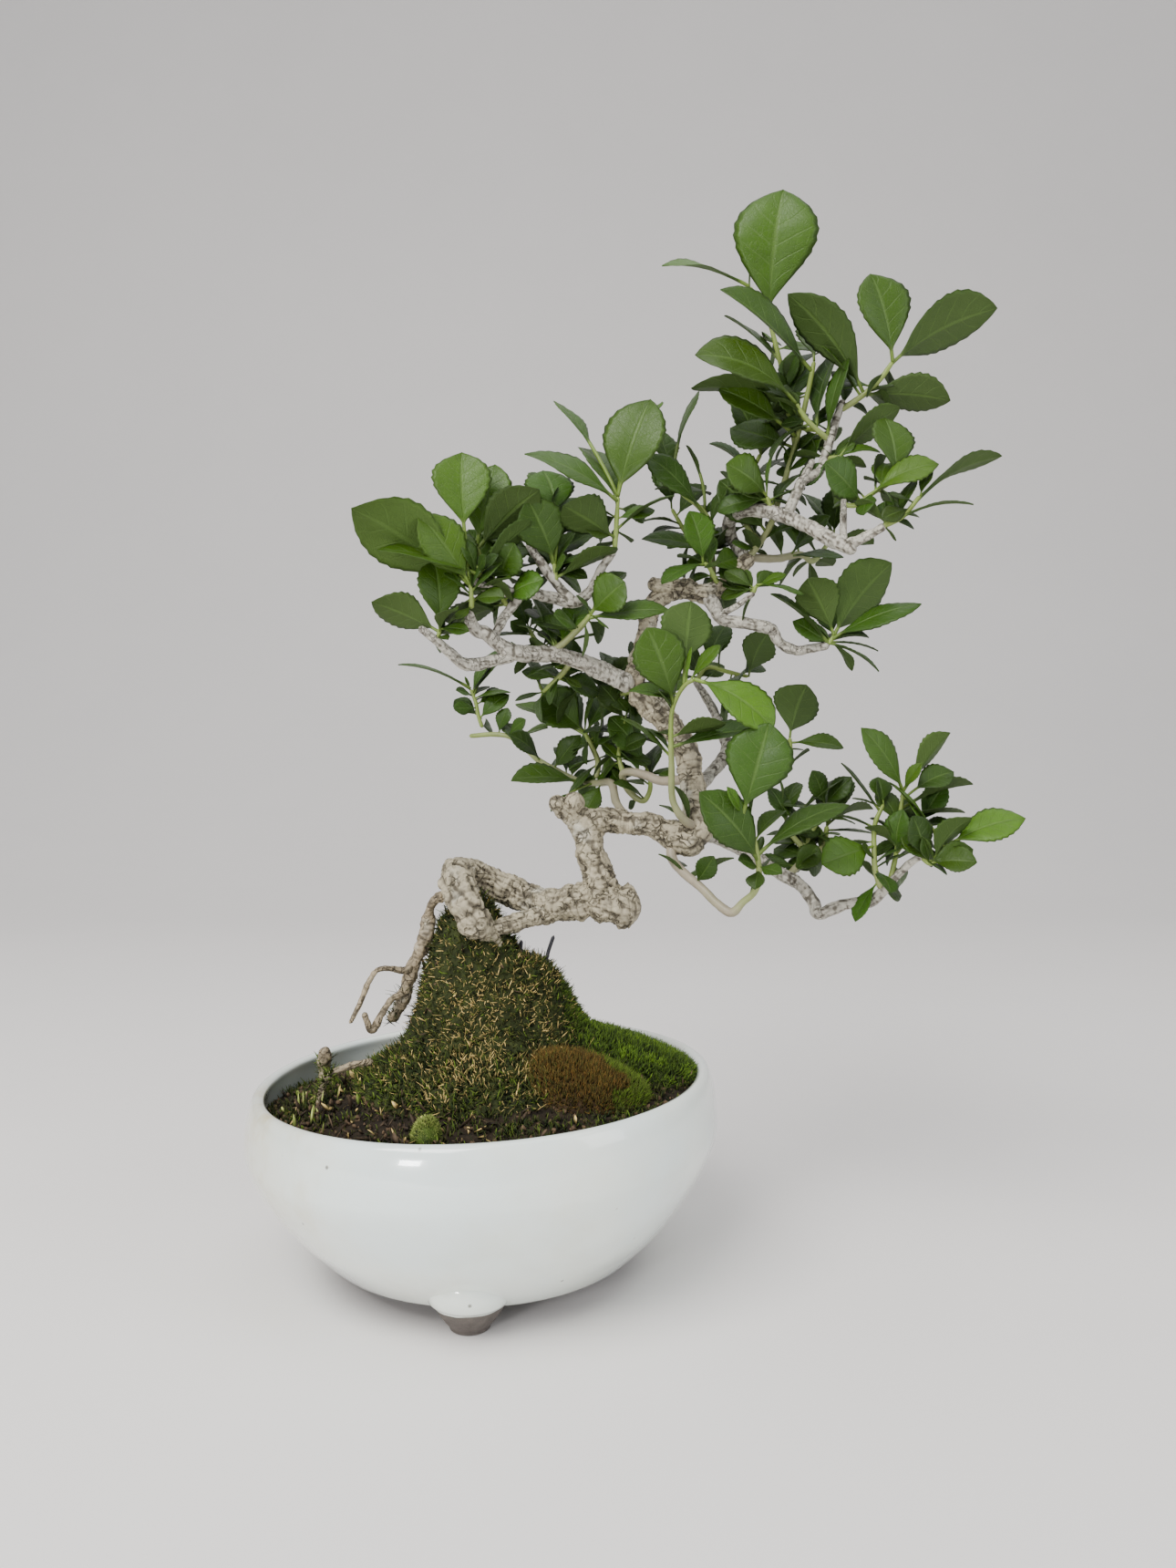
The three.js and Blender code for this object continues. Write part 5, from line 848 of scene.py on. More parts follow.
# Share of a leaf's length that is stalk, unless its row says otherwise.
USUAL_STALK = 0.1


def place_on(path, shares):
    """Points of a path at shares of its length."""
    step = np.linalg.norm(np.diff(path, axis=0), axis=1)
    along = np.concatenate(([0], np.cumsum(step)))
    return np.stack([np.interp(shares * along[-1], along, path[:, k]) for k in range(3)], axis=-1)


def leaf_surfaces(stem, leaves, settings, seed, blade_rows=BLADE_ROWS):
    """Leaves of a shoot. Each is a flattened tube along its midrib, from stalk to tip.

    The midrib is base + reach * s + up * arch * 4 s (1 - s). The blade's half width is
    u^a (1 - u)^b times a saw of ten teeth; its height over the midrib is a V fold, a soft swelling
    between the side veins and a wave of the margin. Old leaves are dark, young ones bright.
    """
    rng = np.random.default_rng(seed)
    rows = np.array([tuple(leaf) + (USUAL_STALK,) * (8 - len(leaf)) for leaf in leaves])
    count = len(rows)
    path = smooth_path(stem, 0.8)[:, :3]
    base = place_on(path, rows[:, 0])
    tip = place_on(np.asarray(stem, float)[:, :3], rows[:, 0]) + rows[:, 1:4]
    reach = np.linalg.norm(tip - base, axis=1)
    along = unit(tip - base)
    viewer = np.array((0.0, -1.0, 0.0))
    facing = unit(viewer - along * (along @ viewer)[:, None])
    sideways = np.cross(along, facing)
    sideways *= np.where(sideways[:, 2:] < 0, -1, 1)
    turn = np.radians(rows[:, 4] + rng.normal(0, 3, count))[:, None]
    up = facing * np.cos(turn) + sideways * np.sin(turn)
    across = np.cross(up, along)
    slim, youth, stalk = rows[:, 5], rows[:, 6], rows[:, 7]

    in_stalk = np.linspace(-1, 0, STALK_ROWS, endpoint=False)
    u = np.concatenate((in_stalk, np.linspace(0, 1, blade_rows + 1)))
    blade = np.clip(u, 0, 1)
    s = np.where(u < 0, stalk[:, None] * (1 + u), stalk[:, None] + (1 - stalk[:, None]) * u)
    small = np.clip((reach - 5) / 8, 0.2, 1)
    arch = settings.arch * rng.uniform(0.3, 1.5, count) * small
    curl = rng.uniform(-0.01, 0.07, count) * small
    sway = rng.normal(0, 0.02, count)
    rise = (arch[:, None] * 4 * s * (1 - s) - curl[:, None] * blade**3) * reach[:, None]
    aside = sway[:, None] * 4 * s * (1 - s) * reach[:, None]
    centre = (base[:, None] + along[:, None] * (s * reach[:, None])[..., None]
              + up[:, None] * rise[..., None] + across[:, None] * aside[..., None])
    tangent = unit(np.gradient(centre, axis=1))
    twist = (rng.normal(0, 0.16, count)[:, None] * (blade - 0.4))[..., None]
    lift = unit(np.cross(tangent, across[:, None]))
    wide = unit(np.cross(lift, tangent))
    wide, lift = wide * np.cos(twist) + lift * np.sin(twist), lift * np.cos(twist) - wide * np.sin(twist)

    rising = rng.uniform(1.15, 1.45, count)[:, None]
    falling = rng.uniform(0.8, 0.98, count)[:, None]
    outline = np.maximum(blade, 1e-6) ** rising * np.maximum(1 - blade, 1e-6) ** falling
    outline /= outline.max(axis=1, keepdims=True)
    half = 0.6 * slim * reach * (1 - stalk)
    saw = (blade * TEETH) % 1 * np.clip((blade - 0.22) / 0.2, 0, 1) * (blade < 0.985)
    tooth = np.minimum(0.14, settings.tooth / MM / np.maximum(half, 1))[:, None] * saw
    stalk_radius = np.clip(reach / 45, 0.28, 0.6)[:, None]
    narrowest = np.maximum(stalk_radius * np.where(u < 0, 1, 1 - blade), 0.05)
    spread = np.maximum(half[:, None] * outline * (1 + tooth), narrowest)[..., None]

    v = np.array(ACROSS + ACROSS[-2:0:-1], float)
    top = np.array((0.5,) + (1,) * 8 + (0.5,) + (0,) * 8)
    side = np.where(top == 0.5, 0, np.where(top > 0.5, 1, -1))
    in_blade = np.clip(blade * 6, 0, 1)[None, :, None]
    thin = settings.thickness / MM / 2 * np.sqrt(1 - 0.85 * v**2)
    round_stalk = stalk_radius[..., None] * np.sqrt(np.clip(1 - v**2, 0, 1))
    thinning = (1 - blade)[None, :, None] ** 0.7
    rib = 0.8 * stalk_radius[..., None] * thinning * (np.abs(v) < 0.1) * (side < 0)
    body = side * (round_stalk * (1 - in_blade) + (thin + rib) * in_blade)
    fold = rng.uniform(0.02, settings.fold, count)[:, None, None]
    vein = blade[None, :, None] * VEIN_PAIRS - np.abs(v) * VEIN_SLANT
    swelling = 0.2 * np.sin(np.pi * vein) ** 2 * 4 * np.abs(v) * (1 - np.abs(v)) * small[:, None, None]
    phase = rng.uniform(0, 2 * np.pi, (count, 1, 1)) + np.sign(v) * 0.8
    margin = rng.uniform(0.0, 0.07, (count, 1, 1)) * np.sin(9 * blade[None, :, None] + phase) * v**2
    droop = rng.uniform(-0.1, 0.16, (count, 1, 1)) * v**2
    height = body + in_blade * (spread * (fold * np.abs(v) + margin - droop) + swelling)
    surface = (centre[:, :, None] + wide[:, :, None] * (spread * v)[..., None]
               + lift[:, :, None] * height[..., None])

    old, fresh, stalk_tone = (np.array(tone[:]) for tone in (settings.old, settings.fresh, settings.stalk))
    age = np.clip(youth + rng.normal(0, 0.07, count), 0, 1)[:, None]
    tone = old * (1 - age) + fresh * age
    tone = tone * rng.uniform(0.82, 1.18, (count, 1)) * (1 + rng.normal(0, 0.05, (count, 3)))
    stalk_share = np.clip(1 - u * 12, 0, 1)[None, :, None, None] * 0.8
    stalk_tone = stalk_tone * (0.6 + 0.6 * age)[:, None, None]
    shade = tone[:, None, None] * (1 - stalk_share) + stalk_tone * stalk_share
    shade = np.broadcast_to(shade, surface.shape)
    return close_tubes(with_channels(surface, u[None, :, None], v, shade, top))


# ---------------------------------------------------------------- finishes

def add_node(tree, kind, inputs=None, **settings):
    """Adds a node, sets its options, and fills its inputs with values or joins them to sockets."""
    node = tree.nodes.new(kind)
    for option, value in settings.items():
        setattr(node, option, value)
    for key, value in (inputs or {}).items():
        if isinstance(value, bpy.types.NodeSocket):
            tree.links.new(value, node.inputs[key])
        else:
            node.inputs[key].default_value = value
    return node


def maths(tree, operation, first, second=0.0, third=0.0):
    """One step of arithmetic between two or three numbers or sockets."""
    inputs = {0: first, 1: second, 2: third}
    return add_node(tree, "ShaderNodeMath", inputs, operation=operation).outputs[0]


def ramp(tree, value, low, high, out_low=0.0, out_high=1.0):
    """Eases a value from one level to another between low and high."""
    inputs = {"Value": value, "From Min": low, "From Max": high, "To Min": out_low, "To Max": out_high}
    return add_node(tree, "ShaderNodeMapRange", inputs, interpolation_type="SMOOTHSTEP").outputs[0]


def blend_colours(tree, factor, first, second, mode="MIX"):
    """Mixes two colours or sockets by a factor."""
    node = add_node(tree, "ShaderNodeMix", {0: factor}, data_type="RGBA", blend_type=mode)
    for index, colour in ((6, first), (7, second)):
        if isinstance(colour, bpy.types.NodeSocket):
            tree.links.new(colour, node.inputs[index])
        else:
            node.inputs[index].default_value = (*colour[:3], 1)
    return node.outputs[2]


def noise(tree, vector, scale, detail=3.0, roughness=0.55):
    """Cloudy noise over a vector."""
    inputs = {"Vector": vector, "Scale": scale, "Detail": detail, "Roughness": roughness}
    return add_node(tree, "ShaderNodeTexNoise", inputs).outputs["Fac"]


def object_place(tree):
    """The place on the object."""
    return add_node(tree, "ShaderNodeTexCoord").outputs["Object"]


def read_attribute(tree, name, output):
    """A value that the mesh carries at its vertices."""
    return add_node(tree, "ShaderNodeAttribute", attribute_name=name).outputs[output]


def new_group(name, inputs, outputs):
    """A node group with named sockets. Returns the group, its inputs and its output node."""
    group = bpy.data.node_groups.new(name, "ShaderNodeTree")
    for label, kind, default in inputs:
        socket = group.interface.new_socket(label, in_out="INPUT", socket_type=kind)
        socket.default_value = default
    for label, kind in outputs:
        group.interface.new_socket(label, in_out="OUTPUT", socket_type=kind)
    return group, group.nodes.new("NodeGroupInput").outputs, group.nodes.new("NodeGroupOutput")


def mottle_group():
    """Mottle: a colour made lighter and darker by two sizes of cloudy noise, and their height."""
    if "Mottle" in bpy.data.node_groups:
        return bpy.data.node_groups["Mottle"]
    group, given, out = new_group(
        "Mottle",
        (("Color", "NodeSocketColor", (0.5, 0.5, 0.5, 1)), ("Scale", "NodeSocketFloat", 100.0),
         ("Amount", "NodeSocketFloat", 0.3)),
        (("Color", "NodeSocketColor"), ("Height", "NodeSocketFloat")),
    )
    place = object_place(group)
    coarse = noise(group, place, given["Scale"])
    fine = noise(group, place, maths(group, "MULTIPLY", given["Scale"], 4.3), 4.0, 0.65)
    height = maths(group, "MULTIPLY_ADD", fine, 0.45, maths(group, "MULTIPLY", coarse, 0.55))
    centred = maths(group, "MULTIPLY", maths(group, "SUBTRACT", height, 0.5), 4.0)
    gain = maths(group, "MULTIPLY_ADD", centred, given["Amount"], 1.0)
    scaled = add_node(group, "ShaderNodeVectorMath", {0: given["Color"], "Scale": gain}, operation="SCALE")
    group.links.new(scaled.outputs[0], out.inputs["Color"])
    group.links.new(height, out.inputs["Height"])
    return group


def cracks_group():
    """Cracks: dark lines between the plates of a surface, wobbled by noise; 1 in a crack."""
    if "Cracks" in bpy.data.node_groups:
        return bpy.data.node_groups["Cracks"]
    group, given, out = new_group(
        "Cracks",
        (("Scale", "NodeSocketFloat", 300.0), ("Width", "NodeSocketFloat", 0.08)),
        (("Mask", "NodeSocketFloat"),),
    )
    place = object_place(group)
    wobble = add_node(group, "ShaderNodeTexNoise", {"Vector": place, "Scale": 260.0, "Detail": 2.0})
    moved = add_node(group, "ShaderNodeVectorMath",
                     {0: wobble.outputs["Color"], 1: (0.005, 0.005, 0.005), 2: place},
                     operation="MULTIPLY_ADD").outputs[0]
    plates = add_node(group, "ShaderNodeTexVoronoi", {"Vector": moved, "Scale": given["Scale"]},
                      feature="DISTANCE_TO_EDGE").outputs["Distance"]
    depth = maths(group, "DIVIDE", plates, given["Width"])
    mask = maths(group, "SUBTRACT", 1.0, maths(group, "MINIMUM", depth, 1.0))
    group.links.new(mask, out.inputs["Mask"])
    return group


def use_group(tree, group, **inputs):
    """Places a node group and returns its outputs."""
    node = tree.nodes.new("ShaderNodeGroup")
    node.node_tree = group
    for label, value in inputs.items():
        if isinstance(value, bpy.types.NodeSocket):
            tree.links.new(value, node.inputs[label])
        else:
            node.inputs[label].default_value = value
    return node.outputs


def new_material(name, **constants):
    """A material and its Principled shader, with constants set on the shader's own sockets."""
    material = bpy.data.materials.new(name)
    material.use_nodes = True
    shader = material.node_tree.nodes["Principled BSDF"]
    for label, value in constants.items():
        shader.inputs[label.replace("_", " ")].default_value = value
    return material, material.node_tree, shader


def finish_surface(tree, shader, colour, roughness, height, distance, strength=1.0):
    """Joins colour and roughness to the shader, and a height through a Bump node."""
    tree.links.new(colour, shader.inputs["Base Color"])
    if isinstance(roughness, bpy.types.NodeSocket):
        tree.links.new(roughness, shader.inputs["Roughness"])
    else:
        shader.inputs["Roughness"].default_value = roughness
    bump = add_node(tree, "ShaderNodeBump", {"Height": height, "Distance": distance, "Strength": strength})
    tree.links.new(bump.outputs[0], shader.inputs["Normal"])


def glaze_material(settings):
    """White glaze with a cool cast, stains and kiln specks, over dark clay below the glaze line."""
    material, tree, shader = new_material("glaze", IOR=1.5, Coat_Roughness=0.04)
    place = object_place(tree)
    drift = noise(tree, place, 22.0, 2.0)
    body = blend_colours(tree, ramp(tree, drift, 0.35, 0.65), settings.glaze, settings.glaze_cool)
    distance = add_node(tree, "ShaderNodeVectorMath", {0: place, 1: STAIN_PLACE}, operation="DISTANCE")
    stain = ramp(tree, distance.outputs["Value"], 0.055, 0.006)
    cloud = ramp(tree, noise(tree, place, 75.0, 5.0), 0.42, 0.75)
    stain = maths(tree, "MULTIPLY_ADD", stain, maths(tree, "MULTIPLY_ADD", cloud, 0.55, 0.4),
                  maths(tree, "MULTIPLY", cloud, 0.12))
    body = blend_colours(tree, stain, body, settings.stain)
    cell = add_node(tree, "ShaderNodeTexVoronoi", {"Vector": place, "Scale": 125.0})
    rare = maths(tree, "GREATER_THAN", add_node(tree, "ShaderNodeSeparateColor",
                 {"Color": cell.outputs["Color"]}).outputs[0], 0.3)
    speck = ramp(tree, cell.outputs["Distance"], 0.1, 0.03)
    speck = maths(tree, "MULTIPLY", maths(tree, "MULTIPLY", speck, rare), 0.8)
    body = blend_colours(tree, speck, body, settings.speck)
    height_z = add_node(tree, "ShaderNodeSeparateXYZ", {0: place}).outputs["Z"]
    line = maths(tree, "MULTIPLY_ADD", noise(tree, place, 60.0), 0.0022, settings.glaze_line - 0.0011)
    bare = ramp(tree, maths(tree, "SUBTRACT", line, height_z), -0.0002, 0.0003)
    clay = use_group(tree, mottle_group(), Color=(*settings.clay, 1), Scale=350.0, Amount=0.35)
    colour = blend_colours(tree, bare, body, clay["Color"])
    ripple = maths(tree, "MULTIPLY", noise(tree, place, 45.0, 2.0), 0.6)
    height = maths(tree, "MULTIPLY_ADD", maths(tree, "MULTIPLY", clay["Height"], bare), 0.8, ripple)
    finish_surface(tree, shader, colour, ramp(tree, bare, 0.0, 1.0, 0.16, 0.8), height, 0.0007, 0.35)
    tree.links.new(maths(tree, "SUBTRACT", 1.0, bare), shader.inputs["Coat Weight"])
    return material


def wood_material(name, light, dark, crack_scale, crack_depth, fleck):
    """Bark: pale plates and dark cracks, with painted shade in the crevices, mottled, with flecks of a third
    colour.
    """
    material, tree, shader = new_material(name, IOR=1.45)
    tone = use_group(tree, mottle_group(), Color=(*light, 1), Scale=190.0, Amount=0.4)
    crack = use_group(tree, cracks_group(), Scale=crack_scale, Width=0.12)["Mask"]
    # Painted shade: where the limb's mask is low, in its fissures and wrinkles, the bark is darkened towards
    # the crack colour.
    crevice_shade = ramp(tree, read_attribute(tree, "mask", "Fac"), 0.75, 0.1)
    broken = ramp(tree, noise(tree, object_place(tree), 240.0, 4.0), 0.42, 0.62)
    lines = maths(tree, "MULTIPLY", maths(tree, "MULTIPLY", crack, crack_depth), broken)
    # The darkening is the larger of the painted crevice shade and the cracks' own dark lines.
    crack_lines_and_crevice_shade = maths(tree, "MAXIMUM", maths(tree, "MULTIPLY", crevice_shade, 0.85), lines)
    patch = ramp(tree, noise(tree, object_place(tree), 85.0, 4.0), 0.56, 0.72)
    colour = blend_colours(tree, maths(tree, "MULTIPLY", patch, 0.45), tone["Color"], fleck)
    colour = blend_colours(tree, crack_lines_and_crevice_shade, colour, dark)
    height = maths(tree, "MULTIPLY_ADD", lines, -0.9, tone["Height"])
    finish_surface(tree, shader, colour, 0.6, height, 0.001, 1.0)
    return material


def moss_material(name, settings):
    """Moss: each leaf has its own colour, darkened towards its root as painted shade."""
    material, tree, shader = new_material(name, Specular_IOR_Level=0.25)
    own = read_attribute(tree, "tone", "Color")
    # Painted shade: each strand is darkened towards its root, and a cushion's bed in its hollows.
    along = ramp(tree, read_attribute(tree, "mask", "Fac"), 0.0, 0.9, settings.root_shade, 1.15)
    shaded = add_node(tree, "ShaderNodeVectorMath", {0: own, "Scale": along}, operation="SCALE")
    tone = use_group(tree, mottle_group(), Color=shaded.outputs[0], Scale=160.0, Amount=0.3)
    finish_surface(tree, shader, tone["Color"], 0.7, tone["Height"], 0.0003)
    return material


def earth_material(name, colour, scale, roughness):
    """Soil and moss beds: one dark colour, strongly mottled and rough, with painted shade where the mask is
    low (hollows, roots of crumbs) and painted light where it is high.
    """
    material, tree, shader = new_material(name, Specular_IOR_Level=0.25)
    tone = use_group(tree, mottle_group(), Color=(*colour, 1), Scale=scale, Amount=0.9)
    # Painted shade and light: the colour is darkened to 0.35 in hollows and at crumb roots, and lifted to 1.2
    # on rises and crumb tips.
    hollow_shade = ramp(tree, read_attribute(tree, "mask", "Fac"), 0.0, 0.8, 0.35, 1.2)
    shaded = add_node(tree, "ShaderNodeVectorMath", {0: tone["Color"], "Scale": hollow_shade}, operation="SCALE")
    finish_surface(tree, shader, shaded.outputs[0], roughness, tone["Height"], 0.001)
    return material


def leaf_material(settings):
    """Leather-like leaves: glossy above with pale veins, matt and grey-green underneath."""
    material, tree, shader = new_material("leaf", IOR=1.4, Coat_Roughness=0.3, Specular_IOR_Level=0.35)
    place = add_node(tree, "ShaderNodeUVMap", uv_map="surface").outputs[0]
    split = add_node(tree, "ShaderNodeSeparateXYZ", {0: place}).outputs
    u, v = split["X"], maths(tree, "ABSOLUTE", split["Y"])
    in_blade = ramp(tree, u, 0.0, 0.05)
    above = read_attribute(tree, "mask", "Fac")
    midrib = maths(tree, "MULTIPLY", ramp(tree, v, 0.1, 0.02), in_blade)
    slanted = maths(tree, "MULTIPLY_ADD", v, -VEIN_SLANT, maths(tree, "MULTIPLY", u, VEIN_PAIRS))
    vein = maths(tree, "PINGPONG", slanted, 0.5)
    side_vein = maths(tree, "MULTIPLY", ramp(tree, vein, 0.075, 0.015), ramp(tree, v, 0.95, 0.6))
    side_vein = maths(tree, "MULTIPLY", side_vein, in_blade)
    stretched = add_node(tree, "ShaderNodeMapping", {0: place, "Scale": (26.0, 11.0, 1.0)}).outputs[0]
    net = add_node(tree, "ShaderNodeTexVoronoi", {"Vector": stretched, "Scale": 1.0},
                   feature="DISTANCE_TO_EDGE").outputs["Distance"]
    net = maths(tree, "MULTIPLY", ramp(tree, net, 0.09, 0.02), in_blade)
    own = read_attribute(tree, "tone", "Color")
    tone = use_group(tree, mottle_group(), Color=own, Scale=70.0, Amount=0.22)
    face = blend_colours(tree, maths(tree, "MULTIPLY", net, 0.14), tone["Color"], settings.vein)
    veins = maths(tree, "MAXIMUM", midrib, maths(tree, "MULTIPLY", side_vein, 0.55))
    face = blend_colours(tree, maths(tree, "MULTIPLY", veins, 0.5), face, settings.vein)
    pale = blend_colours(tree, 0.62, tone["Color"], settings.underside)
    pale = blend_colours(tree, maths(tree, "MULTIPLY", veins, 0.6), pale, settings.vein)
    beneath = maths(tree, "MULTIPLY", maths(tree, "SUBTRACT", 1.0, above), in_blade)
    colour = blend_colours(tree, beneath, face, pale)
    sunk = maths(tree, "MULTIPLY", maths(tree, "MULTIPLY_ADD", net, 0.35, veins), -1.0)
    height = maths(tree, "MULTIPLY_ADD", tone["Height"], 0.3, sunk)
    finish_surface(tree, shader, colour, ramp(tree, beneath, 0.0, 1.0, 0.4, 0.65), height, 0.0003, 0.7)
    gloss = ramp(tree, beneath, 0.0, 1.0, settings.gloss, 0.0)
    tree.links.new(gloss, shader.inputs["Coat Weight"])
    return material


def plain_material(name, colour, roughness, metallic, scale, amount):
    """A mottled plain finish, for the wires, the drain mesh and the stage."""
    material, tree, shader = new_material(name, Metallic=metallic)
    tone = use_group(tree, mottle_group(), Color=(*colour, 1), Scale=scale, Amount=amount)
    finish_surface(tree, shader, tone["Color"], roughness, tone["Height"], 0.0003, 0.5)
    return material


# ---------------------------------------------------------------- settings

def colour_setting(label, text, default):
    """A colour that a user may change."""
    return bpy.props.FloatVectorProperty(
        name=label, description=text, subtype="COLOR", size=3, min=0, max=1, default=default)


def length_setting(label, text, millimetres):
    """A length that a user may change."""
    return bpy.props.FloatProperty(
        name=label, description=text, unit="LENGTH", precision=5, min=0, default=millimetres * MM)


def share_setting(label, text, default):
    """A share that a user may change."""
    return bpy.props.FloatProperty(name=label, description=text, min=0, max=1, default=default)


def power_setting(label, text, watts):
    """A light's power that a user may change."""
    return bpy.props.FloatProperty(name=label, description=text, unit="POWER", min=0, default=watts)


class BowlSettings(bpy.types.PropertyGroup):
    """Sizes and colours of the glazed bowl."""

    sides: bpy.props.IntProperty(name="Sides", description="Columns around the bowl", default=220, min=24)
    glaze: colour_setting("Glaze", "Colour of the glaze", (0.8, 0.85, 0.78))
    glaze_cool: colour_setting("Cool glaze", "Colour where the glaze is thick", (0.74, 0.83, 0.81))
    stain: colour_setting("Stain", "Colour of the mineral stain", (0.56, 0.5, 0.3))
    speck: colour_setting("Speck", "Colour of the kiln specks", (0.09, 0.08, 0.05))
    clay: colour_setting("Clay", "Colour of the bare clay", (0.1, 0.085, 0.075))
    glaze_line: length_setting("Glaze line", "Height at which the glaze ends", 7.6)
    plastic: colour_setting("Drain mesh", "Colour of the drain mesh", (0.02, 0.03, 0.02))


class GroundSettings(bpy.types.PropertyGroup):
    """Amounts and colours of soil and moss."""

    soil: colour_setting("Soil", "Colour of the soil", (0.02, 0.014, 0.008))
    bed: colour_setting("Moss bed", "Colour deep between the moss", (0.022, 0.028, 0.007))
    dark: colour_setting("Dark moss", "Colour of old moss", (0.01, 0.025, 0.004))
    fresh: colour_setting("Fresh moss", "Colour of growing moss", (0.11, 0.19, 0.014))
    olive: colour_setting("Olive moss", "Colour of moss between fresh and dry", (0.055, 0.062, 0.01))
    straw: colour_setting("Dry moss", "Colour of dry moss tips", (0.66, 0.48, 0.18))
    rust: colour_setting("Rusty moss", "Colour of the brown cushion", (0.15, 0.075, 0.016))
    litter: colour_setting("Litter", "Colour of dead leaves", (0.1, 0.065, 0.038))
    sprout: colour_setting("Sprouts", "Colour of sprouts", (0.45, 0.5, 0.14))
    root_shade: share_setting("Root shade", "How dark a moss leaf is at its root", 0.2)
    density: bpy.props.FloatProperty(name="Density", description="Share of the moss that is grown",
                                     default=1.0, min=0.05, max=1)


class WoodSettings(bpy.types.PropertyGroup):
    """Roughness and colours of trunk, branches and roots."""

    gnarl: share_setting("Gnarl", "Height of the trunk's bumps, as a share of its radius", 0.8)
    twig_gnarl: share_setting("Twig gnarl", "Height of the branches' bumps", 0.5)
    bark: colour_setting("Bark", "Colour of the trunk's plates", (0.37, 0.325, 0.225))
    crack: colour_setting("Cracks", "Colour of cracks and crevices", (0.042, 0.032, 0.018))
    twig: colour_setting("Twigs", "Colour of the branches", (0.44, 0.415, 0.35))
    root: colour_setting("Roots", "Colour of the bare roots", (0.31, 0.25, 0.16))
    lichen: colour_setting("Lichen", "Colour of lichen flecks", (0.56, 0.56, 0.48))
    wire: colour_setting("Wire", "Colour of the wire stubs", (0.03, 0.03, 0.035))


class LeafSettings(bpy.types.PropertyGroup):
    """Shape and colours of the leaves."""

    thickness: length_setting("Thickness", "Thickness of a blade", 0.32)
    tooth: length_setting("Tooth", "How far the margin's teeth stand out", 0.8)
    arch: share_setting("Arch", "How far a blade bows, as a share of its length", 0.07)
    fold: share_setting("Fold", "Steepest fold along the midrib", 0.3)
    filler: bpy.props.IntProperty(
        name="Filler", description="Small leaves added to each twig", default=8, min=0, max=40)
    stem_share: share_setting("Stem", "Thickness of the leafy stems, as a share of their lists", 0.78)
    gloss: share_setting("Gloss", "Coat on the upper face", 0.08)
    old: colour_setting("Old leaf", "Colour of old leaves", (0.018, 0.046, 0.002))
    fresh: colour_setting("Young leaf", "Colour of young leaves", (0.06, 0.14, 0.004))
    underside: colour_setting("Underside", "Colour of the underside", (0.06, 0.095, 0.025))
    vein: colour_setting("Veins", "Colour of the veins", (0.085, 0.15, 0.03))
    stalk: colour_setting("Stalk", "Colour of the leaf stalks", (0.17, 0.25, 0.045))
    old_stem: colour_setting("Old stem", "Colour at a shoot's foot", (0.3, 0.26, 0.19))
    new_stem: colour_setting("New stem", "Colour at a shoot's tip", (0.2, 0.27, 0.06))


class StageSettings(bpy.types.PropertyGroup):
    """Camera, floor and lights."""

    lens: bpy.props.FloatProperty(name="Lens", description="Focal length", default=25.83, min=1)
    floor: colour_setting("Floor", "Colour of floor and backdrop", (0.8, 0.775, 0.755))
    key: power_setting("Key light", "Power of the main light", 22)
    fill: power_setting("Fill light", "Power of the fill light", 4)
    window: power_setting("Window", "Power of the small light that the glaze mirrors", 3)
    ambient: bpy.props.FloatProperty(
        name="Ambient", description="Strength of the room's light", default=0.68, min=0)


# ---------------------------------------------------------------- pieces

class BONSAI_OT_bowl(bpy.types.Operator):
    """Turn the glazed bowl and its feet, and weave the drain mesh"""

    bl_idname = "bonsai.bowl"
    bl_label = "Bowl"

    def execute(self, context):
        settings = context.scene.bonsai_bowl
        make_piece("pot", bowl_surfaces(settings.sides), glaze_material(settings), ("pot",))
        low, high = (np.array(corner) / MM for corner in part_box("drain_mesh"))
        middle = (low + high) / 2 - (BOWL_AXIS_X, 0, 0)
        half = (high[0] - low[0]) / 2
        threads = []
        for place in np.linspace(-half + 0.5, half - 0.5, 13):
            for turned in (False, True):
                steps = np.linspace(-half + 0.4, half - 0.4, 27)
                wave = middle[2] + 0.12 * np.cos(steps * 2.2) * (-1 if turned else 1)
                fixed = np.full_like(steps, place)
                x, y = (fixed, steps) if turned else (steps, fixed)
                run = np.column_stack((middle[0] + x, middle[1] + y, wave, np.full_like(steps, 0.24)))
                threads.append(limb_surface(run, 6, 1, 0, 1))
        material = plain_material("drain_plastic", settings.plastic, 0.5, 0.0, 300.0, 0.2)
        make_piece("drain_mesh", threads, material, ("drain_mesh",))
        return {"FINISHED"}


def mixed_tones(rng, count, first, second, spread=0.25):
    """Colours between two, each at its own share and with its own brightness."""
    share = rng.random((count, 1))
    tones = np.array(first[:]) * (1 - share) + np.array(second[:]) * share
    return tones * rng.uniform(1 - spread, 1 + spread, (count, 1))


def leaning(rng, normals, upward, scatter_by):
    """Directions between a surface's normal and straight up, thrown about at random."""
    return unit(normals + (0, 0, upward) + rng.normal(0, scatter_by, normals.shape))


def filler_leaves(count, rng):
    """Rows of small leaves that no list names, sent out at random, mostly up and to the back."""
    way = unit(rng.normal(0, 1, (count, 3)) * (1, 0.7, 0.8) + (0, 0.55, 0.4))
    reach = way * rng.uniform(8, 15, (count, 1))
    rows = np.column_stack((rng.uniform(0.02, 0.9, count), reach, rng.uniform(10, 115, count),
                            rng.uniform(0.42, 0.6, count), rng.uniform(0, 0.45, count)))
    return tuple(map(tuple, rows))


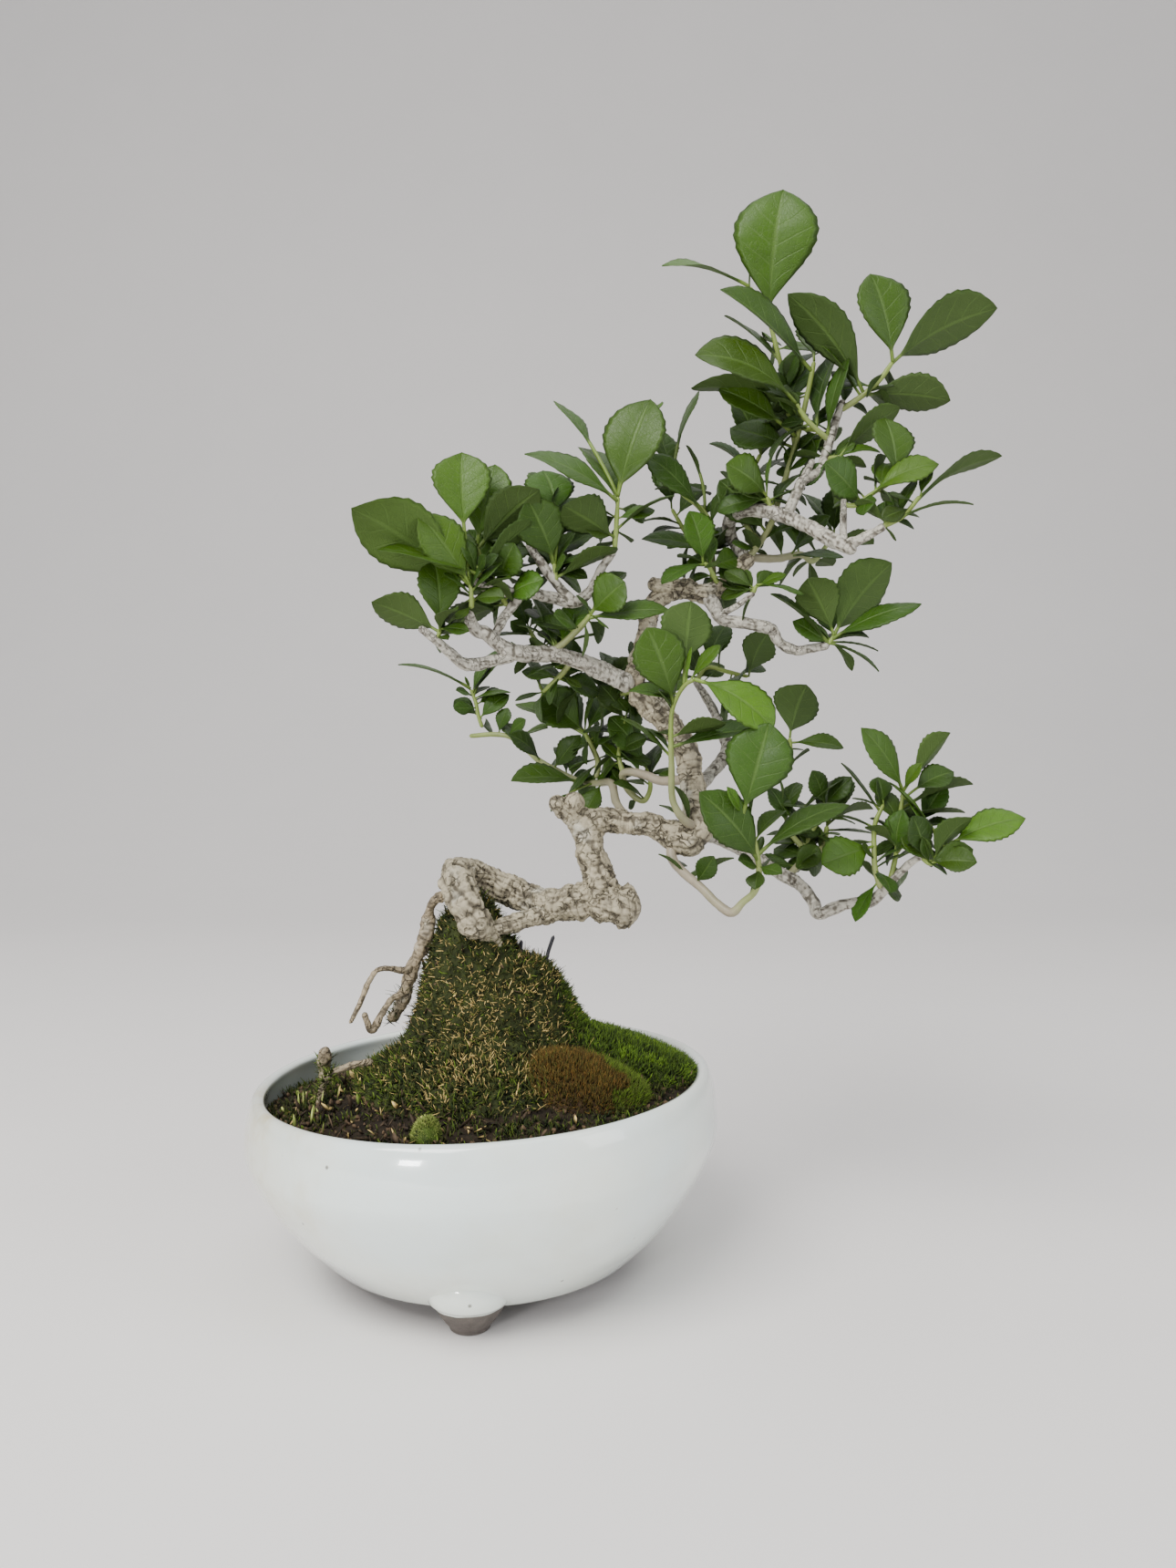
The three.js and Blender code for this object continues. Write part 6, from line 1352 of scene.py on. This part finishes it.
class BONSAI_OT_soil(bpy.types.Operator):
    """Fill the bowl with soil, crumbs, litter, sprouts and the low moss on it"""

    bl_idname = "bonsai.soil"
    bl_label = "Soil"

    def execute(self, context):
        settings = context.scene.bonsai_ground
        bed = pad_surface(ground_height, lambda x, y: np.full_like(x, FLOOR_Z + 1), (0, 0), (69, 69),
                          130, 260, 0.55, 11)
        points = bed[0]
        reach = np.maximum(np.hypot(points[:, 0], points[:, 1]), 1)
        points[:, :2] *= np.minimum(1, room_in_bowl(points, 0.15) / reach)[:, None]
        material = earth_material("soil", settings.soil, 420.0, 0.95)
        make_piece("soil", [bed], material, ("soil",))

        box = (-68, -68, 68, 68)
        points, normals, rng = scatter(2600, 12, box, ground_height, inside_bowl)
        size = rng.uniform(0.4, 1.3, len(points)) ** 1.3
        tones = mixed_tones(rng, len(points), settings.soil, settings.litter, 0.5)
        crumbs = strand_surfaces(points - normals * 0.4, leaning(rng, normals, 0, 0.9),
                                 size * 1.6, size * 0.7, tones, np.full(len(points), 0.15), 13,
                                 rows=5, flat=0.8, blade=True)
        material = earth_material("soil_crumbs", settings.litter, 600.0, 0.95)
        make_piece("soil_crumbs", [crumbs], material, ("soil",))

        def in_litter(places):
            left = nearness(places[:, :2], np.array((-44, -28)), np.array((24, 30)))
            right = nearness(places[:, :2], np.array((62, -12)), np.array((6, 14)))
            front = nearness(places[:, :2], np.array((-14, -52)), np.array((28, 9)))
            return inside_bowl(places, 2.5) * np.clip(left + 0.8 * right + 0.8 * front + 0.05, 0, 1)

        points, normals, rng = scatter(700, 14, box, ground_height, in_litter)
        length = rng.uniform(1.2, 4.2, len(points))
        tones = mixed_tones(rng, len(points), settings.litter, settings.soil, 0.6)
        tones[::6] = np.array(settings.straw[:]) * rng.uniform(0.5, 1.5, (len(tones[::6]), 1))
        flakes = strand_surfaces(points + normals * 0.7, leaning(rng, normals * 0.4, 0.1, 0.8), length,
                                 length * rng.uniform(0.1, 0.26, len(points)), tones,
                                 rng.uniform(0.1, 0.5, len(points)), 15, rows=7, flat=0.12, blade=True)
        points, normals, rng = scatter(36, 16, (-64, -52, -32, 0), ground_height, in_litter)
        tones = mixed_tones(rng, len(points), settings.sprout, settings.fresh, 0.3)
        sprouts = strand_surfaces(points + normals * 0.5, leaning(rng, normals, 0.8, 0.5),
                                  rng.uniform(2, 4.5, len(points)), rng.uniform(0.3, 0.7, len(points)), tones,
                                  np.full(len(points), 0.3), 17, rows=8, flat=0.3, blade=True)
        material = moss_material("litter", settings)
        make_piece("soil_litter", [flakes, sprouts], material, ("soil",))

        def in_low_moss(places):
            off_mound = from_mound(places[:, 0], places[:, 1]) > MOUND_RADIUS - 3
            patchy = 0.5 + grain(places, 9, 18)
            litter = nearness(places[:, :2], np.array((-40, -34)), np.array((22, 20)))
            return inside_bowl(places, 1.5) * off_mound * np.clip(patchy - 0.5 * litter, 0.1, 1)

        count = int(7000 * settings.density)
        points, normals, rng = scatter(count, 19, box, ground_height, in_low_moss)
        tones = mixed_tones(rng, len(points), settings.dark, settings.olive, 0.5)
        fresh = (rng.random(len(points)) < 0.18)[:, None]
        tones = np.where(fresh, mixed_tones(rng, len(points), settings.olive, settings.fresh, 0.3), tones)
        low = strand_surfaces(points - normals * 0.2, leaning(rng, normals, 0.3, 0.6),
                              rng.uniform(1.2, 2.8, len(points)), rng.uniform(0.22, 0.5, len(points)), tones,
                              rng.uniform(0.1, 0.5, len(points)), 20)
        make_piece("soil_moss", [low], moss_material("low_moss", settings), ("soil",))
        return {"FINISHED"}


class BONSAI_OT_moss(bpy.types.Operator):
    """Cover the mound with moss, and set the three cushions"""

    bl_idname = "bonsai.moss"
    bl_label = "Moss"

    def execute(self, context):
        settings = context.scene.bonsai_ground
        material = moss_material("moss", settings)
        bed = pad_surface(lambda x, y: moss_height(x, y) - 1.0, lambda x, y: ground_height(x, y) - 0.3,
                          MOUND_CENTRE, (MOUND_RADIUS, MOUND_RADIUS), 110, 190, 0.7, 31)
        bed_material = earth_material("moss_bed", settings.bed, 260.0, 0.9)
        make_piece("moss_bed", [bed], bed_material, ("moss_mound",))

        def on_mound(places):
            return (from_mound(places[:, 0], places[:, 1]) < MOUND_RADIUS + 1) * inside_bowl(places, 1)

        def straw_share(places):
            golden = nearness(places, np.array((0, -26, 86)), np.array((17, 22, 15)))
            broad = nearness(places, np.array((6, -20, 82)), np.array((40, 50, 22)))
            dark = nearness(places, np.array((11, -30, 77)), np.array((6, 14, 8)))
            patchy = 0.5 + 0.9 * grain(places, 8, 32)
            return np.clip(0.75 * golden + 0.5 * broad * patchy + 0.06, 0, 1) * (1 - 0.9 * dark)

        box = (-42, -50, 48, 40)

        def grow(name, count, seed, keep, tones_of, length, width, curl, scatter_by, rows):
            points, normals, rng = scatter(int(count * settings.density), seed, box, moss_height, keep)
            spans = rng.uniform(*length, len(points))
            strands = strand_surfaces(points - normals * 1.0, leaning(rng, normals, 0.2, scatter_by), spans,
                                      rng.uniform(*width, len(points)), tones_of(points, rng),
                                      rng.uniform(*curl, len(points)), seed + 1, rows=rows)
            make_piece(name, [strands], material, ("moss_mound",))

        def green_tones(places, rng):
            tones = mixed_tones(rng, len(places), settings.dark, settings.olive, 0.45)
            bright = (rng.random(len(places)) < 0.12 + 0.25 * (places[:, 2] < 66))[:, None]
            return np.where(bright, mixed_tones(rng, len(places), settings.olive, settings.fresh), tones)

        def straw_tones(places, rng):
            tones = mixed_tones(rng, len(places), settings.olive, settings.straw, 0.25)
            pale = (rng.random(len(places)) < 0.3)[:, None]
            bleached = np.array(settings.straw[:]) * rng.uniform(0.9, 1.5, (len(places), 1))
            return np.where(pale, bleached, tones)

        grow("moss_dark", 7500, 33, on_mound, green_tones, (1.4, 2.6), (0.3, 0.56), (0.2, 0.6), 0.7, 3)
        grow("moss_green", 7500, 35, on_mound, green_tones, (1.8, 3.2), (0.24, 0.46), (0.3, 0.7), 0.8, 3)
        grow("moss_straw", 4800, 37, lambda p: on_mound(p) * straw_share(p), straw_tones,
             (1.2, 2.7), (0.2, 0.4), (0.2, 0.8), 1.1, 4)

        rng = np.random.default_rng(52)
        dressed = [(WOOD["trunk"][0], 900, 88, 104.5), (ROOTS["dead_stub"][0], 520, 44, 61),
                   (ROOTS["root_rim"][0], 420, 48, 65.5), (ROOTS["root_upper"][0], 140, 76, 90)]
        grown = [moss_on_limb(run, count, rng, low, high) for run, count, low, high in dressed]
        points, normals = (np.concatenate(part) for part in zip(*grown))
        strands = strand_surfaces(points - normals * 0.8, leaning(rng, normals, 0.5, 0.5),
                                  rng.uniform(1.6, 3.4, len(points)), rng.uniform(0.24, 0.46, len(points)),
                                  green_tones(points, rng), rng.uniform(0.3, 0.8, len(points)), 53)
        make_piece("moss_on_wood", [strands], material, ("moss_mound",))

        def cushion(name, shape, count, seed, tones, length, width, scatter_by, nodes, shaded_bed_tone):
            def height(x, y):
                return dome_height(x, y, shape)

            def skirt(x, y):
                return ground_height(x, y) - 1.0

            shrunk = np.array(shape[2:4]) * 0.985
            bed = pad_surface(lambda x, y: height(x, y) - 0.9, skirt, shape[:2], shrunk, 50, 90, 0.35, seed)
            # Painted shade: the bed under a cushion's strands is given a colour darker than the moss over it.
            bed[0][:, TONE] = shaded_bed_tone
            around = (shape[0] - shape[2], shape[1] - shape[3], shape[0] + shape[2], shape[1] + shape[3])

            def keep(places):
                top = np.maximum(moss_height(places[:, 0], places[:, 1]) - 1.5,
                                 ground_height(places[:, 0], places[:, 1]))
                return inside_bowl(places, 0.8) * (places[:, 2] > top)

            points, normals, rng = scatter(int(count * settings.density), seed + 1, around, height, keep)
            strands = strand_surfaces(points - normals * 1.0, leaning(rng, normals, 0.4, scatter_by),
                                      rng.uniform(*length, len(points)), rng.uniform(*width, len(points)),
                                      tones(points, rng), rng.uniform(0.05, 0.35, len(points)), seed + 2)
            make_piece(name, [bed, strands], material, nodes)

        def fresh_tones(places, rng):
            tones = mixed_tones(rng, len(places), settings.dark, settings.fresh, 0.3)
            return tones * (0.75 + 0.7 * np.clip(grain(places, 5, 41) + 0.4, 0, 1))[:, None]

        def rust_tones(places, rng):
            tones = mixed_tones(rng, len(places), settings.rust, settings.olive, 0.6)
            green = (grain(places, 7, 42) + 0.06 * (places[:, 0] - 40) > 0.15)[:, None]
            return np.where(green, mixed_tones(rng, len(places), settings.olive, settings.fresh), tones)

        def pale_tones(places, rng):
            return mixed_tones(rng, len(places), settings.fresh, settings.sprout, 0.25) * 0.7

        cushion("moss_cushion_green", GREEN_CUSHION, 7000, 43, fresh_tones, (1.6, 2.8), (0.2, 0.36), 0.4,
                ("moss_cushion_green",), np.array(settings.bed[:]) * 2)
        cushion("moss_cushion_brown", BROWN_CUSHION, 7000, 46, rust_tones, (1.6, 2.8), (0.14, 0.24), 0.35,
                ("moss_cushion_brown",), np.array(settings.rust[:]) * 0.3)
        cushion("moss_ball_pale", PALE_BALL, 1600, 49, pale_tones, (0.8, 1.5), (0.12, 0.22), 0.5,
                ("moss_ball_pale",), np.array(settings.fresh[:]) * 0.5)
        return {"FINISHED"}


def limbs(names, sides, spacing, gnarl, material, lists, seed):
    """One piece for each named limb, with all of its runs."""
    for step, name in enumerate(names):
        runs = [limb_surface(run, sides, spacing, gnarl, seed + 20 * step + 4 * i)
                for i, run in enumerate(lists[name])]
        make_piece(name, runs, material, (name,))


class BONSAI_OT_wood(bpy.types.Operator):
    """Grow trunk, leader and branches"""

    bl_idname = "bonsai.wood"
    bl_label = "Wood"

    def execute(self, context):
        settings = context.scene.bonsai_wood
        bark = wood_material("bark", settings.bark, settings.crack, 330.0, 0.85, settings.lichen)
        twig = wood_material("twig", settings.twig, settings.crack, 520.0, 0.5, settings.lichen)
        limbs(("trunk", "leader"), 84, 0.45, settings.gnarl, bark, WOOD, 100)
        branches = [name for name in WOOD if name.startswith("branch_")]
        limbs(branches, 24, 0.5, settings.twig_gnarl, twig, WOOD, 200)
        return {"FINISHED"}


class BONSAI_OT_roots(bpy.types.Operator):
    """Grow the bare roots and the dead stub, and set the wire stubs"""

    bl_idname = "bonsai.roots"
    bl_label = "Roots and wires"

    def execute(self, context):
        settings = context.scene.bonsai_wood
        root = wood_material("root", settings.root, settings.crack, 420.0, 0.7, settings.lichen)
        names = [name for name in ROOTS if not name.startswith("wire_")]
        limbs(names, 22, 0.45, 1.0, root, ROOTS, 500)
        wire = plain_material("wire", settings.wire, 0.45, 0.7, 500.0, 0.4)
        names = [name for name in ROOTS if name.startswith("wire_")]
        limbs(names, 14, 0.8, 0.0, wire, ROOTS, 700)
        return {"FINISHED"}


class BONSAI_OT_shoots(bpy.types.Operator):
    """Grow the leafy shoots"""

    bl_idname = "bonsai.shoots"
    bl_label = "Shoots"

    def execute(self, context):
        settings = context.scene.bonsai_leaf
        material = leaf_material(settings)
        stem_tones = (settings.old_stem[:], settings.new_stem[:])
        for step, (name, twig) in enumerate(SHOOTS.items()):
            seed = 1000 + 10 * step
            twigs = [twig, SPRIGS[name]] if name in SPRIGS else [twig]
            surfaces = []
            for part, (stem, leaves) in enumerate(twigs):
                own = seed + 5000 * part
                filler = filler_leaves(settings.filler, np.random.default_rng(own + 9))
                thinner = np.array(stem) * (1, 1, 1, settings.stem_share)
                surfaces.append(limb_surface(thinner, 12, 0.7, 0.3, own, *stem_tones))
                surfaces.append(leaf_surfaces(stem, leaves, settings, own + 5))
                surfaces.append(leaf_surfaces(stem, filler, settings, own + 7, FILLER_ROWS))
            make_piece(name, surfaces, material, (name,))
        return {"FINISHED"}


class BONSAI_OT_stage(bpy.types.Operator):
    """Set the floor, the backdrop, the lights and the camera"""

    bl_idname = "bonsai.stage"
    bl_label = "Stage"

    def execute(self, context):
        settings = context.scene.bonsai_stage
        # The floor turns up into the backdrop on a quarter circle of one metre.
        turn = np.linspace(0, np.pi / 2, 40)
        depth = np.concatenate(([-1.2], 0.8 + np.sin(turn), [1.8]))
        height = np.concatenate(([0], 1 - np.cos(turn), [3.0])) - 0.0002
        across = np.array((-3.5, 3.5))
        grid = np.broadcast_arrays(across, depth[:, None], height[:, None])
        points = np.stack(grid, axis=-1).reshape(-1, 3)
        index = np.arange(len(depth) - 1)[:, None] * 2
        mesh = bpy.data.meshes.new("floor")
        mesh.from_pydata(points.tolist(), [], (index + (0, 1, 3, 2)).tolist())
        mesh.polygons.foreach_set("use_smooth", [True] * len(mesh.polygons))
        mesh.materials.append(plain_material("floor", settings.floor, 0.75, 0.0, 3.0, 0.02))
        floor = bpy.data.objects.new("floor", mesh)
        context.scene.collection.objects.link(floor)

        def soft_light(name, place, target, size, power, colour):
            light = bpy.data.lights.new(name, "AREA")
            light.shape = "RECTANGLE"
            light.size, light.size_y = size
            light.energy = power
            light.color = colour
            lamp = bpy.data.objects.new(name, light)
            lamp.location = place
            aim = Vector(target) - Vector(place)
            lamp.rotation_euler = aim.to_track_quat("-Z", "Y").to_euler()
            context.scene.collection.objects.link(lamp)

        soft_light("key", (-0.55, -0.75, 1.15), (0, 0, 0.12), (0.9, 0.7), settings.key, (1, 0.98, 0.95))
        soft_light("top", (0.15, 0.05, 1.3), (0, 0, 0.1), (1.2, 0.9), settings.fill * 1.2, (1, 1, 1))
        soft_light("window", (-0.45, -0.75, 0.22), (-0.06, 0, 0.05), (0.16, 0.1), settings.window, (1, 1, 1))
        soft_light("fill", (1.0, -0.6, 0.6), (0, 0, 0.12), (0.5, 0.8), settings.fill, (0.94, 0.97, 1))
        world = bpy.data.worlds.new("room")
        world.use_nodes = True
        world.node_tree.nodes["Background"].inputs["Color"].default_value = (0.96, 0.97, 1, 1)
        world.node_tree.nodes["Background"].inputs["Strength"].default_value = settings.ambient
        context.scene.world = world

        camera = bpy.data.cameras.new("camera")
        camera.lens = settings.lens
        camera.sensor_width = 36
        camera.sensor_fit = "AUTO"
        camera.clip_start = 0.01
        eye = bpy.data.objects.new("camera", camera)
        eye.location = (BOWL_AXIS_X * MM + CAMERA_ASIDE, -CAMERA_IN_FRONT, CAMERA_HIGH)
        eye.rotation_euler = (math.radians(CAMERA_TILT), 0, 0)
        context.scene.collection.objects.link(eye)
        context.scene.camera = eye
        return {"FINISHED"}


# ---------------------------------------------------------------- add-on

PIECES = (BONSAI_OT_bowl, BONSAI_OT_soil, BONSAI_OT_moss, BONSAI_OT_wood, BONSAI_OT_roots,
          BONSAI_OT_shoots, BONSAI_OT_stage)
SETTINGS = {
    "bonsai_bowl": BowlSettings,
    "bonsai_ground": GroundSettings,
    "bonsai_wood": WoodSettings,
    "bonsai_leaf": LeafSettings,
    "bonsai_stage": StageSettings,
}


class BONSAI_PT_panel(bpy.types.Panel):
    """The bonsai's settings and pieces"""

    bl_idname = "BONSAI_PT_panel"
    bl_label = "Potted Bonsai"
    bl_space_type = "VIEW_3D"
    bl_region_type = "UI"
    bl_category = "Bonsai"

    def draw(self, context):
        for name, kind in SETTINGS.items():
            box = self.layout.box()
            box.label(text=kind.__doc__)
            for option in kind.__annotations__:
                box.prop(getattr(context.scene, name), option)
        for piece in PIECES:
            self.layout.operator(piece.bl_idname)


def register():
    """Registers the settings, the operators and the panel."""
    for kind in (*SETTINGS.values(), *PIECES, BONSAI_PT_panel):
        bpy.utils.register_class(kind)
    for name, kind in SETTINGS.items():
        setattr(bpy.types.Scene, name, bpy.props.PointerProperty(type=kind))


def unregister():
    """Removes all that register added."""
    for name in SETTINGS:
        delattr(bpy.types.Scene, name)
    for kind in (BONSAI_PT_panel, *reversed(PIECES), *reversed(SETTINGS.values())):
        bpy.utils.unregister_class(kind)


def main():
    """Builds the whole bonsai."""
    register()
    for piece in PIECES:
        group, name = piece.bl_idname.split(".")
        getattr(getattr(bpy.ops, group), name)()


if __name__ == "__main__":
    main()
